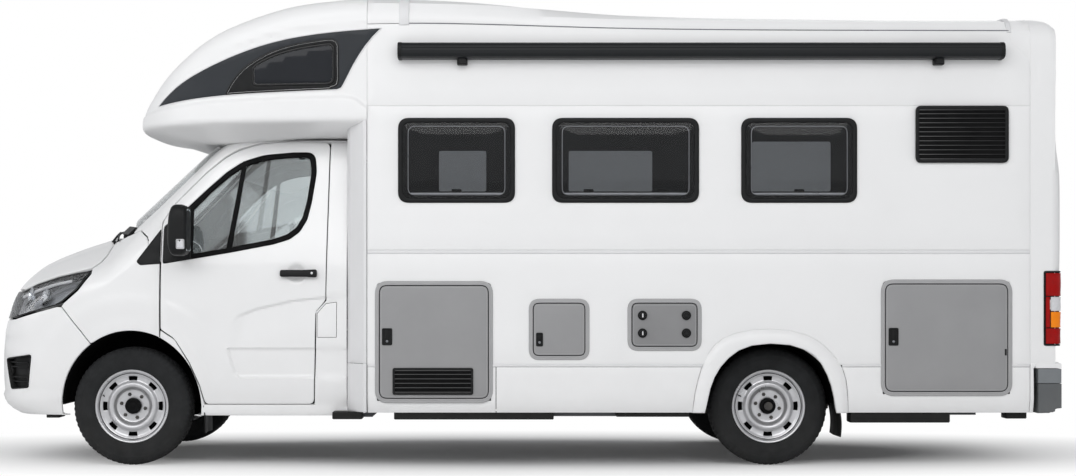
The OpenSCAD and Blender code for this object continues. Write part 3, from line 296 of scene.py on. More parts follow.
def rounded(points, radius, steps=5):
    """A closed outline with its corners rounded; a third number in a point is its own radius."""
    out = []
    count = len(points)
    for i, point in enumerate(points):
        here = np.array(point[:2], float)
        r = point[2] if len(point) > 2 else radius
        before = np.array(points[i - 1][:2], float) - here
        after = np.array(points[(i + 1) % count][:2], float) - here
        la, lb = np.linalg.norm(before), np.linalg.norm(after)
        before, after = before / la, after / lb
        turn = math.acos(float(np.clip(before @ after, -1, 1)))
        if r <= 0 or turn > math.pi - 0.02:
            out.append(here)
            continue
        reach = min(r / max(math.tan(turn / 2), 1e-3), 0.48 * la, 0.48 * lb)
        a, b = here + before * reach, here + after * reach
        for k in range(steps + 1):
            t = k / steps
            out.append((1 - t) ** 2 * a + 2 * t * (1 - t) * here + t * t * b)
    return np.array(out)


def box_outline(low, high, radius, steps=6):
    """A rounded rectangle, anticlockwise."""
    return rounded([low, (high[0], low[1]), high, (low[0], high[1])], radius, steps)


def circle(centre, rx, rz=None, count=32, start=0.0, stop=360.0):
    """Points of an ellipse, or of an arc of it."""
    closed = stop - start >= 360
    angles = np.radians(np.linspace(start, stop, count + 1)[: count if closed else None])
    rz = rx if rz is None else rz
    return np.stack([centre[0] + rx * np.cos(angles), centre[1] + rz * np.sin(angles)], axis=1)


def area(outline):
    """Area inside an outline: positive when it runs anticlockwise."""
    x, y = outline[:, 0], outline[:, 1]
    return 0.5 * float(np.sum(x * np.roll(y, -1) - np.roll(x, -1) * y))


def ordered(outline, clockwise=False):
    """The outline as an array, turning the asked way."""
    outline = np.asarray(outline, float)
    if (area(outline) < 0) != clockwise:
        outline = outline[::-1]
    return outline


def resample(outline, step, closed=True):
    """Adds points so that no edge is longer than step."""
    outline = np.asarray(outline, float)
    out = []
    ends = np.roll(outline, -1, axis=0) if closed else outline[1:]
    for a, b in zip(outline, ends):
        n = max(1, int(math.ceil(np.linalg.norm(b - a) / step)))
        out.extend(a + (b - a) * k / n for k in range(n))
    if not closed:
        out.append(outline[-1])
    return np.array(out)


def inset(outline, distance):
    """Moves each edge of an anticlockwise outline inwards."""
    forward = np.roll(outline, -1, axis=0) - outline
    forward /= np.maximum(np.linalg.norm(forward, axis=1, keepdims=True), 1e-9)
    normal = np.stack([-forward[:, 1], forward[:, 0]], axis=1)
    before = np.roll(normal, 1, axis=0)
    scale = np.maximum(1 + np.sum(normal * before, axis=1, keepdims=True), 0.4)
    return outline + (normal + before) * distance / scale


def shrunk(outline, distance):
    """The outline made smaller on every side, or larger with a negative distance."""
    return inset(ordered(outline), distance)


def inside(points, outline):
    """Which points lie inside the outline."""
    x, y = points[:, 0:1], points[:, 1:2]
    ax, ay = outline[:, 0], outline[:, 1]
    bx, by = np.roll(ax, -1), np.roll(ay, -1)
    crosses = (ay > y) != (by > y)
    slope = np.where(by == ay, 1e-12, by - ay)
    hits = crosses & (x < (bx - ax) * (y - ay) / slope + ax)
    return hits.sum(axis=1) % 2 == 1


def distance_to(points, line, closed=False):
    """Signed distance from each point to a polyline: positive on its left."""
    line = np.asarray(line, float)
    a = line if closed else line[:-1]
    b = np.roll(line, -1, axis=0) if closed else line[1:]
    best = np.full(len(points), 1e9)
    sign = np.ones(len(points))
    for p, q in zip(a, b):
        d = q - p
        length = max(float(d @ d), 1e-12)
        t = np.clip(((points - p) @ d) / length, 0, 1)
        off = points - (p + t[:, None] * d)
        dist = np.hypot(off[:, 0], off[:, 1])
        side = np.sign(d[0] * (points[:, 1] - p[1]) - d[1] * (points[:, 0] - p[0]))
        closer = dist < best - 1e-9
        best = np.where(closer, dist, best)
        sign = np.where(closer, side, sign)
    return best * np.where(sign == 0, 1, sign)


def spline(points):
    """A natural cubic spline through (x, y) points, as a function that is flat past its ends."""
    x, y = np.array(sorted(points), float).T
    n = len(x)
    h = np.diff(x)
    matrix = np.eye(n)
    right = np.zeros(n)
    for i in range(1, n - 1):
        matrix[i, i - 1 : i + 2] = h[i - 1], 2 * (h[i - 1] + h[i]), h[i]
        right[i] = 6 * ((y[i + 1] - y[i]) / h[i] - (y[i] - y[i - 1]) / h[i - 1])
    bend = np.linalg.solve(matrix, right)

    def value(at):
        at = np.clip(np.asarray(at, float), x[0], x[-1])
        i = np.clip(np.searchsorted(x, at) - 1, 0, n - 2)
        a, b = x[i + 1] - at, at - x[i]
        width = h[i]
        cubic = (bend[i] * a**3 + bend[i + 1] * b**3) / (6 * width)
        left = (y[i] / width - bend[i] * width / 6) * a
        return cubic + left + (y[i + 1] / width - bend[i + 1] * width / 6) * b

    return value


def smooth(t):
    """A soft step from 0 to 1."""
    t = np.clip(t, 0, 1)
    return t * t * (3 - 2 * t)


# ---------- Meshes ----------


def piece(
    name, verts, faces, material, body="chassis", slot=None, replaces=(), sharp=35, index=None
):
    """A mesh object that rides on a CAD body."""
    mesh = bpy.data.meshes.new(name)
    mesh.from_pydata(np.asarray(verts, float).tolist(), [], [list(map(int, f)) for f in faces])
    for m in material if isinstance(material, (list, tuple)) else [material]:
        mesh.materials.append(m)
    if index is not None:
        mesh.polygons.foreach_set("material_index", np.asarray(index, np.int32))
    mesh.validate()
    mesh.update()
    mesh.polygons.foreach_set("use_smooth", [True] * len(mesh.polygons))
    obj = bpy.data.objects.new(name, mesh)
    bpy.context.scene.collection.objects.link(obj)
    if sharp:
        mesh.set_sharp_from_angle(angle=math.radians(sharp))
    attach(obj, body)
    if replaces:
        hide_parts(*replaces)
    return obj


class Shape:
    """Gathers several closed meshes into one piece."""

    def __init__(self):
        self.verts, self.faces, self.index = [], [], []

    def add(self, mesh):
        """Adds a closed mesh: vertices, faces and, if it has them, material numbers."""
        verts, faces = mesh[0], mesh[1]
        start = len(self.verts)
        self.verts.extend(np.asarray(verts, float).tolist())
        self.faces.extend([start + int(i) for i in face] for face in faces)
        self.index.extend(mesh[2] if len(mesh) > 2 else [0] * len(faces))

    def make(self, name, material, **placing):
        """Makes one piece of what was added."""
        return piece(name, self.verts, self.faces, material, index=self.index, **placing)


def triangulate(loops, step, edge):
    """Fills the first loop, less the others, with triangles. Each loop's margin has rings that
    follow it, for a rounded edge. Returns 2-D points, triangles, depth shares and rim indices."""
    shares = (0.0, 0.12, 0.4, 1.0) if edge > 0 else (0.0,)
    points, depths, edges, rims, inner = [], [], [], [], []
    for i, loop in enumerate(loops):
        loop = ordered(loop, clockwise=i > 0)
        for k, share in enumerate(shares):
            ring = inset(loop, edge * share) if share else loop
            start = len(points)
            count = len(ring)
            points.extend(ring)
            depths.extend([1 - math.sqrt(1 - (1 - share) ** 2)] * count)
            edges.extend((start + j, start + (j + 1) % count) for j in range(count))
            if k == 0:
                rims.append(list(range(start, start + count)))
            if k == len(shares) - 1:
                inner.append(ring)
    outer = ordered(loops[0])
    low, high = outer.min(axis=0), outer.max(axis=0)
    nx, ny = (np.maximum(np.ceil((high - low) / step), 1)).astype(int)
    gx, gy = np.meshgrid(
        np.linspace(low[0], high[0], nx + 1), np.linspace(low[1], high[1], ny + 1)
    )
    gx = gx + (np.arange(ny + 1) % 2)[:, None] * (high[0] - low[0]) / nx / 2
    grid = np.stack([gx.ravel(), gy.ravel()], axis=1)
    keep = inside(grid, inner[0])
    for ring in inner[1:]:
        keep &= ~inside(grid, ring)
    grid = grid[keep]
    near = np.zeros(len(grid), bool)
    for ring in inner:
        for a in range(0, len(ring), 200):
            d = grid[:, None, :] - ring[None, a : a + 200, :]
            near |= (np.hypot(d[..., 0], d[..., 1]).min(axis=1)) < 0.45 * step
    grid = grid[~near]
    points.extend(grid)
    depths.extend([0.0] * len(grid))
    verts, _, faces, source, _, _ = delaunay_2d_cdt(
        [Vector(p) for p in points], edges, [], 0, 1e-7
    )
    verts = np.array([tuple(v) for v in verts])
    where = {}
    depth = np.zeros(len(verts))
    for i, found in enumerate(source):
        for s in found:
            where[s] = i
            depth[i] = max(depth[i], depths[s])
    faces = np.array([f for f in faces if len(f) == 3])
    middle = verts[faces].mean(axis=1)
    keep = inside(middle, ordered(loops[0]))
    for loop in loops[1:]:
        keep &= ~inside(middle, ordered(loop))
    rims = [[where[i] for i in rim] for rim in rims]
    return verts, faces[keep], depth, rims


def panel_mesh(
    outline, surface, holes=(), thickness=0.012, edge=0.004, step=0.03, fine=None
):
    """A closed sheet that follows a surface, with rounded front edges. The surface maps 2-D
    points to 3-D points and outward normals. The back has material index 1."""
    fine = fine or step * 0.6
    loops = [resample(loop, fine) for loop in (outline, *holes)]
    flat, faces, depth, rims = triangulate(loops, step, edge)
    place, normal = surface(flat)
    normal = normal / np.linalg.norm(normal, axis=1, keepdims=True)
    front = place - normal * (depth * edge)[:, None]
    back = place - normal * thickness
    a, b, c = (front[faces[:, i]] for i in range(3))
    flip = np.sum(np.cross(b - a, c - a) * normal[faces[:, 0]]) < 0
    if flip:
        faces = faces[:, ::-1]
    count = len(flat)
    every = [list(f) for f in faces] + [[i + count for i in f[::-1]] for f in faces]
    index = [0] * len(faces) + [1] * len(faces)
    for rim in rims:
        for i, j in zip(rim, rim[1:] + rim[:1]):
            if i != j:
                quad = [j, i, i + count, j + count]
                every.append(quad[::-1] if flip else quad)
                index.append(0)
    used = np.zeros(2 * count, bool)
    used[np.unique(np.concatenate([np.array(f) for f in every]))] = True
    number = np.cumsum(used) - 1
    verts = np.concatenate([front, back])[used]
    return verts, [[int(number[i]) for i in f] for f in every], index


def panel(name, outline, surface, material, back=None, **options):
    """One sheet as a piece of its own; placing options go to piece()."""
    shaping = {
        key: options.pop(key)
        for key in ("holes", "thickness", "edge", "step", "fine")
        if key in options
    }
    verts, faces, index = panel_mesh(outline, surface, **shaping)
    return piece(name, verts, faces, [material, back or material], index=index, **options)


def side_wall(y, side=1):
    """The flat surface at a distance y to the left, or to the right with side -1."""

    def at(flat):
        place = np.stack([flat[:, 0], np.full(len(flat), side * y), flat[:, 1]], axis=1)
        return place, np.tile([0.0, float(side), 0.0], (len(flat), 1))

    return at


def revolve(profile, centre, steps=64, side=1, ripple=None):
    """Turns a closed (along, radius) profile about an axis across the vehicle."""
    profile = np.asarray(profile, float)
    n = len(profile)
    angles = 2 * np.pi * np.arange(steps) / steps
    along = np.tile(profile[:, 0], (steps, 1))
    radius = np.tile(profile[:, 1], (steps, 1))
    if ripple is not None:
        along, radius = ripple(along, radius, angles[:, None])
    verts = np.stack(
        [
            centre[0] + radius * np.cos(angles)[:, None],
            centre[1] + side * along,
            centre[2] + radius * np.sin(angles)[:, None],
        ],
        axis=2,
    ).reshape(-1, 3)
    faces = []
    for k in range(steps):
        m = (k + 1) % steps
        for i in range(n):
            j = (i + 1) % n
            quad = [k * n + i, k * n + j, m * n + j, m * n + i]
            faces.append(quad if side > 0 else quad[::-1])
    return outward(verts, faces)


def outward(verts, faces):
    """Turns all the faces so that the closed mesh has a positive volume."""
    verts = np.asarray(verts, float)
    volume = 0.0
    for f in faces:
        a = verts[f[0]]
        for i in range(1, len(f) - 1):
            volume += a @ np.cross(verts[f[i]], verts[f[i + 1]])
    if volume < 0:
        faces = [list(f)[::-1] for f in faces]
    return verts, faces


def tube(points, radius, sides=10, flat=1.0):
    """A closed tube along 3-D points; flat squeezes it along its second direction."""
    points = np.asarray(points, float)
    n = len(points)
    tangent = np.gradient(points, axis=0)
    tangent /= np.linalg.norm(tangent, axis=1, keepdims=True)
    up = np.array([0.0, 0.0, 1.0]) if abs(tangent[0][2]) < 0.8 else np.array([0.0, 1.0, 0.0])
    verts = []
    radii = np.broadcast_to(radius, (n,))
    for p, t, r in zip(points, tangent, radii):
        side = np.cross(t, up)
        side /= np.linalg.norm(side)
        top = np.cross(side, t)
        for k in range(sides):
            a = 2 * math.pi * k / sides
            verts.append(p + side * r * math.cos(a) * flat + top * r * math.sin(a))
    faces = [
        [i * sides + k, i * sides + (k + 1) % sides, (i + 1) * sides + (k + 1) % sides,
         (i + 1) * sides + k]
        for i in range(n - 1)
        for k in range(sides)
    ]
    faces.append(list(range(sides))[::-1])
    faces.append([(n - 1) * sides + k for k in range(sides)])
    return outward(verts, faces)


def soft_box(low, high, power=5.0, count=24):
    """A rounded block: a superellipsoid between two corners, with an even mesh."""
    low, high = np.array(low, float), np.array(high, float)
    centre, half = (low + high) / 2, (high - low) / 2
    v = np.linspace(-math.pi / 2, math.pi / 2, count + 1)[1:-1]
    u = np.linspace(-math.pi, math.pi, 2 * count, endpoint=False)

    def bend(value):
        return np.sign(value) * np.abs(value) ** (2 / power)

    verts = [centre - [0, 0, half[2]]]
    for b in v:
        ring = np.stack(
            [bend(np.cos(b)) * bend(np.cos(u)), bend(np.cos(b)) * bend(np.sin(u)),
             np.full(len(u), bend(np.sin(b)))],
            axis=1,
        )
        verts.extend(centre + ring * half)
    verts.append(centre + [0, 0, half[2]])
    n = len(u)
    rows = len(v)
    faces = [[0, 1 + (k + 1) % n, 1 + k] for k in range(n)]
    for i in range(rows - 1):
        for k in range(n):
            a, b = 1 + i * n + k, 1 + i * n + (k + 1) % n
            faces.append([a, b, b + n, a + n])
    top = len(verts) - 1
    last = 1 + (rows - 1) * n
    faces.extend([last + k, last + (k + 1) % n, top] for k in range(n))
    return outward(verts, faces)


def block(low, high, bevel=0.003):
    """A box with bevelled edges."""
    low, high = np.array(low, float), np.array(high, float)
    bevel = min(bevel, float((high - low).min()) * 0.4)
    outline = box_outline(low[[0, 2]], high[[0, 2]], bevel, 3)
    rings = []
    for y, d in ((low[1], bevel), (low[1] + bevel, 0), (high[1] - bevel, 0), (high[1], bevel)):
        ring = shrunk(outline, d * 0.6) if d else ordered(outline)
        rings.append(np.stack([ring[:, 0], np.full(len(ring), y), ring[:, 1]], axis=1))
    n = len(outline)
    verts = np.concatenate(rings)
    faces = [
        [r * n + k, r * n + (k + 1) % n, (r + 1) * n + (k + 1) % n, (r + 1) * n + k]
        for r in range(3)
        for k in range(n)
    ]
    faces.append(list(range(n))[::-1])
    faces.append([3 * n + k for k in range(n)])
    return outward(verts, faces)


# ---------- Shape of the cab ----------

HALF_WIDTH = spline(
    [(0.28, 0.945), (0.42, 0.985), (0.70, 1.003), (0.95, 1.010), (1.15, 1.000), (1.25, 0.985),
     (1.50, 0.925), (1.75, 0.865), (1.95, 0.815), (2.05, 0.785)]
)
NOSE = spline(
    [(0.28, 3.06), (0.303, 3.12), (0.345, 3.20), (0.39, 3.233), (0.44, 3.243), (0.60, 3.248),
     (0.70, 3.245), (0.816, 3.226), (0.90, 3.205), (0.976, 3.182), (1.052, 3.152), (1.125, 3.105),
     (1.18, 3.055), (1.30, 2.90), (1.45, 2.70)]
)
BONNET = spline(
    [(2.20, 1.475), (2.40, 1.438), (2.532, 1.405), (2.591, 1.388), (2.693, 1.356), (2.836, 1.302),
     (2.988, 1.236), (3.08, 1.18), (3.16, 1.11), (3.25, 1.02)]
)
NOSE_FROM = 2.60
NOSE_POWER = 3.6
SCREEN_FOOT = (2.588, 1.398)
SCREEN_SLOPE = 0.9365
CAB_ROOF = 2.000


def blend_max(a, b, width):
    """The larger of two values, rounded where they are about equal."""
    h = np.maximum(width - np.abs(a - b), 0) / width
    return np.maximum(a, b) + h * h * width / 4


def cab_top(x, y):
    """Height of the bonnet, windscreen and roof."""
    y = np.abs(y)
    bonnet = BONNET(x) - 0.17 * (y / 0.85) ** 2.6
    screen = SCREEN_FOOT[1] + (SCREEN_FOOT[0] - x - 0.35 * y**2) * SCREEN_SLOPE
    roof = CAB_ROOF - 0.03 * (y / 0.8) ** 2
    return blend_max(-blend_max(-screen, -roof, 0.10), bonnet, 0.03)


def cab_field(p):
    """Negative inside the cab, positive outside, and about a distance near its surface."""
    x, y, z = p[:, 0], np.abs(p[:, 1]), p[:, 2]
    ahead = np.maximum(x - NOSE_FROM, 0) / (NOSE(z) - NOSE_FROM)
    wrap = (ahead**NOSE_POWER + (y / HALF_WIDTH(z)) ** NOSE_POWER) ** (1 / NOSE_POWER)
    return blend_max((wrap - 1) * 0.85, (z - cab_top(x, y)) * 0.75, 0.07)


def slope(field, p):
    """The outward normal of a field."""
    step = 0.002
    parts = []
    for axis in range(3):
        d = np.zeros(3)
        d[axis] = step
        parts.append(field(p + d) - field(p - d))
    normal = np.stack(parts, axis=1)
    return normal / np.maximum(np.linalg.norm(normal, axis=1, keepdims=True), 1e-12)


class Look:
    """A flat view of a field along a direction, to draw panels in."""

    def __init__(self, field, outwards, across, far=2.0, near=-1.0, centre=(0, 0, 0)):
        self.field = field
        self.d = np.array(outwards, float) / np.linalg.norm(outwards)
        v = np.array(across, float)
        v = v - (v @ self.d) * self.d
        self.v = v / np.linalg.norm(v)
        self.u = np.cross(self.v, self.d)
        self.centre = np.array(centre, float)
        self.far, self.near = far, near

    def flat(self, points):
        local = np.asarray(points, float) - self.centre
        return np.stack([local @ self.u, local @ self.v], axis=1)

    def cast(self, flat):
        """The outermost points of the surface behind the flat points."""
        base = self.centre + flat[:, 0:1] * self.u + flat[:, 1:2] * self.v
        steps = np.linspace(self.far, self.near, 70)
        high = np.full(len(flat), self.far)
        low = np.full(len(flat), self.near)
        open_ = np.ones(len(flat), bool)
        for a, b in zip(steps, steps[1:]):
            hit = open_ & (self.field(base + b * self.d) < 0)
            high[hit], low[hit] = a, b
            open_ &= ~hit
        for _ in range(22):
            middle = (high + low) / 2
            within = self.field(base + middle[:, None] * self.d) < 0
            low = np.where(within, middle, low)
            high = np.where(within, high, middle)
        return base + ((high + low) / 2)[:, None] * self.d

    def surface(self, relief=None, lift=0.0, side=1):
        def at(flat):
            place = self.cast(flat)
            normal = slope(self.field, place)
            rise = lift if relief is None else lift + relief(place)
            place = place + normal * (rise[:, None] if relief is not None else rise)
            return place * [1, side, 1], normal * [1, side, 1]

        return at


class Wrap:
    """A view of a field from all round a vertical axis: flat points are (arc length, height)."""

    def __init__(self, field, axis, radius, reach=1.6):
        self.field, self.axis, self.radius, self.reach = field, axis, radius, reach

    def flat(self, points):
        points = np.asarray(points, float)
        turn = np.arctan2(points[:, 1] - self.axis[1], points[:, 0] - self.axis[0])
        return np.stack([turn * self.radius, points[:, 2]], axis=1)

    def surface(self, relief=None, lift=0.0, side=1):
        def at(flat):
            turn = flat[:, 0] / self.radius
            ray = np.stack([np.cos(turn), np.sin(turn), np.zeros(len(turn))], axis=1)
            base = np.stack(
                [np.full(len(turn), self.axis[0]), np.full(len(turn), self.axis[1]), flat[:, 1]],
                axis=1,
            )
            low, high = np.zeros(len(turn)), np.full(len(turn), self.reach)
            for _ in range(30):
                middle = (low + high) / 2
                within = self.field(base + ray * middle[:, None]) < 0
                low, high = np.where(within, middle, low), np.where(within, high, middle)
            place = base + ray * low[:, None]
            normal = slope(self.field, place)
            rise = lift if relief is None else lift + relief(place)
            place = place + normal * (rise[:, None] if relief is not None else rise)
            return place * [1, side, 1], normal * [1, side, 1]

        return at


SIDE = Look(cab_field, (0, 1, 0), (0, 0, 1), far=1.1, near=0.1)
FRONT = Look(cab_field, (1, 0, 0), (0, 0, 1), far=3.4, near=2.0)
CAB_TOP = Look(cab_field, (0, 0, 1), (0, 1, 0), far=2.1, near=0.6)
WING_VIEW = Look(cab_field, (0.25, 0.8, 0.55), (0, 0, 1), far=4.0, near=0.0)
LAMP_VIEW = Look(cab_field, (0.62, 0.74, 0.26), (0, 0, 1), far=4.5, near=0.5)
BONNET_VIEW = Look(cab_field, (0.40, 0, 0.92), (0, 1, 0), far=4.0, near=0.5)
SCREEN_VIEW = Look(cab_field, (0.68, 0, 0.73), (0, 1, 0), far=4.5, near=1.0)
PILLAR_VIEW = Look(cab_field, (0.5, 0.62, 0.6), (0, 0, 1), far=4.5, near=0.5)
NOSE_WRAP = Wrap(cab_field, (2.40, 0.0), 0.9)


def trace_side(points, step=0.02, closed=False):
    """Points given in side view, on the surface of the cab's left side."""
    line = resample(points, step, closed)
    return SIDE.cast(SIDE.flat(np.stack([line[:, 0], line[:, 0] * 0, line[:, 1]], axis=1)))


def trace_front(points, step=0.02):
    """Points given as (Y, Z) on the surface of the cab's front."""
    line = resample(points, step, False)
    return FRONT.cast(FRONT.flat(np.stack([line[:, 0] * 0, line[:, 0], line[:, 1]], axis=1)))


def trace_top(points, step=0.03):
    """Points given as (X, Y) on top of the cab."""
    line = resample(points, step, False)
    return CAB_TOP.cast(CAB_TOP.flat(np.stack([line[:, 0], line[:, 1], line[:, 0] * 0], axis=1)))


# ---------- Lines and reliefs of the cab ----------

AXLE_Z = 0.356
FRONT_AXLE = np.array([2.345, AXLE_Z])
ARCH_RX, ARCH_RZ = 0.418, 0.455
DOOR = rounded(
    [(1.252, 0.372, 0.03), (1.900, 0.372, 0.03), (1.930, 0.486, 0.2), (1.990, 0.624, 0.2),
     (2.080, 0.768, 0.12), (2.163, 0.822, 0.02), (2.163, 1.465, 0.12), (2.093, 1.578, 0.3),
     (2.018, 1.655, 0.3), (1.912, 1.764, 0.3), (1.802, 1.855, 0.3), (1.717, 1.904, 0.3),
     (1.595, 1.943, 0.3), (1.412, 1.962, 0.3), (1.170, 1.955, 0.04), (1.180, 0.996, 0.05),
     (1.240, 0.924, 0.05)],
    0.05,
)
WINDOW = rounded(
    [(2.156, 1.213, 0.012), (2.156, 1.438, 0.03), (2.012, 1.562, 0.2), (1.900, 1.672, 0.3),
     (1.791, 1.772, 0.3), (1.694, 1.838, 0.3), (1.567, 1.878, 0.3), (1.397, 1.894, 0.3),
     (1.255, 1.896, 0.06), (1.243, 1.770, 0.3), (1.270, 1.583, 0.3), (1.294, 1.480, 0.1),
     (1.337, 1.405, 0.1), (1.397, 1.360, 0.1), (1.494, 1.330, 0.2), (1.755, 1.280, 0.3),
     (1.973, 1.243, 0.3)],
    0.1,
)
SAIL = rounded(
    [(2.1545, 1.216), (2.1545, 1.436), (2.000, 1.572), (1.985, 1.240)], 0.008
)
GLASS_OUTLINE = rounded(
    [(1.985, 1.268, 0.01), (1.985, 1.545, 0.02), (1.884, 1.650, 0.3), (1.776, 1.748, 0.3),
     (1.684, 1.812, 0.3), (1.562, 1.850, 0.3), (1.397, 1.866, 0.3), (1.284, 1.868, 0.04),
     (1.272, 1.770, 0.3), (1.296, 1.590, 0.3), (1.320, 1.494, 0.1), (1.358, 1.428, 0.1),
     (1.412, 1.388, 0.1), (1.500, 1.358, 0.2), (1.755, 1.308, 0.3)],
    0.1,
)
LAMP_SIDE = [(3.075, 0.886), (2.914, 0.929), (2.790, 0.962), (2.755, 0.982), (2.670, 1.058),
             (2.602, 1.156), (2.603, 1.174), (2.690, 1.162), (2.815, 1.135), (2.946, 1.093),
             (3.035, 1.050)]


def crease(line, width, depth, fade):
    """A relief that steps down below a line and comes back with distance."""
    line = np.array(line)

    def at(p):
        flat = p[:, [0, 2]]
        d = distance_to(flat, line)
        run = smooth(-d / width) * (1 - smooth((-d - width) / fade))
        ends = smooth((flat[:, 0] - line[:, 0].min() + 0.1) / 0.2)
        ends = ends * smooth((line[:, 0].max() - flat[:, 0]) / 0.12)
        return -depth * run * ends

    return at


UPPER_CREASE = crease([(1.050, 1.030), (1.372, 0.998), (1.600, 0.945), (1.700, 0.905),
                       (1.760, 0.846)], 0.013, 0.015, 0.22)
RECESS = rounded([(1.774, 0.708), (1.726, 0.546), (1.690, 0.528), (1.000, 0.528), (1.000, 0.708)],
                 0.01)


def cab_relief(p):
    """Flare round the wheel, creases, the recess in the doors and the bumper's lip."""
    x, y, z = p[:, 0], np.abs(p[:, 1]), p[:, 2]
    flat = np.stack([x, z], axis=1)
    r = np.hypot((x - FRONT_AXLE[0]), (z - FRONT_AXLE[1]) * 0.96)
    low = smooth((z - 0.45) / 0.25)
    flare = 0.008 * smooth((0.665 - r) / 0.05) * low * smooth((x - 1.86) / 0.16)
    flare = flare + 0.004 * smooth((0.52 - r) / 0.05) * smooth((z - 0.35) / 0.2)
    flare = flare * (1 - 0.75 * np.exp(-(((x - 2.168) / 0.030) ** 2)) * smooth((z - 0.70) / 0.04))
    on_side = smooth((y - 0.6) / 0.2)
    depth = distance_to(flat, ordered(RECESS), closed=True)
    recess = -0.014 * smooth(depth / 0.012)
    lip = 0.007 * smooth((0.432 - z) / 0.016) * smooth((x - 2.5) / 0.2)
    waist = -0.006 * smooth((0.80 - z) / 0.05) * smooth((x - 2.9) / 0.1) * smooth((z - 0.42) / 0.02)
    total = flare * on_side + UPPER_CREASE(p) + recess * on_side + lip + waist
    return total


def handle_dish(p):
    """The dish behind the door handle."""
    r = np.hypot(p[:, 0] - 1.352, p[:, 2] - 1.155)
    return cab_relief(p) - 0.016 * smooth((0.062 - r) / 0.03)


# ---------- Cab ----------


def gapped(points, view, gap):
    """A 3-D outline laid flat in a view and made smaller by half of its gap."""
    return shrunk(view.flat(points), gap)


def side_outline(outline):
    """An (X, Z) outline in the flat places of the side view."""
    return SIDE.flat(np.stack([outline[:, 0], outline[:, 0] * 0, outline[:, 1]], axis=1))


def arch_line(start, stop):
    """Part of the front wheel arch's edge, between two angles."""
    return circle(FRONT_AXLE, ARCH_RX, ARCH_RZ, 24, start, stop)


def cab_door(side, word):
    """Skin, window seal, sail panel, divider, handle and lining of one cab door."""
    body = f"{word}_cab_door"
    window = shrunk(WINDOW, 0.0)
    panel(f"{word}_door_skin", side_outline(shrunk(DOOR, -0.0022)),
          SIDE.surface(handle_dish, side=side), PAINT, LINING, holes=[side_outline(window)],
          thickness=0.020, edge=0.003, step=0.011, fine=0.011, body=body, slot="body_paint",
          replaces=[f"{word}_cab_door"])
    inner = shrunk(DOOR, 0.035)
    panel(f"{word}_door_lining", side_outline(inner), SIDE.surface(lift=-0.045, side=side), DASH,
          holes=[side_outline(shrunk(GLASS_OUTLINE, -0.012))], thickness=0.018, edge=0.006,
          step=0.05, body=body, slot="dash_plastic")
    seal = Shape()
    seal.add(panel_mesh(side_outline(shrunk(WINDOW, 0.0006)), SIDE.surface(lift=0.0035, side=side),
                        holes=[side_outline(shrunk(GLASS_OUTLINE, 0.004)),
                               side_outline(shrunk(SAIL, 0.004))],
                        thickness=0.024, edge=0.005, step=0.02, fine=0.012))
    bar = np.array([(1.668, 1.842), (1.694, 1.838), (1.778, 1.300), (1.744, 1.306)])
    seal.add(panel_mesh(side_outline(bar), SIDE.surface(lift=0.0015, side=side), thickness=0.020,
                        edge=0.004, step=0.03, fine=0.02))
    seal.make(f"{word}_window_seal", RUBBER, body=body, slot="black_plastic")
    panel(f"{word}_sail_panel", side_outline(SAIL), SIDE.surface(lift=0.006, side=side), BLACK,
          thickness=0.02, edge=0.006, step=0.02, body=body, slot="black_plastic")
    panel(f"{word}_door_pane", side_outline(GLASS_OUTLINE), SIDE.surface(lift=-0.006, side=side),
          GLASS, thickness=0.004, edge=0.0, step=0.03, body=body, slot="cab_glass",
          replaces=[f"{word}_door_glass"])
    grip = Shape()
    for x0, x1 in ((1.232, 1.262), (1.412, 1.442)):
        foot = np.array([[x0, 1.134], [x1, 1.134], [x1, 1.170], [x0, 1.170]])
        grip.add(panel_mesh(side_outline(rounded(foot, 0.010)), SIDE.surface(lift=0.030, side=side),
                            thickness=0.036, edge=0.008, step=0.02))
    blade = rounded([(1.226, 1.128), (1.300, 1.132), (1.448, 1.132), (1.448, 1.172),
                     (1.300, 1.172), (1.226, 1.176)], 0.014)
    grip.add(panel_mesh(side_outline(blade), SIDE.surface(lift=0.040, side=side), thickness=0.018,
                        edge=0.009, step=0.012))
    grip.make(f"{word}_door_handle", BLACK, body=body, slot="black_plastic")
    lock = circle((1.256, 1.152), 0.0075, count=20)
    panel(f"{word}_lock_barrel", side_outline(lock), SIDE.surface(lift=0.0412, side=side), RIM,
          thickness=0.004, edge=0.001, step=0.01, body=body, slot="rim_silver")


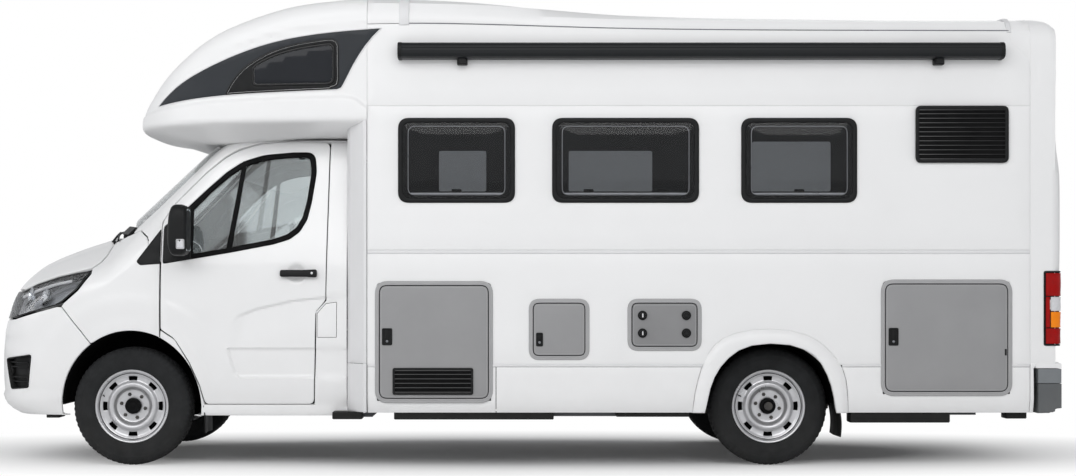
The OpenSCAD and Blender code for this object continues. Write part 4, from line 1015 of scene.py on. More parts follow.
def mirror_head(side, word):
    """Rounded shell, arm, glass and turn lamp of one door mirror."""
    body = f"{word}_cab_door"
    shell = Shape()
    verts, faces = soft_box((1.962, 1.078, 1.257), (2.091, 1.273, 1.560), 4.2, 30)
    share = (verts[:, 2] - 1.257) / 0.303
    front = np.clip((verts[:, 0] - 2.0) / 0.09, 0, 1)
    verts[:, 0] -= front * (0.020 * share**2 + 0.012 * (1 - share) ** 3)
    groove = np.exp(-(((verts[:, 0] - 1.992) / 0.004) ** 2))
    centre = np.array([2.02, 1.175, 1.41])
    verts = centre + (verts - centre) * (1 - 0.03 * groove[:, None] * [0, 1, 1])
    rear = verts[:, 0] < 1.968
    verts[rear, 0] = 1.968
    shell.add((verts, faces))
    arm = [(2.052, 0.985, 1.290), (2.054, 1.03, 1.287), (2.050, 1.08, 1.292), (2.045, 1.12, 1.31)]
    shell.add(tube(arm, [0.030, 0.026, 0.025, 0.028], 14, 1.3))
    shell.add(soft_box((2.000, 0.955, 1.245), (2.108, 1.000, 1.335), 4.0, 14))
    mesh = (np.array(shell.verts) * [1, side, 1],
            [f[:: side] for f in shell.faces])
    piece(f"{word}_mirror_shell", *mesh, BLACK, body=body, slot="black_plastic",
          replaces=[f"{word}_mirror"], sharp=50)

    def rear_plane(flat):
        place = np.stack([np.full(len(flat), 1.9684), side * flat[:, 0], flat[:, 1]], axis=1)
        return place, np.tile([-1.0, 0.0, 0.0], (len(flat), 1))

    panel(f"{word}_mirror_glass", box_outline((1.105, 1.356), (1.236, 1.532), 0.03), rear_plane,
          CHROME, thickness=0.003, edge=0.001, step=0.05, body=body, slot="rim_silver")
    panel(f"{word}_mirror_wide_glass", box_outline((1.105, 1.284), (1.236, 1.346), 0.022),
          rear_plane, CHROME, thickness=0.003, edge=0.001, step=0.05, body=body,
          slot="rim_silver")

    def outer_face(lift):
        def at(flat):
            bulge = 1.2715 - 0.25 * (flat[:, 0] - 2.028) ** 2 / 0.13
            place = np.stack([flat[:, 0], side * (bulge + lift), flat[:, 1]], axis=1)
            return place, np.tile([0.0, float(side), 0.0], (len(flat), 1))

        return at

    lamp = box_outline((1.978, 1.296), (2.026, 1.354), 0.008)
    panel(f"{word}_turn_lamp_frame", lamp, outer_face(0.0023), RIM, thickness=0.010, edge=0.002,
          holes=[shrunk(lamp, 0.005)], step=0.02, body=body, slot="rim_silver")
    panel(f"{word}_turn_lamp", shrunk(lamp, 0.0054), outer_face(0.0013), CLEAR_LAMP,
          thickness=0.008, edge=0.003, step=0.008, body=body, slot="lamp_clear")


def wing_and_pillar(side, word):
    """Front wing, fixed sail, pillar, sill, rear corner and fuel flap of one side."""
    arch = arch_line(55.1, 114.6)
    line = np.concatenate([
        trace_side([(2.1735, 0.7695), (2.1735, 1.225), (2.228, 1.300), (2.262, 1.378),
                    (2.316, 1.418)]),
        trace_side([(2.316, 1.418), (2.420, 1.386), (2.524, 1.352)])[1:],
        trace_side([(2.524, 1.352), (2.524, 1.310), (2.530, 1.265), (2.553, 1.220), (2.597, 1.186),
                    (2.595, 1.152), (2.664, 1.052), (2.750, 0.975), (2.762, 0.958),
                    (2.584, 0.735)])[1:],
        trace_side(arch)[1:],
    ])
    flat = gapped(line, WING_VIEW, 0.0015)
    panel(f"{word}_wing", flat, WING_VIEW.surface(cab_relief, side=side), PAINT, LINER,
          thickness=0.016, edge=0.004, step=0.022, fine=0.016, slot="body_paint",
          replaces=["front_wings", "cab_shell"] if side > 0 else [])
    cover = trace_side(rounded([(2.3165, 1.226, 0.015), (2.292, 1.204, 0.02),
                                (2.172, 1.2125, 0.002), (2.172, 1.425, 0.004)], 0.01),
                       closed=True)
    panel(f"{word}_fixed_sail", SIDE.flat(cover), SIDE.surface(lift=0.006, side=side), BLACK,
          thickness=0.016, edge=0.005, step=0.018, slot="black_plastic")
    edge = [(0.735, 1.43), (0.738, 1.55), (0.725, 1.68), (0.705, 1.80), (0.680, 1.90),
            (0.655, 1.955)]
    glass = []
    for y, z in edge:
        reach = SCREEN_FOOT[0] - 0.35 * y * y - (z - SCREEN_FOOT[1]) / SCREEN_SLOPE
        glass.append((reach, y, z))
    inner = CAB_TOP.cast(CAB_TOP.flat(np.array([(x, y, 0) for x, y, _ in glass])))
    outer = trace_side([(1.055, 1.968), (1.412, 1.974), (1.599, 1.955), (1.722, 1.916),
                        (1.808, 1.866), (1.920, 1.774), (2.026, 1.665), (2.100, 1.586),
                        (2.168, 1.470), (2.168, 1.222), (2.225, 1.302), (2.259, 1.381),
                        (2.314, 1.422), (2.360, 1.408)])
    cowl = trace_top([(2.375, 0.765), (2.44, 0.72)])[:1]
    roof = trace_top([(1.80, 0.55), (1.055, 0.55)])
    pillar = np.concatenate([outer, cowl, inner, roof])
    panel(f"{word}_pillar", gapped(pillar, PILLAR_VIEW, 0.0015),
          PILLAR_VIEW.surface(side=side), PAINT, LINING, thickness=0.022, edge=0.004, step=0.03,
          slot="body_paint")
    rear = [(1.050, 0.303), (1.970, 0.303)]
    door_edge = [(2.169, 0.773), (2.166, 0.8115), (2.0815, 0.7575), (1.9955, 0.615),
                 (1.9375, 0.480), (1.9080, 0.3640), (1.2445, 0.3640), (1.2335, 0.765),
                 (1.2335, 0.9245), (1.1725, 0.993), (1.1615, 1.962), (1.050, 1.962)]
    sill = np.concatenate([np.array(rear), arch_line(187.5, 115.5), door_edge])
    sill_outline = side_outline(sill)
    flap = rounded([(1.112, 0.772), (1.226, 0.772), (1.226, 0.914), (1.176, 0.972),
                    (1.112, 0.982)], 0.006)

    def sill_relief(p):
        ledge = 0.012 * smooth((0.350 - p[:, 2]) / 0.012)
        return cab_relief(p) + ledge

    panel(f"{word}_sill_and_corner", sill_outline, SIDE.surface(sill_relief, side=side), PAINT,
          LINING, holes=[side_outline(shrunk(flap, -0.0025))], thickness=0.022, edge=0.004,
          step=0.024, fine=0.014, slot="body_paint")
    panel(f"{word}_fuel_flap", side_outline(flap), SIDE.surface(cab_relief, side=side), PAINT,
          thickness=0.010, edge=0.003, step=0.02, slot="body_paint")
    seal = side_outline(shrunk(DOOR, -0.018))
    panel(f"{word}_door_aperture", seal, SIDE.surface(lift=-0.026, side=side), RUBBER,
          holes=[side_outline(shrunk(DOOR, 0.026))], thickness=0.010, edge=0.002, step=0.04,
          slot="black_plastic")


def cab_front():
    """Bonnet, bumper, windscreen, grilles, cowl, wipers and roof of the cab."""
    left = trace_side([(2.532, 1.345), (2.532, 1.312), (2.538, 1.270), (2.560, 1.228),
                       (2.604, 1.192), (2.690, 1.170), (2.815, 1.143), (2.946, 1.101),
                       (3.040, 1.058)])
    nose = trace_front([(0.72, 1.060), (0.55, 1.052), (-0.55, 1.052), (-0.72, 1.060)])
    y0 = left[0][1]
    rear = trace_top([(2.536 + 0.062 * (1 - (y / y0) ** 2), y) for y in
                      np.linspace(-y0 + 0.01, y0 - 0.01, 15)])
    ring = np.concatenate([left, nose, (left * [1, -1, 1])[::-1], rear])

    def bonnet_relief(p):
        y = np.abs(p[:, 1])
        swage = 0.010 * np.exp(-(((y - 0.44 - 0.10 * (3.2 - p[:, 0])) / 0.05) ** 2))
        return swage * smooth((3.10 - p[:, 0]) / 0.25)

    panel("bonnet_skin", gapped(ring, BONNET_VIEW, 0.002), BONNET_VIEW.surface(bonnet_relief),
          PAINT, LINER, thickness=0.018, edge=0.005, step=0.03, fine=0.018, body="bonnet",
          slot="body_paint", replaces=["bonnet"])
    half = np.concatenate([
        trace_side([(2.720, 0.305)]),
        trace_side(arch_line(-7, 55.1))[1:],
        trace_side([(2.584, 0.732), (2.762, 0.954), (2.790, 0.955), (2.914, 0.922),
                    (3.070, 0.880)])[1:],
        trace_front([(0.640, 0.868), (0.585, 0.868), (0.570, 0.95), (0.580, 1.045)]),
    ])
    top = trace_front([(0.56, 1.045), (-0.56, 1.045)])
    foot = trace_front([(-0.80, 0.305), (0.80, 0.305)])
    bumper = np.concatenate([half, top, (half * [1, -1, 1])[::-1], foot])
    grille = box_outline((-0.44, 0.885), (0.44, 0.985), 0.03)
    intake = box_outline((-0.48, 0.500), (0.48, 0.640), 0.04)
    fog = rounded([(3.150, 0.640), (2.953, 0.668), (2.976, 0.465), (3.108, 0.452)], 0.016)

    def on_nose(outline):
        points = np.stack([np.zeros(len(outline)), outline[:, 0], outline[:, 1]], axis=1)
        return NOSE_WRAP.flat(FRONT.cast(FRONT.flat(points)))

    fog_left = NOSE_WRAP.flat(trace_side(fog, closed=True))
    fog_right = fog_left * [-1, 1]
    socket = on_nose(circle((0.32, 0.460), 0.030, count=24))
    holes = [on_nose(resample(grille, 0.02)), on_nose(resample(intake, 0.02)), fog_left, fog_right,
             socket]
    panel("bumper_skin", shrunk(NOSE_WRAP.flat(bumper), 0.0015), NOSE_WRAP.surface(cab_relief),
          PAINT, LINER, holes=holes, thickness=0.020, edge=0.005, step=0.028, fine=0.014,
          slot="body_paint", replaces=["front_bumper", "front_grille"])
    dark = Shape()
    for hole, depth in ((holes[0], 0.035), (holes[1], 0.045), (fog_left, 0.040),
                        (fog_right, 0.040), (socket, 0.030)):
        dark.add(panel_mesh(shrunk(hole, -0.008), NOSE_WRAP.surface(lift=-depth), thickness=0.008,
                            edge=0.0, step=0.04))
        dark.add(panel_mesh(shrunk(hole, 0.0005), NOSE_WRAP.surface(cab_relief, lift=0.003),
                            holes=[shrunk(hole, 0.007)], thickness=0.040, edge=0.003, step=0.03))
    for z in (0.903, 0.924, 0.945, 0.966):
        dark.add(panel_mesh(on_nose(box_outline((-0.43, z - 0.0045), (0.43, z + 0.0045), 0.003)),
                            NOSE_WRAP.surface(lift=-0.006), thickness=0.014, edge=0.002, step=0.03))
    for z in (0.532, 0.560, 0.588, 0.616):
        dark.add(panel_mesh(on_nose(box_outline((-0.47, z - 0.005), (0.47, z + 0.005), 0.003)),
                            NOSE_WRAP.surface(lift=-0.008), thickness=0.016, edge=0.002, step=0.03))
    lamps = Shape()
    middle = fog_left.mean(axis=0) * [0.86, 1]
    for sign in (1, -1):
        lamps.add(panel_mesh(circle(middle * [sign, 1], 0.040, count=28),
                             NOSE_WRAP.surface(lift=-0.024), thickness=0.010, edge=0.006,
                             step=0.02))
        dark.add(panel_mesh(circle(middle * [sign, 1], 0.052, count=28),
                            NOSE_WRAP.surface(lift=-0.020), thickness=0.016, edge=0.004,
                            holes=[circle(middle * [sign, 1], 0.041, count=28)], step=0.02))
        for z in (0.500, 0.528, 0.590, 0.618):
            a, b = fog_left[:, 0].min() + 0.012, fog_left[:, 0].max() - 0.030
            bar = box_outline((a, z - 0.004), (b, z + 0.004), 0.002) * [sign, 1]
            dark.add(panel_mesh(bar, NOSE_WRAP.surface(lift=-0.022), thickness=0.012,
                                edge=0.002, step=0.02))
    dark.make("front_grilles", BLACK, slot="black_plastic")
    lamps.make("fog_lamps", CLEAR_LAMP, slot="lamp_clear")
    screen_edge = []
    for y, z in [(0.728, 1.43), (0.731, 1.55), (0.718, 1.68), (0.698, 1.80), (0.673, 1.90),
                 (0.648, 1.955)]:
        x = SCREEN_FOOT[0] - 0.35 * y * y - (z - SCREEN_FOOT[1]) / SCREEN_SLOPE
        screen_edge.append((x, y, 0))
    edge = CAB_TOP.cast(CAB_TOP.flat(np.array(screen_edge)))
    outline = np.concatenate([edge, (edge * [1, -1, 1])[::-1]])
    flat = shrunk(SCREEN_VIEW.flat(outline), 0.002)
    panel("windscreen_pane", flat, SCREEN_VIEW.surface(lift=-0.003), GLASS, thickness=0.006,
          edge=0.0, step=0.05, slot="cab_glass", replaces=["windscreen"])
    panel("windscreen_band", flat, SCREEN_VIEW.surface(lift=-0.0105), GLOSS_BLACK,
          holes=[shrunk(flat, 0.045)], thickness=0.006, edge=0.0, step=0.06, slot="black_plastic")
    cowl = Shape()
    rows = []
    for y in np.linspace(-0.70, 0.70, 29):
        rows.append((2.567 - 0.30 * y * y, y))
    front = np.array(rows)
    back = front[::-1] - [0.050, 0]
    ring = np.concatenate([front, back])
    flat_cowl = CAB_TOP.flat(np.stack([ring[:, 0], ring[:, 1], ring[:, 0] * 0], axis=1))
    cowl.add(panel_mesh(flat_cowl, CAB_TOP.surface(lift=0.004), thickness=0.02, edge=0.004,
                        step=0.03))
    for y0, y1 in ((0.62, 0.02), (0.02, -0.58)):
        ys = np.linspace(y0, y1, 12)
        xs = 2.562 - 0.16 * ys * ys
        at = CAB_TOP.cast(CAB_TOP.flat(np.stack([xs, ys, xs * 0], axis=1)))
        at[:, 2] += 0.010
        cowl.add(tube(at, 0.006, 8))
        start = at[1] + [0.035, -0.03, -0.012]
        cowl.add(tube([start, (start + at[5]) / 2 + [0, 0, 0.006], at[5] + [0, 0, 0.006]], 0.007,
                      8))
        cowl.add(revolved_post(start + [0, 0, -0.03], 0.014, 0.030))
    cowl.make("cowl_and_wipers", BLACK, slot="black_plastic")
    roof = [(1.050, -0.56), (1.050, 0.56), (1.80, 0.56), (1.90, 0.50), (1.955, 0.3), (1.965, 0),
            (1.955, -0.3), (1.90, -0.50), (1.80, -0.56)]
    roof = np.array(roof)
    flat_roof = CAB_TOP.flat(np.stack([roof[:, 0], roof[:, 1], roof[:, 0] * 0], axis=1))
    panel("cab_roof_panel", flat_roof, CAB_TOP.surface(), PAINT, LINING, thickness=0.02,
          edge=0.003, step=0.08, slot="body_paint")


def revolved_post(foot, radius, height):
    """A short vertical post with a domed top."""
    ring = [(radius, 0), (radius, height * 0.7), (radius * 0.8, height * 0.92), (0.001, height)]
    steps = 16
    verts, faces = [tuple(foot)], []
    for r, h in ring:
        for k in range(steps):
            a = 2 * math.pi * k / steps
            verts.append((foot[0] + r * math.cos(a), foot[1] + r * math.sin(a), foot[2] + h))
    for k in range(steps):
        m = (k + 1) % steps
        faces.append([0, 1 + m, 1 + k])
        for i in range(len(ring) - 1):
            a = 1 + i * steps
            faces.append([a + k, a + m, a + steps + m, a + steps + k])
    last = 1 + (len(ring) - 1) * steps
    faces.append([last + k for k in range(steps)])
    return outward(verts, faces)


def headlamp(side, word):
    """Lens, dark housing, reflectors and light guide of one headlamp."""
    line = np.concatenate([
        trace_side(LAMP_SIDE),
        trace_front([(0.66, 1.046), (0.600, 1.040), (0.588, 0.95), (0.600, 0.880), (0.65, 0.880)]),
    ])
    flat = ordered(LAMP_VIEW.flat(line))
    flat = rounded([tuple(p) for p in resample(flat, 0.03)], 0.006, 2)
    lens = shrunk(flat, 0.003)
    panel(f"{word}_headlamp_lens", lens, LAMP_VIEW.surface(lift=-0.001, side=side), LENS,
          thickness=0.004, edge=0.002, step=0.03, slot="lamp_clear",
          replaces=["headlamps"] if side > 0 else [])
    housing = Shape()
    housing.add(panel_mesh(shrunk(flat, 0.0015), LAMP_VIEW.surface(lift=-0.0005, side=side),
                           holes=[shrunk(flat, 0.0095)], thickness=0.085, edge=0.002, step=0.03))
    housing.make(f"{word}_headlamp_seal", GLOSS_BLACK, slot="black_plastic")
    panel(f"{word}_headlamp_bezel", shrunk(flat, 0.006), LAMP_VIEW.surface(lift=-0.055, side=side),
          BEZEL, thickness=0.01, edge=0.0, step=0.04, slot="lamp_clear")
    low, high = lens.min(axis=0), lens.max(axis=0)

    def spot(share_u, share_v):
        return low + (high - low) * [share_u, share_v]

    bowls = Shape()
    for share, radius in (((0.44, 0.42), 0.062), ((0.66, 0.42), 0.052)):
        centre = LAMP_VIEW.cast(spot(*share)[None])[0]
        normal = slope(cab_field, centre[None])[0]
        bowls.add(bowl(centre * [1, side, 1], normal * [1, side, 1], radius))
    bowls.make(f"{word}_headlamp_reflectors", CHROME, slot="rim_silver", sharp=50)
    guide_points = trace_side([(2.720, 1.125), (2.830, 1.105), (2.940, 1.068), (3.05, 1.025)])
    normal = slope(cab_field, guide_points)
    guide = (guide_points - normal * 0.022) * [1, side, 1]
    piece(f"{word}_light_guide", *tube(guide, 0.009, 10), CLEAR_LAMP, slot="lamp_clear")


def bowl(centre, normal, radius):
    """A reflector bowl with a bulb cap, opening along the normal."""
    normal = normal / np.linalg.norm(normal)
    forward = np.array([1.0, 0.0, 0.0])
    forward = 0.6 * forward + 0.4 * normal
    forward /= np.linalg.norm(forward)
    u = np.cross(forward, [0, 0, 1.0])
    u /= np.linalg.norm(u)
    v = np.cross(u, forward)
    origin = centre - normal * 0.018 - forward * 0.012
    profile = [(0.0, radius), (-0.010, radius * 0.95), (-0.028, radius * 0.62),
               (-0.034, radius * 0.3), (-0.018, radius * 0.28), (-0.014, radius * 0.1),
               (-0.016, 0.001), (-0.040, 0.001), (-0.040, radius * 0.7), (-0.012, radius * 1.04),
               (0.002, radius * 1.04)]
    steps = 36
    verts, faces = [], []
    for k in range(steps):
        a = 2 * math.pi * k / steps
        ray = u * math.cos(a) + v * math.sin(a)
        verts.extend(origin + forward * d + ray * r for d, r in profile)
    n = len(profile)
    for k in range(steps):
        m = (k + 1) % steps
        for i in range(n):
            j = (i + 1) % n
            faces.append([k * n + i, k * n + j, m * n + j, m * n + i])
    return outward(verts, faces)


for side, word in ((1, "left"), (-1, "right")):
    cab_door(side, word)
    mirror_head(side, word)
    wing_and_pillar(side, word)
    headlamp(side, word)
cab_front()

# ---------- Overcab pod ----------

POD_CENTRE = (1.30, 2.06)
POD_OUTLINE = spline(
    [(-12.0, 1.142), (-4.0, 1.130), (0.0, 1.124), (2.7, 1.114), (6.1, 1.066), (9.3, 1.010),
     (13.0, 0.962), (18.0, 0.910), (23.5, 0.862), (29.4, 0.818), (35.5, 0.784), (41.6, 0.754),
     (48.0, 0.728), (54.3, 0.706), (60.8, 0.690), (67.3, 0.681), (80.4, 0.683), (92.7, 0.703),
     (103.9, 0.741), (113.0, 0.793), (117.8, 0.826), (123.0, 0.869)]
)
POD_TURN_X, POD_REACH, POD_SQUARE = 1.50, 0.905, 2.8
HALF_BODY = 1.1335
LIP = 0.013


def pod_wrap(p):
    """Distance-like measure from the pod's curved front and sides."""
    ahead = np.maximum(p[:, 0] - POD_TURN_X, 0) / POD_REACH
    across = np.abs(p[:, 1]) / HALF_BODY
    return ((ahead**POD_SQUARE + across**POD_SQUARE) ** (1 / POD_SQUARE) - 1) * 1.05


def pod_foot(x, y):
    """Height of the pod's underside, which bulges down over the cab's roof."""
    y = np.abs(y)
    edge = 2.052 - 0.016 * smooth((x - 1.1) / 1.2)
    inner = 1.952 + 0.055 * smooth((x - 1.95) / 0.40) + 0.03 * smooth((1.75 - x) / 0.5)
    t = np.clip(1 - (-pod_wrap(np.stack([x, y, x * 0], axis=1))) / 0.34, 0, 1)
    return inner + (edge - inner) * t**1.3


def pod_field(p):
    """Negative inside the pod."""
    x, y, z = p[:, 0], np.abs(p[:, 1]), p[:, 2]
    side = pod_wrap(p)
    dx, dz = x - POD_CENTRE[0], z - POD_CENTRE[1]
    angle = np.degrees(np.arctan2(dz, dx))
    crown = 0.034 * (1 - (y / HALF_BODY) ** 2)
    top = np.hypot(dx, dz - crown * smooth(dz / 0.3)) - POD_OUTLINE(angle)
    below = smooth((lip_line(x) - z) / 0.012)
    side = side - LIP * below
    upper = blend_max(side, top, 0.12)
    return blend_max(upper, (pod_foot(x, y) - z) * 0.9, 0.035)


LIP_LINE = spline([(0.915, 2.142), (0.945, 2.162), (0.985, 2.192), (1.02, 2.203), (1.10, 2.206),
                   (1.40, 2.198), (1.75, 2.184), (2.00, 2.168), (2.18, 2.150), (2.30, 2.134),
                   (2.42, 2.122)])


def lip_line(x):
    """Height of the step above the lip that runs round the pod."""
    return LIP_LINE(x)


MOULDING = spline([(0.80, 2.6325), (0.95, 2.628), (1.10, 2.616), (1.30, 2.588), (1.50, 2.548),
                   (1.66, 2.502), (1.775, 2.452), (1.90, 2.385)])


def pod_relief(p):
    """The double moulding line above the side trim."""
    line = np.array([(x, MOULDING(x)) for x in np.linspace(1.80, 0.86, 30)])
    d = np.abs(distance_to(p[:, [0, 2]], line))
    ends = smooth((1.83 - p[:, 0]) / 0.2) * smooth((np.abs(p[:, 1]) - 0.9) / 0.05)
    groove = np.exp(-((d / 0.006) ** 2)) - 0.6 * np.exp(-(((d - 0.016) / 0.008) ** 2))
    return -0.006 * groove * ends


POD_SIDE = Look(pod_field, (0, 1, 0), (0, 0, 1), far=1.3, near=0.2)
POD_TRIM_VIEW = Look(pod_field, (0.25, 0.97, 0.1), (0, 0, 1), far=2.6, near=0.0)


def trace_pod(points, step=0.02, closed=True):
    """Side-view points on the pod's left side."""
    line = resample(np.array(points), step, closed)
    return POD_SIDE.cast(POD_SIDE.flat(np.stack([line[:, 0], line[:, 0] * 0, line[:, 1]], axis=1)))


POD_BACK = 0.9185


def build_pod():
    """Outer shell by casting to each side from a centre line, then welded to a flat back."""
    n_around, n_along = 340, 170
    # Rings about the X axis whose centres run along the pod; the last ring closes on the nose.
    share = np.linspace(0, 1, n_along)
    base_x = POD_BACK + (2.02 - POD_BACK) * np.minimum(share / 0.62, 1)
    lean = np.maximum(share - 0.62, 0) / 0.38 * (math.pi / 2)
    angles = np.linspace(0, 2 * math.pi, n_around, endpoint=False)
    sharpened = angles - 0.20 * np.sin(2 * angles)
    verts = []
    for x0, tip in zip(base_x, lean):
        centre = np.array([x0, 0.0, 2.20 - 0.10 * (x0 - POD_BACK)])
        ring = np.stack([np.zeros(n_around), np.cos(sharpened), np.sin(sharpened)], axis=1)
        ray = ring * math.cos(tip) + np.array([1.0, 0, 0]) * math.sin(tip)
        low, high = np.zeros(n_around), np.full(n_around, 1.6)
        for _ in range(32):
            middle = (low + high) / 2
            within = pod_field(centre + ray * middle[:, None]) < 0
            low, high = np.where(within, middle, low), np.where(within, high, middle)
        verts.append(centre + ray * low[:, None])
    outer = np.concatenate(verts[:-1] + [verts[-1][:1]])
    normal = slope(pod_field, outer)
    outer = outer + normal * pod_relief(outer)[:, None]
    faces = []
    for i in range(n_along - 2):
        for k in range(n_around):
            m = (k + 1) % n_around
            a = i * n_around
            faces.append([a + k, a + m, a + n_around + m, a + n_around + k])
    last = (n_along - 2) * n_around
    tip = len(outer) - 1
    faces.extend([last + k, last + (k + 1) % n_around, tip] for k in range(n_around))
    back = list(range(n_around))
    faces.append(back)
    verts, faces = outward(outer, faces)
    return piece("overcab_shell", verts, faces, COACH, slot="coach_white",
                 replaces=["overcab"], sharp=50)


TRIM_TOP = spline([(0.838, 2.606), (1.172, 2.577), (1.490, 2.518), (1.775, 2.416), (1.93, 2.345),
                   (2.060, 2.272), (2.150, 2.203), (2.192, 2.166)])
TRIM_FOOT = spline([(1.096, 2.246), (1.446, 2.230), (1.759, 2.212), (2.00, 2.190), (2.192, 2.166)])
TRIM_REAR = [(0.855, 2.590), (0.885, 2.560), (0.930, 2.505), (0.970, 2.445), (1.005, 2.385),
             (1.035, 2.325), (1.060, 2.276), (1.072, 2.256)]
FRAME_TOP = spline([(1.139, 2.548), (1.336, 2.517), (1.490, 2.469), (1.600, 2.408),
                    (1.700, 2.318), (1.745, 2.248), (1.762, 2.214)])


def from_spline(curve, start, stop, count):
    """Points of a spline, read from start to stop."""
    return [(x, float(curve(x))) for x in np.linspace(start, stop, count)]


TRIM_LINE = (from_spline(TRIM_TOP, 2.192, 0.838, 50) + TRIM_REAR
             + from_spline(TRIM_FOOT, 1.096, 2.185, 40))
POD_FRAME = (from_spline(FRAME_TOP, 1.757, 1.160, 40)
             + [(1.122, 2.545), (1.096, 2.532), (1.085, 2.505), (1.083, 2.300), (1.090, 2.272),
                (1.104, 2.259), (1.125, 2.255)]
             + from_spline(TRIM_FOOT, 1.14, 1.757, 30))
POD_PANE = ([(1.588, 2.290), (1.588, 2.366), (1.580, 2.376)]
            + [(x, float(FRAME_TOP(x)) - 0.040) for x in np.linspace(1.566, 1.160, 24)]
            + [(1.138, 2.506), (1.126, 2.494), (1.122, 2.470), (1.122, 2.318), (1.127, 2.298),
               (1.142, 2.287), (1.170, 2.284), (1.570, 2.277), (1.583, 2.281)])


def pod_sides(side, word):
    """Dark trim, window frame and window of one side of the pod; the pane is opaque, its dark
    colour the acrylic's tint with painted shade of the room behind.
    """
    trim = POD_TRIM_VIEW.flat(trace_pod(TRIM_LINE))
    frame = POD_TRIM_VIEW.flat(trace_pod(POD_FRAME))
    pane = POD_TRIM_VIEW.flat(trace_pod(POD_PANE))
    glazed = shrunk(frame, 0.0095)
    rim = shrunk(trim, -0.006)
    panel(f"{word}_pod_trim", trim, POD_TRIM_VIEW.surface(lift=0.0035, side=side), TRIM,
          holes=[glazed], thickness=0.016, edge=0.003, step=0.022, slot="hatch_grey")
    panel(f"{word}_pod_trim_edge", rim, POD_TRIM_VIEW.surface(lift=0.0055, side=side), MOULDED,
          holes=[shrunk(trim, -0.0005)], thickness=0.016, edge=0.002, step=0.022,
          slot="coach_white")
    ring = Shape()
    ring.add(panel_mesh(frame, POD_TRIM_VIEW.surface(lift=0.007, side=side),
                        holes=[shrunk(frame, 0.009)], thickness=0.004, edge=0.003, step=0.02))
    ring.add(panel_mesh(shrunk(pane, -0.013), POD_TRIM_VIEW.surface(lift=0.0065, side=side),
                        holes=[shrunk(pane, 0.001)], thickness=0.018, edge=0.004, step=0.02))
    ring.make(f"{word}_pod_window_frame", GLOSS_BLACK, slot="black_plastic")
    panel(f"{word}_pod_window_surround", shrunk(frame, 0.0105),
          POD_TRIM_VIEW.surface(lift=0.001, side=side), BLACK, holes=[shrunk(pane, -0.0125)],
          thickness=0.012, edge=0.002, step=0.022, slot="black_plastic")
    # The pane is opaque: its dark colour is partly the acrylic's tint and partly painted shade of
    # the room behind.
    panel(f"{word}_pod_pane", shrunk(pane, 0.0015), POD_TRIM_VIEW.surface(lift=0.002, side=side),
          TINT_AND_SHADE_PANE, thickness=0.008, edge=0.002, step=0.04, slot="tinted_glass")


build_pod()
pod_sides(1, "left")
pod_sides(-1, "right")

# ---------- Living body ----------

SKIN_Y = 1.1335
FRONT_X, REAR_X = 0.9165, -3.012
SEAM_Z, RIDGE_TOP, RIDGE_FOOT, LEDGE_TOP, LEDGE_FOOT = 2.147, 1.293, 1.270, 0.617, 0.599
BEND_Z, FOOT_Z = 0.400, 0.326
REAR_AXLE = np.array([-1.485, AXLE_Z])
EAVE = spline([(-3.2, 2.594), (-2.9, 2.595), (-1.3, 2.600), (-0.46, 2.612), (0.30, 2.634),
               (0.67, 2.638), (0.92, 2.634)])
ROOF_TOP = spline([(-3.2, 2.668), (-2.02, 2.668), (-1.54, 2.674), (-1.06, 2.680), (-0.82, 2.686),
                   (-0.59, 2.694), (-0.35, 2.711), (-0.11, 2.735), (0.13, 2.759), (0.61, 2.786),
                   (0.92, 2.7905)])
GAS = ((0.171, 0.386), (0.871, 1.109))
SERVICE = ((-0.401, 0.640), (-0.041, 1.004))
GARAGE = ((-2.907, 0.427), (-2.128, 1.118))
KNOBS = ((-1.066, 0.694), (-0.626, 1.004))
VENT = ((-2.884, 1.809), (-2.332, 2.147))
WINDOWS = (((0.040, 1.572), (0.734, 2.076)), ((-1.051, 1.572), (-0.179, 2.076)),
           ((-1.988, 1.572), (-1.300, 2.076)))
ENTRANCE = ((0.200, 0.430), (0.840, 2.330))


def opening(corners, margin, radius=0.02):
    """A rounded rectangle inside two corners by a margin."""
    (x0, z0), (x1, z1) = corners
    return box_outline((x0 + margin, z0 + margin), (x1 - margin, z1 - margin), radius)


def arch_shape(inner):
    """Outline of the rear arch's moulding, or of its opening."""
    if inner:
        points = [(-1.0840, 0.300), (-1.0900, 0.350), (-1.1010, 0.4035), (-1.1160, 0.470),
                  (-1.1420, 0.540), (-1.1780, 0.600), (-1.2250, 0.653), (-1.2840, 0.697),
                  (-1.3600, 0.726), (-1.4720, 0.738), (-1.5900, 0.729), (-1.6780, 0.701),
                  (-1.7300, 0.668), (-1.7750, 0.618), (-1.8100, 0.552), (-1.8330, 0.490),
                  (-1.8480, 0.425), (-1.8600, 0.350), (-1.8660, 0.300)]
    else:
        points = [(-1.0140, 0.300), (-1.0200, 0.380), (-1.0270, 0.440), (-1.0400, 0.500),
                  (-1.0560, 0.558), (-1.0740, 0.612), (-1.1030, 0.676), (-1.1430, 0.730),
                  (-1.1950, 0.770), (-1.2600, 0.798), (-1.3600, 0.819), (-1.4720, 0.825),
                  (-1.5900, 0.818), (-1.6900, 0.790), (-1.7420, 0.765), (-1.7880, 0.733),
                  (-1.8300, 0.693), (-1.8700, 0.645), (-1.9020, 0.590), (-1.9220, 0.525),
                  (-1.9310, 0.450), (-1.9350, 0.380), (-1.9370, 0.300)]
    return np.array(points)


def arch_edge(front, low, high, count=12):
    """Points up the front or rear edge of the arch moulding between two heights."""
    shape = arch_shape(False)
    half = shape[shape[:, 0] > REAR_AXLE[0]] if front else shape[shape[:, 0] <= REAR_AXLE[0]]
    half = half[np.argsort(half[:, 1])]
    z = np.linspace(low, high, count)
    return [(float(np.interp(v, half[:, 1], half[:, 0])), v) for v in z]


def bottomed(outline, foot):
    """The outline cut off level at its foot."""
    line = np.array(outline)
    line[:, 1] = np.maximum(line[:, 1], foot)
    keep = [0]
    for i in range(1, len(line)):
        if np.linalg.norm(line[i] - line[keep[-1]]) > 1e-4:
            keep.append(i)
    return line[keep]


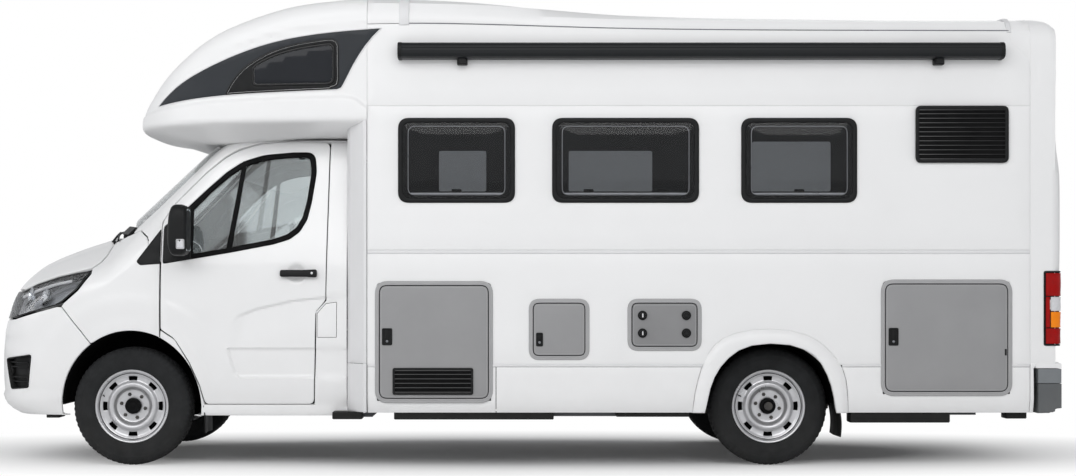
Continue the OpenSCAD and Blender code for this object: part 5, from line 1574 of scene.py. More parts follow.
def skirt_face(y, side):
    """The skirt's face, which leans in below its bend."""

    def at(flat):
        lean = np.clip((BEND_Z + 0.02 - flat[:, 1]) / 0.11, 0, 1) ** 1.4
        place = np.stack([flat[:, 0], side * (y - 0.030 * lean), flat[:, 1]], axis=1)
        normal = np.stack([lean * 0, side * np.ones(len(flat)), -0.5 * lean], axis=1)
        return place, normal

    return at


def notched(x0, x1, z0, z1, notches):
    """A rectangle whose foot has notches, each (x0, x1, top)."""
    points = [(x0, z0)]
    for a, b, top in sorted(notches):
        points += [(a, z0), (a, top), (b, top), (b, z0)]
    points += [(x1, z0), (x1, z1), (x0, z1)]
    return np.array(points)


def cut_foot(outline, shape):
    """The rectangle's foot with a shape standing on it cut away."""
    top = shape[shape[:, 1] > outline[:, 1].min() + 1e-4]
    top = top[np.argsort(top[:, 0])]
    low = outline[:, 1].min()
    line = [tuple(p) for p in outline]
    at = [i for i, p in enumerate(line) if abs(p[1] - low) < 1e-6]
    for i, j in zip(at, at[1:]):
        if line[i][0] < top[0][0] and line[j][0] > top[-1][0] and j == i + 1:
            foot = [(top[0][0], low)] + [tuple(p) for p in top] + [(top[-1][0], low)]
            return np.array(line[: i + 1] + foot + line[j:])
    return outline


CLEAR = 0.012
HALF_SEAM = 0.0015
ARCH_FRONT, ARCH_REAR = -1.016, -1.936
SKIN = {"thickness": 0.003, "edge": 0.0015, "slot": "coach_white"}


def walls(side, word):
    """Skins, mouldings and skirt of one side."""
    top = [(x, float(EAVE(x)) - 0.003) for x in np.linspace(FRONT_X, -2.885, 24)]
    corner = [(-2.889, 2.560), (-2.905, 2.515), (-2.945, 2.490), (-2.980, 2.455), (-2.996, 2.432),
              (REAR_X, 2.380)]
    upper = np.array([(FRONT_X, SEAM_Z + HALF_SEAM)] + top + corner
                     + [(REAR_X, SEAM_Z + HALF_SEAM)])
    left = side > 0
    windows = WINDOWS if left else WINDOWS[1:]
    holes = [opening(w, CLEAR, 0.06) for w in windows]
    vents = [opening(VENT, CLEAR, 0.02)] if left else []
    replaced = ["side_skirts"] if left else []
    if left:
        panel(f"{word}_upper_skin", upper, side_wall(SKIN_Y, side), COACH, step=0.12, fine=0.05,
              **SKIN)
        main = np.array([(FRONT_X, RIDGE_TOP + 0.001), (FRONT_X, SEAM_Z - HALF_SEAM),
                         (REAR_X, SEAM_Z - HALF_SEAM), (REAR_X, RIDGE_TOP + 0.001)])
        panel(f"{word}_main_skin", main, side_wall(SKIN_Y, side), COACH, holes=holes + vents,
              step=0.12, fine=0.03, **SKIN)
        ridges = [(REAR_X, FRONT_X)]
        notches = [(GAS[0][0] + CLEAR, GAS[1][0] - CLEAR, GAS[1][1] - CLEAR),
                   (GARAGE[0][0] + CLEAR, GARAGE[1][0] - CLEAR, GARAGE[1][1] - CLEAR)]
        lower_holes = [opening(SERVICE, CLEAR, 0.03), opening(KNOBS, CLEAR, 0.03)]
        front = FRONT_X
    else:
        a, b = ENTRANCE[0][0] + CLEAR, ENTRANCE[1][0] - CLEAR
        high = ENTRANCE[1][1] - CLEAR
        panel(f"{word}_upper_skin",
              np.concatenate([upper[:-1], [(REAR_X, SEAM_Z + HALF_SEAM), (a, SEAM_Z + HALF_SEAM),
                                           (a, high), (b, high), (b, SEAM_Z + HALF_SEAM)]]),
              side_wall(SKIN_Y, side), COACH, step=0.12, fine=0.05, **SKIN)
        low, seam = RIDGE_TOP + 0.001, SEAM_Z - HALF_SEAM
        for n, (x0, x1) in enumerate(((REAR_X, a), (b, FRONT_X))):
            main = np.array([(x1, low), (x1, seam), (x0, seam), (x0, low)])
            panel(f"{word}_main_skin_{n}", main, side_wall(SKIN_Y, side), COACH,
                  holes=holes if n == 0 else [], step=0.12, fine=0.03, **SKIN)
        ridges = [(REAR_X, a), (b, FRONT_X)]
        notches = [(GARAGE[0][0] + CLEAR, GARAGE[1][0] - CLEAR, GARAGE[1][1] - CLEAR)]
        lower_holes = []
        front = a
        strip = np.array([(b, LEDGE_TOP), (b, RIDGE_FOOT - 0.001), (FRONT_X, RIDGE_FOOT - 0.001),
                          (FRONT_X, LEDGE_TOP)])
        panel(f"{word}_lower_skin_front", strip, side_wall(SKIN_Y, side), COACH, step=0.1,
              **SKIN)
    arch = arch_shape(False)
    lower = notched(REAR_X, front, LEDGE_TOP, RIDGE_FOOT - 0.001, notches)
    lower = cut_foot(lower, bottomed(arch, LEDGE_TOP))
    panel(f"{word}_lower_skin", lower, side_wall(SKIN_Y, side), COACH, holes=lower_holes,
          step=0.1, fine=0.03, **SKIN)
    mouldings = Shape()
    for x0, x1 in ridges:
        strip = np.array([(x0, RIDGE_FOOT), (x1, RIDGE_FOOT), (x1, RIDGE_TOP), (x0, RIDGE_TOP)])
        mouldings.add(panel_mesh(strip, side_wall(SKIN_Y + 0.002, side), thickness=0.005,
                                 edge=0.004, step=0.2, fine=0.1))
    edges = sorted([REAR_X, GARAGE[0][0] + CLEAR, GARAGE[1][0] - CLEAR, -1.899, -1.072]
                   + ([GAS[0][0] + CLEAR, GAS[1][0] - CLEAR, FRONT_X] if left else [front]))
    spans = [(edges[i], edges[i + 1]) for i in range(0, len(edges) - 1, 2)]
    for x0, x1 in spans:
        strip = np.array([(x0, LEDGE_FOOT), (x1, LEDGE_FOOT), (x1, LEDGE_TOP), (x0, LEDGE_TOP)])
        mouldings.add(panel_mesh(strip, side_wall(SKIN_Y + 0.005, side), thickness=0.008,
                                 edge=0.006, step=0.2, fine=0.1))
    mouldings.make(f"{word}_wall_mouldings", MOULDED, slot="coach_white")
    skirts = Shape()
    panels = [(ARCH_FRONT, 0.151), (0.155, FRONT_X)] if left else [(ARCH_FRONT, front)]
    panels.append((REAR_X, ARCH_REAR))
    top_z = LEDGE_FOOT - 0.001
    for x0, x1 in panels:
        outline = np.array([(x0, FOOT_Z), (x1, FOOT_Z), (x1, top_z), (x0, top_z)])
        for (a, low), (b, _) in ((GAS, GARAGE) if left else (GARAGE,)):
            if x0 < a < x1:
                outline = np.array([
                    (x0, FOOT_Z), (x1, FOOT_Z), (x1, top_z), (b - CLEAR, top_z),
                    (b - CLEAR, low + CLEAR), (a + CLEAR, low + CLEAR), (a + CLEAR, top_z),
                    (x0, top_z)])
        if x0 == ARCH_FRONT:
            rear_edge = [(x + 0.002, z) for x, z in arch_edge(True, FOOT_Z, top_z)]
            outline = np.array(rear_edge + [(x1, top_z), (x1, FOOT_Z)])
        elif x1 == ARCH_REAR:
            front_edge = [(x - 0.002, z) for x, z in arch_edge(False, FOOT_Z, top_z)]
            (a, low), (b, _) = GARAGE
            outline = np.array(front_edge + [
                (b - CLEAR, top_z), (b - CLEAR, low + CLEAR), (a + CLEAR, low + CLEAR),
                (a + CLEAR, top_z), (x0, top_z), (x0, FOOT_Z)])
        skirts.add(panel_mesh(outline, skirt_face(SKIN_Y, side), thickness=0.014, edge=0.003,
                              step=0.05, fine=0.03))
    skirts.make(f"{word}_skirts", COACH, slot="coach_white", replaces=replaced)
    arch_panel(side, word)


def arch_panel(side, word):
    """The flared moulding round the rear wheel."""
    outer = bottomed(arch_shape(False), FOOT_Z)
    inner = bottomed(arch_shape(True), FOOT_Z)

    def face(flat):
        d = np.abs(distance_to(flat, outer[np.argsort(outer[:, 0])]))
        rise = 0.022 * smooth(d / 0.035)
        lean = np.clip((BEND_Z - flat[:, 1]) / 0.11, 0, 1) ** 1.4
        place = np.stack([flat[:, 0], side * (SKIN_Y + rise - 0.014 * lean), flat[:, 1]], axis=1)
        return place, np.tile([0.0, float(side), 0.0], (len(flat), 1))

    a, b = outer[:, 0].max(), outer[:, 0].min()
    sweep = outer[outer[:, 1] > FOOT_Z + 1e-4]
    hollow = inner[inner[:, 1] > FOOT_Z + 1e-4]
    ring = np.concatenate([
        [(a, FOOT_Z)], sweep, [(b, FOOT_Z), (inner[:, 0].min(), FOOT_Z)], hollow[::-1],
        [(inner[:, 0].max(), FOOT_Z)],
    ])
    panel(f"{word}_arch_moulding", ring, face, COACH, LINER, thickness=0.030, edge=0.008,
          step=0.025, slot="coach_white")


def window_unit(corners, side, word, blind, replaced=()):
    """Rubber-framed acrylic window with its inner seam, catches and blind; the seam is a light ring
    of painted highlight for the pane's curved edge, and a dark sheet behind the pane is painted
    shade for the room inside.
    """
    (x0, z0), (x1, z1) = corners
    wall = side_wall
    outer = box_outline((x0, z0), (x1, z1), 0.066, 10)
    lip = box_outline((x0 + 0.030, z0 + 0.030), (x1 - 0.030, z1 - 0.030), 0.050, 10)
    pane = box_outline((x0 + 0.022, z0 + 0.022), (x1 - 0.022, z1 - 0.022), 0.054, 10)
    frame = Shape()
    frame.add(panel_mesh(outer, wall(SKIN_Y + 0.012, side), holes=[lip], thickness=0.014,
                         edge=0.010, step=0.05, fine=0.02))
    frame.make(f"{word}_frame", BLACK, slot="black_plastic", replaces=replaced)
    panel(f"{word}_pane", pane, wall(SKIN_Y + 0.006, side), TINTED, thickness=0.006, edge=0.003,
          step=0.2, fine=0.05, slot="tinted_glass")
    # The seam ring is a light grey ring of painted highlight, standing for the shine along the
    # pane's curved edge; the rail below it is a real part.
    seam = box_outline((x0 + 0.058, z0 + 0.045), (x1 - 0.058, z1 - 0.048), 0.045, 10)
    bead = Shape()
    bead.add(panel_mesh(seam, wall(SKIN_Y + 0.0085, side), holes=[shrunk(seam, 0.0045)],
                        thickness=0.003, edge=0.002, step=0.05, fine=0.02))
    rail = box_outline((x0 + 0.075, z0 + 0.050), (x1 - 0.075, z0 + 0.060), 0.003)
    bead.add(panel_mesh(rail, wall(SKIN_Y + 0.0085, side), thickness=0.003, edge=0.002, step=0.1))
    bead.make(f"{word}_bead", BEZEL, slot="black_plastic")
    catch = Shape()
    middle = (x0 + x1) / 2
    for x in ((middle,) if x1 - x0 < 0.8 else (middle - 0.22, middle + 0.22)):
        grip = box_outline((x - 0.030, z0 + 0.062), (x + 0.030, z0 + 0.082), 0.008)
        catch.add(panel_mesh(grip, wall(SKIN_Y - 0.0005, side), thickness=0.001, edge=0.0,
                             step=0.05))
    catch.make(f"{word}_catches", GLOSS_BLACK, slot="black_plastic")
    # A dark sheet just inside the pane: painted shade standing for the unlit room behind the
    # window.
    back = box_outline((x0 + 0.012, z0 + 0.012), (x1 - 0.012, z1 - 0.012), 0.06, 8)
    panel(f"{word}_room_shade_sheet", back, wall(SKIN_Y - 0.0018, side), INTERIOR_SHADE_SHEET, holes=[],
          thickness=0.002, edge=0.0, step=0.2, fine=0.05, slot="black_plastic")
    if blind:
        (bx0, bz0), (bx1, bz1) = blind
        panel(f"{word}_blind", box_outline((bx0, bz0), (bx1, bz1), 0.012),
              wall(SKIN_Y - 0.0006, side), BLIND, thickness=0.001, edge=0.0, step=0.2, fine=0.05,
              slot="tinted_glass")


def hatch_unit(corners, side, word, body, replaced, lock, vent=None, radius=0.078):
    """Frame, leaf, seal and lock of a service hatch."""
    (x0, z0), (x1, z1) = corners
    outer = box_outline((x0, z0), (x1, z1), radius, 8)
    inner = shrunk(outer, 0.0245)
    frame = Shape()
    frame.add(panel_mesh(outer, side_wall(1.1395, side), holes=[inner], thickness=0.009,
                         edge=0.004, step=0.05, fine=0.015))
    frame.add(panel_mesh(shrunk(outer, 0.014), side_wall(1.1412, side),
                         holes=[shrunk(outer, 0.0235)], thickness=0.006, edge=0.003, step=0.05,
                         fine=0.015))
    frame.make(f"{word}_frame", HATCH_RIM, slot="hatch_grey")
    seal = shrunk(outer, 0.0248)
    panel(f"{word}_seal", seal, side_wall(1.1330, side), RUBBER, holes=[shrunk(seal, 0.012)],
          thickness=0.012, edge=0.0, step=0.05, fine=0.02, slot="black_plastic")
    leaf = shrunk(outer, 0.0292)
    leaf_shape = Shape()
    leaf_shape.add(panel_mesh(leaf, side_wall(1.1385, side), thickness=0.028, edge=0.003,
                              step=0.08, fine=0.02))
    leaf_shape.make(f"{word}_leaf", HATCH if body != "chassis" else KNOB_PANEL, body=body,
                    slot="hatch_grey", replaces=replaced)
    inset_line = shrunk(outer, 0.036)
    panel(f"{word}_leaf_line", inset_line, side_wall(1.1388, side), HATCH_RIM,
          holes=[shrunk(inset_line, 0.0022)], thickness=0.002, edge=0.0004, step=0.05, fine=0.02,
          body=body, slot="hatch_grey")
    if lock:
        (lx0, lz0), (lx1, lz1) = lock
        case = box_outline((lx0, lz0), (lx1, lz1), 0.010)
        parts = Shape()
        parts.add(panel_mesh(case, side_wall(1.1435, side), holes=[shrunk(case, 0.007)],
                             thickness=0.006, edge=0.003, step=0.02))
        parts.add(panel_mesh(shrunk(case, 0.006), side_wall(1.1405, side), thickness=0.003,
                             edge=0.0, step=0.02))
        middle = (lx0 + lx1) / 2
        lever = box_outline((middle - 0.011, lz0 + 0.036), (middle + 0.011, lz1 - 0.012), 0.005)
        parts.add(panel_mesh(lever, side_wall(1.1450, side), thickness=0.006, edge=0.003,
                             step=0.02))
        parts.make(f"{word}_lock", BLACK, body=body, slot="black_plastic")
        keys = Shape()
        keys.add(panel_mesh(circle((middle, lz0 + 0.024), 0.0075, count=20),
                            side_wall(1.1440, side), thickness=0.005, edge=0.0015, step=0.02))
        keys.make(f"{word}_key_barrel", BEZEL, body=body, slot="rim_silver")
    if vent:
        grille(vent, 1.1480, side, f"{word}_vent", body, 5, 0.014)


def grille(corners, y, side, name, body, slats, radius, replaced=(), rim=0.014):
    """A black vent: a rim and sloping slats over a dark back."""
    (x0, z0), (x1, z1) = corners
    case = box_outline((x0, z0), (x1, z1), radius)
    parts = Shape()
    parts.add(panel_mesh(case, side_wall(y, side), holes=[shrunk(case, rim)], thickness=0.010,
                         edge=0.004, step=0.04, fine=0.015))
    parts.make(name + "_rim", BLACK, body=body, slot="black_plastic", replaces=replaced)
    bars = Shape()
    pitch = (z1 - z0 - 2 * rim) / slats
    for k in range(slats + 1):
        z = z0 + rim + k * pitch
        low, high = z - 0.08 * pitch, z + 0.20 * pitch
        if k == slats:
            low, high = z - 0.22 * pitch, z + 0.002
        bar = np.array([(x0 + rim - 0.002, low), (x1 - rim + 0.002, low),
                        (x1 - rim + 0.002, high), (x0 + rim - 0.002, high)])

        def face(flat, middle=z + 0.10 * pitch):
            slope_in = (flat[:, 1] - middle) * 0.25
            place = np.stack([flat[:, 0], side * (y - 0.0020 - slope_in), flat[:, 1]], axis=1)
            return place, np.tile([0.0, float(side), 0.0], (len(flat), 1))

        bars.add(panel_mesh(bar, face, thickness=0.0045, edge=0.0012, step=0.2, fine=0.1))
    bars.make(name + "_slats", GLOSS_BLACK, body=body, slot="black_plastic")
    panel(name + "_back", shrunk(case, 0.004), side_wall(y - 0.0078, side), RUBBER,
          thickness=0.0012, edge=0.0, step=0.2, fine=0.05, body=body, slot="black_plastic")


def knob(x, z):
    """A turning cap with a ridge, on the service panel."""
    profile = [(1.1385, 0.001), (1.1385, 0.028), (1.1450, 0.0275), (1.1480, 0.024), (1.1490, 0.019),
               (1.1600, 0.0175), (1.1630, 0.014), (1.1635, 0.001)]

    def ripple(along, radius, angle):
        teeth = 1 + 0.05 * np.cos(12 * angle) * ((along > 1.149) & (radius > 0.01))
        return along, radius * teeth

    return revolve(profile, (x, 0, z), 72, 1, ripple)


def roof_shell():
    """The roof skin, cast like the pod so that their sections agree."""
    crown = 0.034

    def field(p):
        y = np.abs(p[:, 1])
        side = (y - SKIN_Y) * 0.926
        top = p[:, 2] - ROOF_TOP(p[:, 0]) - crown * (1 - (y / SKIN_Y) ** 2)
        return blend_max(side, top, 0.12)

    def surface(flat):
        """Flat points are (X, angle-like distance across)."""
        angle = flat[:, 1] / 0.9
        ray = np.stack([np.zeros(len(flat)), np.sin(angle), np.cos(angle)], axis=1)
        base = np.stack([flat[:, 0], np.zeros(len(flat)), np.full(len(flat), 2.0)], axis=1)
        low, high = np.zeros(len(flat)), np.full(len(flat), 1.6)
        for _ in range(32):
            middle = (low + high) / 2
            within = field(base + ray * middle[:, None]) < 0
            low, high = np.where(within, middle, low), np.where(within, high, middle)
        place = base + ray * low[:, None]
        return place, slope(field, place)

    def across(x, y, z):
        return math.atan2(y, z - 2.0) * 0.9

    xs = np.linspace(0.9175, -3.012, 40)
    left = [(x, across(x, SKIN_Y, float(EAVE(x)))) for x in xs]
    outline = np.array(left + [(x, -a) for x, a in left[::-1]])
    holes = []
    for x in (-0.150, -1.900):
        z = float(ROOF_TOP(x)) + crown
        half = across(x, 0.205, z)
        holes.append(box_outline((x - 0.205, -half), (x + 0.205, half), 0.01))
    panel("roof_skin", outline, surface, COACH, holes=holes, thickness=0.020, edge=0.003,
          step=0.055, fine=0.04, slot="coach_white", replaces=["roof"])
    for side, word in ((1, "left"), (-1, "right")):
        bead = Shape()
        line = [(x, side * (SKIN_Y + 0.001), float(EAVE(x)) - 0.0015)
                for x in np.linspace(0.70, -2.885, 60)]
        bead.add(tube(line, 0.0028, 8))
        bead.make(f"{word}_eave_bead", BEZEL, slot="coach_white")
    strips = Shape()
    for x0, x1, lift in ((0.669, 0.728, 0.006), (-2.900, -2.872, 0.008)):
        ends = [(x0, across(x0, SKIN_Y, float(EAVE(x0)) - 0.012)),
                (x1, across(x1, SKIN_Y, float(EAVE(x1)) - 0.012))]
        (xa, a), (xb, b) = ends

        def raised(flat, lift=lift):
            place, normal = surface(flat)
            return place + normal * lift, normal

        strips.add(panel_mesh(np.array([(xa, -a), (xb, -b), (xb, b), (xa, a)]), raised,
                              thickness=lift + 0.004, edge=0.004, step=0.03, fine=0.02))
    strips.make("roof_joint_strips", MOULDED, slot="coach_white")


def corner_strips():
    """Moulded strips between the cab and the living body, below the pod."""
    plan = [(1.0465, 0.745), (1.0465, 0.990), (1.028, 1.035), (0.990, 1.081), (0.962, 1.112),
            (0.945, 1.130), (0.930, 1.139), (0.9185, 1.1395)]
    for side, word in ((1, "left"), (-1, "right")):
        strip = Shape()
        for low, high, lift in ((0.330, 0.618, 0.004), (0.620, 2.060, 0.0)):
            levels = np.concatenate([[low], np.linspace(low + 0.003, high - 0.003, 40), [high]])
            rows = []
            smooth_plan = resample(rounded([(x, y) for x, y in plan], 0.02)[::-1], 0.008, False)
            for z in levels:
                inset_by = 0.003 if z in (low, high) else 0.0
                lean = 0.02 * np.clip((BEND_Z - z) / 0.08, 0, 1) ** 1.4
                row = np.stack([smooth_plan[:, 0], smooth_plan[:, 1] + lift - inset_by - lean
                                * (smooth_plan[:, 1] > 1.0), np.full(len(smooth_plan), z)], axis=1)
                rows.append(row)
            strip.add(sheet_from_rows(rows, 0.020))
        if side < 0:
            strip.verts = [[x, -y, z] for x, y, z in strip.verts]
            strip.faces = [f[::-1] for f in strip.faces]
        strip.make(f"{word}_corner_strip", MOULDED, slot="coach_white",
                   replaces=["cab_side_fairings"] if side > 0 else [])


def sheet_from_rows(rows, thickness):
    """A closed sheet from a grid of points, thickened towards the vehicle's middle."""
    grid = np.array(rows)
    n, m = grid.shape[:2]
    du = np.gradient(grid, axis=1)
    dv = np.gradient(grid, axis=0)
    normal = np.cross(du, dv)
    normal /= np.maximum(np.linalg.norm(normal, axis=2, keepdims=True), 1e-12)
    if normal[..., 1].mean() < 0:
        normal = -normal
    back = grid - normal * thickness
    verts = np.concatenate([grid.reshape(-1, 3), back.reshape(-1, 3)])
    count = n * m
    faces = []
    for i in range(n - 1):
        for k in range(m - 1):
            a, b, c, d = i * m + k, i * m + k + 1, (i + 1) * m + k + 1, (i + 1) * m + k
            faces += [[a, b, c, d], [d + count, c + count, b + count, a + count]]
    for i in range(n - 1):
        for k, turn in ((0, 1), (m - 1, -1)):
            a, b = i * m + k, (i + 1) * m + k
            faces.append([a, b, b + count, a + count][::turn])
    for k in range(m - 1):
        for i, turn in ((0, -1), (n - 1, 1)):
            a, b = i * m + k, i * m + k + 1
            faces.append([a, b, b + count, a + count][::turn])
    return outward(verts, faces)


def awning():
    """Cassette with grooves, end caps and two brackets."""
    section = [(1.1335, 2.4185), (1.150, 2.4185), (1.205, 2.4210), (1.226, 2.4300), (1.2345, 2.446),
               (1.2360, 2.468), (1.2330, 2.492), (1.2230, 2.507), (1.200, 2.5145), (1.150, 2.5165),
               (1.1335, 2.5165)]
    outline = rounded(section, 0.012, 3)
    line = resample(outline, 0.006)
    case = Shape()

    def prism(x0, x1, ring, bevel=0.0015):
        rows = []
        for x, d in ((x0, bevel), (x0 - bevel, 0), (x1 + bevel, 0), (x1, bevel)):
            r = shrunk(ring, d) if d else ordered(ring)
            rows.append(np.stack([np.full(len(r), x), r[:, 0], r[:, 1]], axis=1))
        n = len(ring)
        verts = np.concatenate(rows)
        faces = [[i * n + k, i * n + (k + 1) % n, (i + 1) * n + (k + 1) % n, (i + 1) * n + k]
                 for i in range(3) for k in range(n)]
        faces += [list(range(n)), [3 * n + k for k in range(n)][::-1]]
        return outward(verts, faces)

    grooved = []
    for y, z in ordered(line):
        depth = 0.0
        for level in (2.497, 2.480, 2.436):
            depth += 0.0022 * math.exp(-(((z - level) / 0.0022) ** 2)) * (y > 1.2)
        grooved.append((y - depth, z))
    case.add(prism(0.722, -2.833, np.array(grooved), 0.0005))
    case.make("awning_cassette", AWNING, slot="awning_black", replaces=["awning_case"])
    caps = Shape()
    bigger = shrunk(outline, -0.0022)
    bigger[:, 0] = np.maximum(bigger[:, 0], 1.1335)
    for x0, x1 in ((0.732, 0.706), (-2.817, -2.843)):
        caps.add(prism(x0, x1, bigger, 0.004))
    caps.make("awning_end_caps", BLACK, slot="awning_black")
    brackets = Shape()
    for x in (0.352, -2.463):
        brackets.add(block((x - 0.031, 1.1335, 2.385), (x + 0.031, 1.190, 2.420), 0.008))
        brackets.add(block((x - 0.024, 1.1335, 2.395), (x + 0.024, 1.205, 2.422), 0.006))
    brackets.make("awning_brackets", BLACK, slot="awning_black")


for side, word in ((1, "left"), (-1, "right")):
    walls(side, word)
roof_shell()
corner_strips()
awning()
window_unit(WINDOWS[0], 1, "left_window_1", ((0.211, 1.640), (0.491, 1.880)),
            ["window_frames", "window_panes"])
window_unit(WINDOWS[1], 1, "left_window_2", ((-0.773, 1.640), (-0.278, 1.880)))
window_unit(WINDOWS[2], 1, "left_window_3", ((-1.830, 1.640), (-1.365, 1.935)))
window_unit(WINDOWS[1], -1, "right_window_1", ((-0.773, 1.640), (-0.278, 1.880)))
window_unit(WINDOWS[2], -1, "right_window_2", ((-1.830, 1.640), (-1.365, 1.935)))
hatch_unit(GAS, 1, "gas_locker", "gas_locker_door", ["gas_locker_door"],
           ((0.768, 0.728), (0.829, 0.829)), ((0.288, 0.434), (0.766, 0.594)))
hatch_unit(SERVICE, 1, "service_hatch", "service_door", ["service_door"],
           ((-0.1255, 0.721), (-0.084, 0.803)), radius=0.066)
hatch_unit(GARAGE, 1, "garage", "garage_door", ["garage_door"],
           ((-2.232, 0.726), (-2.173, 0.831)))
hatch_unit(GARAGE, -1, "right_garage", "chassis", [], ((-2.232, 0.726), (-2.173, 0.831)))
hatch_unit(KNOBS, 1, "knob_panel", "chassis", ["hatch_frames"], None, radius=0.066)
catch = box_outline((-2.8735, 0.668), (-2.8620, 0.706), 0.003)
panel("garage_catch", catch, side_wall(1.1400), BLACK, thickness=0.0015, edge=0.001, step=0.02,
      body="garage_door", slot="black_plastic")
knobs = Shape()
for x in (-0.715, -0.975):
    for z in (0.800, 0.905):
        knobs.add(knob(x, z))
knobs.make("service_knobs", BLACK, slot="black_plastic")
levers = Shape()
for z in (0.800, 0.905):
    levers.add(panel_mesh(box_outline((-0.7185, z - 0.012), (-0.7115, z + 0.012), 0.003),
                          side_wall(1.1655), thickness=0.003, edge=0.001, step=0.02))
levers.make("service_levers", MOULDED, slot="coach_white")
grille(VENT, 1.150, 1, "upper_vent", "chassis", 11, 0.035, ["vent_grilles"], 0.022)

# ---------- Wheels ----------

WHEEL_Y = 0.870
TREAD_GROOVES = (-0.058, -0.020, 0.020, 0.058)


def tyre_section():
    """Half-open section of a tyre, (offset from its middle plane, radius), closed by its bead."""
    outer = [(0.092, 0.2205), (0.1005, 0.2225), (0.1065, 0.2320), (0.1130, 0.2480),
             (0.1163, 0.2640), (0.1172, 0.2700), (0.1172, 0.2745), (0.1180, 0.2752),
             (0.1175, 0.2900), (0.1160, 0.3030), (0.1168, 0.3048), (0.1150, 0.3120),
             (0.1110, 0.3240), (0.1050, 0.3350), (0.0985, 0.3430), (0.0900, 0.3490)]
    tread = []
    for a in TREAD_GROOVES[::-1]:
        r = 0.3560 - 0.30 * a * a
        tread += [(a + 0.0048, r), (a + 0.0034, r - 0.0085), (a - 0.0034, r - 0.0085),
                  (a - 0.0048, r)]
    inner = [(-a, r) for a, r in outer[::-1]]
    bore = [(-0.080, 0.212), (0.080, 0.212)]
    return np.array(outer + tread + inner + bore)


def lugs(along, radius, angle):
    """Cross grooves in the tread blocks and the shoulders."""
    middle = np.abs(along - WHEEL_Y)
    shoulder = (middle > 0.060) & (radius > 0.318)
    blocks = (middle > 0.024) & (middle < 0.0535) & (radius > 0.353)
    notch = np.cos(angle * 64) > 0.35
    radius = radius - np.where(shoulder & notch, 0.0030, 0)
    radius = radius - np.where(blocks & (np.cos(angle * 64 + 1.6) > 0.6), 0.005, 0)
    return along, radius


RIM_PROFILE = spline(
    [(0.000, 0.050), (0.050, 0.050), (0.062, 0.0505), (0.094, 0.0515), (0.102, 0.056),
     (0.110, 0.070), (0.120, 0.080), (0.130, 0.0835), (0.139, 0.081), (0.147, 0.071),
     (0.154, 0.0655), (0.170, 0.0660), (0.184, 0.0690), (0.190, 0.0735), (0.196, 0.0770),
     (0.201, 0.0790)]
)


def rim_face(centre, side):
    """The outer face of a wheel's disc."""
    def at(flat):
        r = np.hypot(flat[:, 0], flat[:, 1])
        y = WHEEL_Y + RIM_PROFILE(r)
        lean = (RIM_PROFILE(r + 0.0005) - RIM_PROFILE(r - 0.0005)) / 0.001
        unit = flat / np.maximum(r, 1e-6)[:, None]
        place = np.stack([centre[0] + flat[:, 0], side * y, centre[1] + flat[:, 1]], axis=1)
        normal = np.stack([-lean * unit[:, 0], side * np.ones(len(r)), -lean * unit[:, 1]], axis=1)
        return place, normal

    return at


def slot_outline(angle):
    """One oval hand hole of the disc."""
    a = math.radians(angle)
    spread = np.radians(np.linspace(-8.8, 8.8, 8))
    outer = [(0.1805 * math.cos(a + s), 0.1805 * math.sin(a + s)) for s in spread]
    inner = [(0.1560 * math.cos(a + s), 0.1560 * math.sin(a + s)) for s in spread[::-1]]
    return rounded(outer + inner, 0.009, 3)


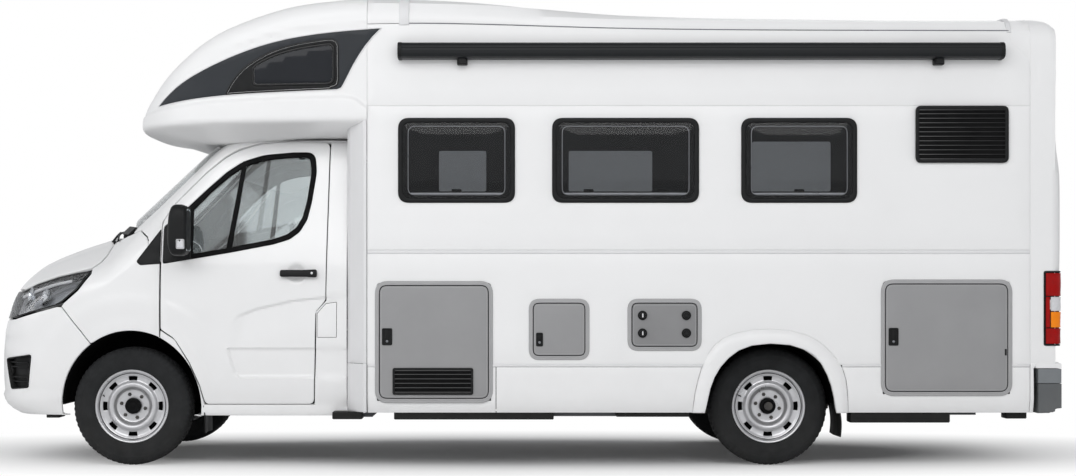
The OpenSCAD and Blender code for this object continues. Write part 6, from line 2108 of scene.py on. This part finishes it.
def wheel(x, side, word, nuts_turn):
    """Tyre, rim, disc, hub cap and nuts of one wheel, with a black disc behind the hand holes and a
    dark ring in the rim's groove, both painted shade.
    """
    body = f"{word}_wheel"
    centre, axle = (x, AXLE_Z), (x, 0, AXLE_Z)
    section = tyre_section() + [WHEEL_Y, 0]
    verts, faces = revolve(section, axle, 384, side, lugs)
    piece(f"{word}_tyre_cover", verts, faces, TYRE, body=body, slot="tyre",
          replaces=[f"{word}_tyre"], sharp=28)
    face = rim_face(centre, side)
    disc = circle((0, 0), 0.201, count=120)
    holes = [slot_outline(a) for a in range(0, 360, 45)]
    holes.append(circle((0, 0), 0.047, count=48))
    rim = Shape()
    rim.add(panel_mesh(disc, face, holes=holes, thickness=0.006, edge=0.0015, step=0.0072,
                       fine=0.006))
    flange = np.array([
        (0.0790, 0.1990), (0.0900, 0.2030), (0.0985, 0.2065), (0.1035, 0.2120), (0.1045, 0.2170),
        (0.1020, 0.2205), (0.0985, 0.2200), (0.0955, 0.2165), (0.0900, 0.2115), (-0.0900, 0.2115),
        (-0.0985, 0.2200), (-0.1045, 0.2170), (-0.0985, 0.2060), (-0.0800, 0.2040),
        (-0.0300, 0.1900), (0.0500, 0.1900), (0.0700, 0.1980)]) + [WHEEL_Y, 0]
    rim.add(revolve(flange, axle, 120, side))
    rim.make(f"{word}_wheel_rim", RIM, body=body, slot="rim_silver", replaces=[f"{word}_rim"],
             sharp=40)
    # A black disc behind the hand holes: painted shade for the unlit drum and hub seen through
    # them.
    back = np.array([(0.030, 0.020), (0.030, 0.1885), (0.026, 0.1885), (0.026, 0.020)])
    piece(f"{word}_wheel_slot_shade", *revolve(back + [WHEEL_Y, 0], axle, 64, side),
          LINER, body=body, slot="rim_silver")
    # A dark ring where the disc meets the flange: painted shade in the groove.
    groove = np.array([(0.0795, 0.1965), (0.0835, 0.1995), (0.0825, 0.2015), (0.0785, 0.1985)])
    piece(f"{word}_rim_groove", *revolve(groove + [WHEEL_Y, 0], axle, 96, side),
          RIM_GROOVE_SHADE, body=body, slot="rim_silver")
    nuts = Shape()
    for k in range(6):
        a = math.radians(60 * k + nuts_turn)
        cx, cz = x + 0.073 * math.cos(a), AXLE_Z + 0.073 * math.sin(a)
        hexagon = np.array([(0.0505, 0.001), (0.0505, 0.0118), (0.0530, 0.0118), (0.0535, 0.0100),
                            (0.0640, 0.0098), (0.0660, 0.0085), (0.0665, 0.001)])
        nuts.add(revolve(hexagon + [WHEEL_Y, 0], (cx, 0, cz), 6, side))
    nuts.make(f"{word}_wheel_nuts", STEEL, body=body, slot="rim_silver", sharp=20)
    cap = np.array([(0.046, 0.001), (0.046, 0.0475), (0.070, 0.0475), (0.0790, 0.0455),
                    (0.0845, 0.0410), (0.0855, 0.0330), (0.0838, 0.0300), (0.0838, 0.0170),
                    (0.0846, 0.0150), (0.0850, 0.001)])
    piece(f"{word}_hub_cap", *revolve(cap + [WHEEL_Y, 0], axle, 64, side), RUBBER,
          body=body, slot="black_plastic")
    a = math.radians(20)
    foot = np.array([x + 0.188 * math.cos(a), side * (WHEEL_Y + 0.070),
                     AXLE_Z + 0.188 * math.sin(a)])
    stem = [foot, foot + [-0.004, side * 0.012, -0.0015], foot + [-0.010, side * 0.028, -0.004]]
    piece(f"{word}_valve", *tube(stem, [0.0045, 0.004, 0.004], 10), BLACK, body=body,
          slot="black_plastic")


for x, end in ((2.345, "front"), (-1.485, "rear")):
    for side, hand in ((1, "left"), (-1, "right")):
        wheel(x, side, f"{end}_{hand}", 12)

# ---------- Rear end ----------


def cast_shell(field, foot_x, turn_x, height, aspect, around, along):
    """A closed shell that opens backwards: rings about a line along X, closed at the tail.

    The rays from the line are spread to suit a section's aspect (across, up)."""
    share = np.linspace(0, 1, along)
    base = foot_x + (turn_x - foot_x) * np.minimum(share / 0.5, 1)
    lean = np.maximum(share - 0.5, 0) / 0.5 * (math.pi / 2)
    angles = np.linspace(0, 2 * math.pi, around, endpoint=False)
    rows = []
    for x0, tip in zip(base, lean):
        ring = np.stack([np.zeros(around), aspect[0] * np.cos(angles),
                         aspect[1] * np.sin(angles)], axis=1)
        ring /= np.linalg.norm(ring, axis=1, keepdims=True)
        ray = ring * math.cos(tip) + np.array([-1.0, 0, 0]) * math.sin(tip)
        centre = np.array([x0, 0.0, height])
        low, high = np.zeros(around), np.full(around, 2.0)
        for _ in range(32):
            middle = (low + high) / 2
            within = field(centre + ray * middle[:, None]) < 0
            low, high = np.where(within, middle, low), np.where(within, high, middle)
        rows.append(centre + ray * low[:, None])
    verts = np.concatenate(rows[:-1] + [rows[-1][:1]])
    faces = []
    for i in range(along - 2):
        for k in range(around):
            m = (k + 1) % around
            a = i * around
            faces.append([a + k, a + m, a + around + m, a + around + k])
    last = (along - 2) * around
    tip = len(verts) - 1
    faces.extend([last + k, last + (k + 1) % around, tip] for k in range(around))
    faces.append(list(range(around)))
    return outward(verts, faces)


def rear_field(p):
    """Negative inside the living body's rear end."""
    y = np.abs(p[:, 1])
    x, z = p[:, 0], p[:, 2]
    side = (y - SKIN_Y - 0.0005) * 0.98
    rear = (-3.200 + 0.008 * (z - 1.5) ** 2 / 1.5 - x) * 0.98
    top = z - ROOF_TOP(x) - 0.034 * (1 - (y / SKIN_Y) ** 2)
    band = 0.006 * smooth((z - 2.298) / 0.006) * smooth((2.356 - z) / 0.006)
    past = smooth((-3.055 - x) / 0.02)
    wrap = blend_max(blend_max(side, rear, 0.05) - band * past, top, 0.15)
    return blend_max(wrap, 0.610 - z, 0.01)


REAR_SIDE = Look(rear_field, (0, 1, 0), (0, 0, 1), far=1.3, near=0.3)
REAR_BACK = Look(rear_field, (-1, 0, 0), (0, 0, 1), far=3.4, near=2.6)
LAMP_BACK = Look(rear_field, (-0.62, 0.78, 0), (0, 0, 1), far=4.2, near=1.5)


def bumper_field(p):
    """Negative inside the rear bumper."""
    x, y, z = p[:, 0], np.abs(p[:, 1]), p[:, 2]
    wrap = blend_max((y - 1.145) * 0.98, (-3.2488 - x) * 0.98, 0.03)
    foot = 0.324 - z
    under = blend_max(wrap, foot, 0.015)
    tail = blend_max((-3.2488 - x) * 0.98, foot, 0.16)
    under = np.maximum(under, np.where(x < -3.08, tail, -1))
    front = x + 3.048 - 0.10 * (z - 0.45)
    return np.maximum(under, front)


def ledge(p):
    """The white step on top of the bumper."""
    return np.maximum(np.maximum(bumper_field(p) + 0.001, p[:, 2] - 0.6190), 0.5920 - p[:, 2])


def rear_end():
    """Rear shell, bumper, ledge, plate and lamps between them."""
    shell = cast_shell(rear_field, -3.0135, -3.14, 1.45, (1.13, 1.1), 260, 90)
    piece("rear_shell", *shell, COACH, slot="coach_white", replaces=["rear_cap"], sharp=50)

    def lower(p):
        return np.maximum(bumper_field(p), p[:, 2] - 0.5015)

    def upper(p):
        return np.maximum(np.maximum(bumper_field(p) + 0.003, p[:, 2] - 0.5885),
                          0.5035 - p[:, 2])

    piece("rear_bumper_lower", *cast_shell(lower, -3.060, -3.16, 0.43, (1.13, 0.10), 260, 50),
          BUMPER, slot="bumper_grey", replaces=["rear_bumper"], sharp=40)
    piece("rear_bumper_upper", *cast_shell(upper, -3.060, -3.16, 0.546, (1.13, 0.043), 260, 50),
          BUMPER_TOP, slot="bumper_grey", sharp=40)
    piece("rear_ledge", *cast_shell(ledge, -3.045, -3.16, 0.6055, (1.13, 0.016), 260, 50), COACH,
          slot="coach_white", sharp=40)
    for side, word in ((1, "left"), (-1, "right")):
        strip = np.array([(-3.015, FOOT_Z), (-3.015, 0.622), (-3.060, 0.622), (-3.034, 0.590),
                          (-3.037, FOOT_Z)])
        panel(f"{word}_rear_filler", strip, skirt_face(1.1355, side), COACH, thickness=0.02,
              edge=0.003, step=0.04, slot="coach_white")
    plate = box_outline((-0.26, 0.80), (0.26, 0.915), 0.01)

    def rear_plane(lift, flat_x=-3.1975):
        def at(flat):
            place = np.stack([np.full(len(flat), flat_x - lift), flat[:, 0], flat[:, 1]], axis=1)
            return place, np.tile([-1.0, 0.0, 0.0], (len(flat), 1))

        return at

    holder = Shape()
    holder.add(panel_mesh(shrunk(plate, -0.012), rear_plane(0.008), holes=[plate],
                          thickness=0.016, edge=0.003, step=0.04))
    holder.add(block((-3.209, -0.10, 0.935), (-3.192, 0.10, 0.958), 0.004))
    holder.make("plate_holder", BLACK, slot="black_plastic")
    panel("plate_blank", shrunk(plate, 0.001), rear_plane(0.004), MOULDED, thickness=0.012,
          edge=0.001, step=0.1, slot="coach_white")
    stop = box_outline((-0.20, 2.44), (0.20, 2.462), 0.008)
    high = REAR_BACK.flat(np.stack([stop[:, 0] * 0, stop[:, 0], stop[:, 1]], axis=1))
    panel("high_stop_lamp", high, REAR_BACK.surface(lift=0.006), RED, thickness=0.014, edge=0.004,
          step=0.03, slot="lamp_red")


def tail_lamp(side, word):
    """Black housing with red, clear and orange lenses, wrapped round the corner."""
    z_low, z_high = 0.724, 1.169

    def region(x_side, y_back, low, high):
        a = REAR_SIDE.cast(REAR_SIDE.flat(np.array(
            [(x_side, 0, z) for z in np.linspace(low, high, 12)])))
        b = REAR_BACK.cast(REAR_BACK.flat(np.array(
            [(0, y_back, z) for z in np.linspace(high, low, 12)])))
        return rounded([tuple(p) for p in ordered(LAMP_BACK.flat(np.concatenate([a, b])))], 0.012,
                       3)

    whole = region(-3.093, 1.046, z_low, z_high)
    glass = region(-3.103, 1.056, z_low + 0.010, z_high - 0.010)
    housing = Shape()
    housing.add(panel_mesh(whole, LAMP_BACK.surface(lift=0.006, side=side), holes=[glass],
                           thickness=0.02, edge=0.004, step=0.03, fine=0.012))
    housing.add(panel_mesh(shrunk(whole, 0.004), LAMP_BACK.surface(lift=0.001, side=side),
                           thickness=0.012, edge=0.0, step=0.05))
    housing.make(f"{word}_tail_lamp_housing", BLACK, slot="black_plastic",
                 replaces=["tail_lamps"] if side > 0 else [])
    zones = [("red_top", -3.1045, 1.0575, 1.019, z_high - 0.012, RED, "lamp_red"),
             ("red_edge", -3.1045, 1.120, 0.832, 1.016, RED, "lamp_red"),
             ("clear", -3.134, 1.0575, 0.930, 1.016, CLEAR_LAMP, "lamp_clear"),
             ("orange", -3.134, 1.0575, 0.832, 0.927, ORANGE, "lamp_red"),
             ("red_foot", -3.1045, 1.0575, z_low + 0.012, 0.829, RED, "lamp_red")]
    for name, x_side, y_back, low, high, material, slot in zones:
        if name == "red_edge":
            a = REAR_SIDE.cast(REAR_SIDE.flat(np.array(
                [(x_side, 0, z) for z in np.linspace(low, high, 8)])))
            b = REAR_SIDE.cast(REAR_SIDE.flat(np.array(
                [(-3.131, 0, z) for z in np.linspace(high, low, 8)])))
            outline = ordered(LAMP_BACK.flat(np.concatenate([a, b])))
        else:
            outline = region(x_side, y_back, low, high)

        def ribs(p):
            return 0.0008 * np.cos(p[:, 2] * 2 * np.pi / 0.0125)

        panel(f"{word}_lamp_{name}", shrunk(outline, 0.001),
              LAMP_BACK.surface(ribs, lift=0.0075, side=side), material, thickness=0.008,
              edge=0.003, step=0.012, fine=0.010, slot=slot)


rear_end()
tail_lamp(1, "left")
tail_lamp(-1, "right")

# ---------- Roof, entrance and underside ----------


def rooflight(x):
    """Frame and dome of one rooflight."""
    z = float(ROOF_TOP(x)) + 0.034
    verts, faces = soft_box((x - 0.200, -0.200, z - 0.050), (x + 0.200, 0.200, z + 0.036), 7, 28)
    dome = Shape()
    dome.add((verts, faces))
    frame = Shape()
    outer = box_outline((x - 0.205, -0.205), (x + 0.205, 0.205), 0.03)

    def level(flat):
        place = np.stack([flat[:, 0], flat[:, 1], np.full(len(flat), z + 0.012)], axis=1)
        return place, np.tile([0.0, 0.0, 1.0], (len(flat), 1))

    frame.add(panel_mesh(outer, level, holes=[shrunk(outer, 0.022)], thickness=0.05, edge=0.006,
                         step=0.05))
    return dome, frame


for n, x in enumerate((-0.150, -1.900)):
    dome, frame = rooflight(x)
    dome.make(f"rooflight_dome_{n}", DOME, slot="roof_plastic",
              replaces=["rooflights"] if n == 0 else [])
    frame.make(f"rooflight_frame_{n}", MOULDED, slot="roof_plastic")

door = box_outline(ENTRANCE[0], ENTRANCE[1], 0.075, 8)
trim = Shape()
trim.add(panel_mesh(shrunk(door, 0.0), side_wall(1.1405, -1), holes=[shrunk(door, 0.0245)],
                    thickness=0.010, edge=0.005, step=0.06, fine=0.02))
trim.make("entrance_frame", MOULDED, slot="coach_white")
panel("entrance_seal", shrunk(door, 0.0248), side_wall(1.1330, -1), RUBBER,
      holes=[shrunk(door, 0.036)], thickness=0.012, edge=0.0, step=0.06, slot="black_plastic")
pane = box_outline((0.372, 1.622), (0.678, 2.058), 0.038)
panel("entrance_leaf", shrunk(door, 0.0292), side_wall(1.1385, -1), COACH, LINING, holes=[pane],
      thickness=0.030, edge=0.004, step=0.08, fine=0.03, body="entrance_door",
      slot="coach_white", replaces=["entrance_door"])
panel("entrance_window_frame", shrunk(pane, -0.018), side_wall(1.1425, -1), BLACK,
      holes=[shrunk(pane, 0.008)], thickness=0.012, edge=0.004, step=0.04, fine=0.02,
      body="entrance_door", slot="black_plastic")
panel("entrance_pane", shrunk(pane, 0.001), side_wall(1.1350, -1), TINTED, thickness=0.006,
      edge=0.0, step=0.1, body="entrance_door", slot="tinted_glass",
      replaces=["entrance_window"])
for z0, z1, name in ((0.95, 1.50, "upper"), (0.52, 0.90, "lower")):
    ring = box_outline((0.290, z0), (0.750, z1), 0.03)
    panel(f"entrance_{name}_moulding", ring, side_wall(1.1415, -1), MOULDED,
          holes=[shrunk(ring, 0.016)], thickness=0.004, edge=0.0025, step=0.05, fine=0.025,
          body="entrance_door", slot="coach_white")
handle = Shape()
case = box_outline((0.262, 1.235), (0.318, 1.385), 0.014)
handle.add(panel_mesh(case, side_wall(1.1445, -1), thickness=0.008, edge=0.003, step=0.02))
grip = box_outline((0.274, 1.262), (0.306, 1.372), 0.012)
handle.add(panel_mesh(grip, side_wall(1.1560, -1), thickness=0.010, edge=0.004, step=0.02))
handle.add(panel_mesh(shrunk(grip, 0.008), side_wall(1.1470, -1), thickness=0.01, edge=0.0,
                      step=0.02))
handle.make("entrance_handle", BLACK, body="entrance_door", slot="black_plastic")
panel("entrance_lock_barrel", circle((0.290, 1.248), 0.008, count=20), side_wall(1.1455, -1), RIM,
      thickness=0.006, edge=0.001, step=0.02, body="entrance_door", slot="rim_silver")
step = Shape()
step.add(block((0.230, -1.120, 0.330), (0.810, -0.880, 0.352), 0.006))
for x in np.linspace(0.255, 0.785, 16):
    step.add(block((x, -1.112, 0.350), (x + 0.012, -0.890, 0.3555), 0.002))
step.make("entrance_step", BLACK, slot="black_plastic")


def mud_flap(x, low, high, y0, y1, side, lean):
    """A hanging rubber flap, slightly bowed."""
    rows = []
    for z in np.linspace(high, low, 14):
        t = (high - z) / (high - low)
        rows.append(np.array([(x - lean * t - 0.010 * math.sin(t * math.pi) - 0.004 * math.cos(
            (y - y0) / (y1 - y0) * 6.3), side * y, z) for y in np.linspace(y0, y1, 12)]))
    grid = np.array(rows)
    back = grid + [0.007, 0, 0]
    n, m = grid.shape[:2]
    verts = np.concatenate([grid.reshape(-1, 3), back.reshape(-1, 3)])
    count = n * m
    faces = []
    for i in range(n - 1):
        for k in range(m - 1):
            a, b, c, d = i * m + k, i * m + k + 1, (i + 1) * m + k + 1, (i + 1) * m + k
            faces += [[a, b, c, d], [d + count, c + count, b + count, a + count]]
    for i in range(n - 1):
        for k, turn in ((0, 1), (m - 1, -1)):
            a, b = i * m + k, (i + 1) * m + k
            faces.append([a, b, b + count, a + count][::turn])
    for k in range(m - 1):
        for i, turn in ((0, -1), (n - 1, 1)):
            a, b = i * m + k, i * m + k + 1
            faces.append([a, b, b + count, a + count][::turn])
    return outward(verts, faces)


flaps = Shape()
for side in (1, -1):
    flaps.add(mud_flap(1.938, 0.195, 0.480, 0.72, 0.97, side, 0.035))
    flaps.add(mud_flap(-1.885, 0.180, 0.370, 0.72, 1.085, side, 0.012))
flaps.make("mud_flaps", BLACK, slot="black_plastic")
boxes = Shape()
for low, high, radius in (
    ((-0.190, 0.985, 0.285), (0.760, 1.105, 0.330), 0.008),
    ((-2.548, 0.985, 0.266), (-1.950, 1.100, 0.330), 0.010),
    ((-1.000, 1.000, 0.300), (-0.560, 1.090, 0.330), 0.010),
    ((0.950, 0.960, 0.285), (1.130, 1.080, 0.330), 0.008),
    ((-3.012, 0.960, 0.288), (-2.885, 1.070, 0.330), 0.008),
    ((2.790, 0.780, 0.284), (2.870, 0.930, 0.306), 0.006),
):
    boxes.add(block(low, high, radius))
boxes.make("under_trays", BLACK, slot="chassis_black")

# ---------- Inside the cab ----------


def cushion(low, high, power=3.4, channels=(), lean=None):
    """A crowned pad with stitched channels across it."""
    verts, faces = soft_box(low, high, power, 26)
    low, high = np.array(low), np.array(high)
    middle = (low + high) / 2
    for c in channels:
        d = np.exp(-(((verts[:, 1] - middle[1] - c) / 0.006) ** 2))
        verts = middle + (verts - middle) * (1 - 0.05 * d[:, None])
    if lean:
        pivot, angle = lean
        a = math.radians(angle)
        dx, dz = verts[:, 0] - pivot[0], verts[:, 2] - pivot[1]
        verts[:, 0] = pivot[0] + dx * math.cos(a) - dz * math.sin(a)
        verts[:, 2] = pivot[1] + dx * math.sin(a) + dz * math.cos(a)
    return verts, faces


for side, word in ((1, "left"), (-1, "right")):
    parts = {
        "seat_cushion": cushion((1.20, 0.235, 0.790), (1.690, 0.685, 0.915), 4.0,
                                (-0.13, 0.13)),
        "seat_back": cushion((1.135, 0.240, 0.860), (1.265, 0.680, 1.440), 4.0, (-0.13, 0.13),
                             ((1.20, 0.86), 11)),
        "head_rest": cushion((1.060, 0.335, 1.455), (1.150, 0.585, 1.640), 3.2, (),
                             ((1.10, 1.45), 6)),
    }
    for name, (verts, faces) in parts.items():
        verts = verts * [1, side, 1]
        faces = [f[::-1] for f in faces] if side < 0 else faces
        obj = piece(f"{word}_{name}", verts, faces, CLOTH, slot="seat_fabric",
                    replaces=["cab_seats"] if side > 0 and name == "seat_cushion" else [],
                    sharp=None)
    base = Shape()
    base.add(block((1.255, side * 0.46 - 0.20, 0.600), (1.635, side * 0.46 + 0.20, 0.792), 0.012))
    for dy in (-0.06, 0.06):
        base.add(tube([(1.095, side * 0.46 + dy, 1.38), (1.085, side * 0.46 + dy, 1.50)], 0.007))
    base.make(f"{word}_seat_base", LINING, slot="dash_plastic")

tilt = math.radians(62)
AXIS = np.array([-math.sin(tilt), 0, math.cos(tilt)])
ACROSS = np.array([math.cos(tilt), 0, math.sin(tilt)])
HUB = np.array([1.800, 0.430, 1.120])


def on_column(along, up, across):
    """A point given along the column, towards the rim's top and sideways."""
    return HUB + AXIS * along + ACROSS * up + np.array([0, 1.0, 0]) * across


wheel_parts = Shape()
turns = np.linspace(0, 2 * math.pi, 73)
ring_verts, ring_faces = [], []
for k, a in enumerate(turns[:-1]):
    for b in np.linspace(0, 2 * math.pi, 14, endpoint=False):
        r = 0.190 + 0.0150 * math.cos(b)
        swell = 1 + 0.12 * math.exp(-((math.sin(a) - 0.35) / 0.2) ** 2)
        ring_verts.append(on_column(0.0150 * math.sin(b) * swell, r * math.sin(a),
                                    r * math.cos(a)))
for k in range(72):
    m = (k + 1) % 72
    for i in range(14):
        j = (i + 1) % 14
        ring_faces.append([k * 14 + i, k * 14 + j, m * 14 + j, m * 14 + i])
wheel_parts.add(outward(np.array(ring_verts), ring_faces))
for a in (30, 150, 270):
    a = math.radians(a)
    spoke = [on_column(0.014 - 0.008 * t, (0.03 + 0.155 * t) * math.sin(a),
                       (0.03 + 0.155 * t) * math.cos(a)) for t in np.linspace(0, 1, 8)]
    wheel_parts.add(tube(spoke, [0.018, 0.016, 0.014, 0.013, 0.012, 0.012, 0.012, 0.012], 10))
pad_verts, pad_faces = soft_box((-0.058, -0.062, -0.02), (0.058, 0.062, 0.042), 3.2, 20)
pad_verts = np.array([on_column(p[2], p[0], p[1]) for p in pad_verts])
wheel_parts.add(outward(pad_verts, pad_faces))
wheel_parts.add(tube([on_column(-0.19, 0, 0), on_column(0.0, 0, 0)], 0.019, 20))
wheel_parts.make("steering_wheel_rim", BLACK, body="steering_wheel", slot="black_plastic",
                 replaces=["steering_wheel"])

# ---------- CAD nodes that stay ----------

for names, material in (
    (("chassis_frame", "front_suspension", "rear_axle"), STEEL),
    (("floor",), TUB),
    (("left_side_wall", "right_side_wall"), COACH),
    (("wheel_arch_liners",), LINER),
    (("locker_boxes",), TUB),
    (("living_furniture",), WOOD),
    (("dashboard",), DASH),
    (("engine_block", "left_knuckle", "right_knuckle"), CAST),
    (("exhaust",), EXHAUST),
    (("underfloor_tanks",), TUB),
):
    for name in names:
        node = bpy.data.objects.get(name)
        if node is None:
            continue
        node.data.materials.clear()
        node.data.materials.append(material)

# ---------- Camera, floor and light ----------


def add_camera():
    """A long lens from the left side, level, with the photograph's framing."""
    data = bpy.data.cameras.new("camera")
    data.sensor_width = 36.0
    data.lens = 62.06
    data.shift_x = 0.026
    data.shift_y = 0.0492
    camera = bpy.data.objects.new("camera", data)
    camera.location = (0.07, 12.13, 1.05)
    camera.rotation_euler = (math.radians(90), 0, math.radians(180))
    bpy.context.scene.collection.objects.link(camera)
    bpy.context.scene.camera = camera


def add_world():
    """Soft ambient light, with plain white behind the object for the camera and for rays through
    glass.
    """
    scene = bpy.context.scene
    world = bpy.data.worlds.new("world")
    scene.world = world
    world.use_nodes = True
    nodes, links = world.node_tree.nodes, world.node_tree.links
    background = nodes["Background"]
    path = nodes.new("ShaderNodeLightPath")
    mix = nodes.new("ShaderNodeMixShader")
    white = nodes.new("ShaderNodeBackground")
    white.inputs["Color"].default_value = (1, 1, 1, 1)
    white.inputs["Strength"].default_value = 1.0
    background.inputs["Color"].default_value = (0.97, 0.98, 1.0, 1)
    place = nodes.new("ShaderNodeTexCoord")
    height = nodes.new("ShaderNodeSeparateXYZ")
    links.new(place.outputs["Generated"], height.inputs["Vector"])
    fall = nodes.new("ShaderNodeMapRange")
    fall.inputs["From Min"].default_value = 0.0
    fall.inputs["From Max"].default_value = 0.8
    fall.inputs["To Min"].default_value = 0.82
    fall.inputs["To Max"].default_value = 0.42
    links.new(height.outputs["Z"], fall.inputs["Value"])
    links.new(fall.outputs["Result"], background.inputs["Strength"])
    add = nodes.new("ShaderNodeMath")
    add.operation = "MAXIMUM"
    links.new(path.outputs["Is Camera Ray"], add.inputs[0])
    links.new(path.outputs["Is Transmission Ray"], add.inputs[1])
    links.new(add.outputs[0], mix.inputs["Fac"])
    links.new(background.outputs[0], mix.inputs[1])
    links.new(white.outputs[0], mix.inputs[2])
    links.new(mix.outputs[0], nodes["World Output"].inputs["Surface"])
    scene.view_settings.view_transform = "Standard"


def area_light(name, place, target, size, power):
    """A rectangular lamp that faces a target."""
    data = bpy.data.lights.new(name, "AREA")
    data.shape = "RECTANGLE"
    data.size, data.size_y = size
    data.energy = power
    light = bpy.data.objects.new(name, data)
    light.location = place
    direction = Vector(target) - Vector(place)
    light.rotation_euler = direction.to_track_quat("-Z", "Y").to_euler()
    bpy.context.scene.collection.objects.link(light)


def add_floor():
    """A plain pale floor that keeps the object's shadow."""
    mesh = bpy.data.meshes.new("floor")
    reach = 60.0
    corners = [(-reach, -reach, 0), (reach, -reach, 0), (reach, reach, 0), (-reach, reach, 0)]
    mesh.from_pydata(corners, [], [(0, 1, 2, 3)])
    floor = bpy.data.objects.new("studio_floor", mesh)
    bpy.context.scene.collection.objects.link(floor)
    tree = Tree("studio_floor")
    tree.shader.inputs["Base Color"].default_value = (0.9, 0.9, 0.9, 1)
    tree.shader.inputs["Roughness"].default_value = 0.9
    emission = tree.add("ShaderNodeEmission")
    emission.inputs["Color"].default_value = (1, 1, 1, 1)
    emission.inputs["Strength"].default_value = 0.03
    path = tree.add("ShaderNodeLightPath")
    strength = tree.math("MAXIMUM", path.outputs["Is Camera Ray"],
                         path.outputs["Is Transmission Ray"])
    both = tree.add("ShaderNodeAddShader")
    pick = tree.add("ShaderNodeMixShader")
    tree.link(tree.shader.outputs[0], both.inputs[0])
    tree.link(emission.outputs[0], both.inputs[1])
    tree.link(strength, pick.inputs["Fac"])
    tree.link(tree.shader.outputs[0], pick.inputs[1])
    tree.link(both.outputs[0], pick.inputs[2])
    white = tree.add("ShaderNodeEmission")
    white.inputs["Color"].default_value = (1, 1, 1, 1)
    white.inputs["Strength"].default_value = 1.0
    away = tree.add("ShaderNodeVectorMath", operation="LENGTH")
    squash = tree.add("ShaderNodeVectorMath", operation="MULTIPLY")
    squash.inputs[1].default_value = (0.34, 1.0, 1.0)
    tree.link(tree.place, squash.inputs[0])
    tree.link(squash.outputs["Vector"], away.inputs[0])
    fade = tree.map(away.outputs["Value"], 0.85, 1.85, 0.0, 1.0)
    seen = tree.math("MULTIPLY", fade, strength)
    blend = tree.add("ShaderNodeMixShader")
    tree.link(seen, blend.inputs["Fac"])
    tree.link(pick.outputs[0], blend.inputs[1])
    tree.link(white.outputs[0], blend.inputs[2])
    tree.link(blend.outputs[0], tree.nodes["Material Output"].inputs["Surface"])
    mesh.materials.append(tree.material)


add_camera()
add_world()
add_floor()
area_light("key", (1.0, 9.5, 6.4), (0, 0, 1.2), (12, 4.5), 400)
area_light("fill", (8, 4, 4), (1, 0, 1.2), (6, 5), 75)
area_light("back", (-6, -8, 7), (0, 0, 1.2), (10, 5), 120)
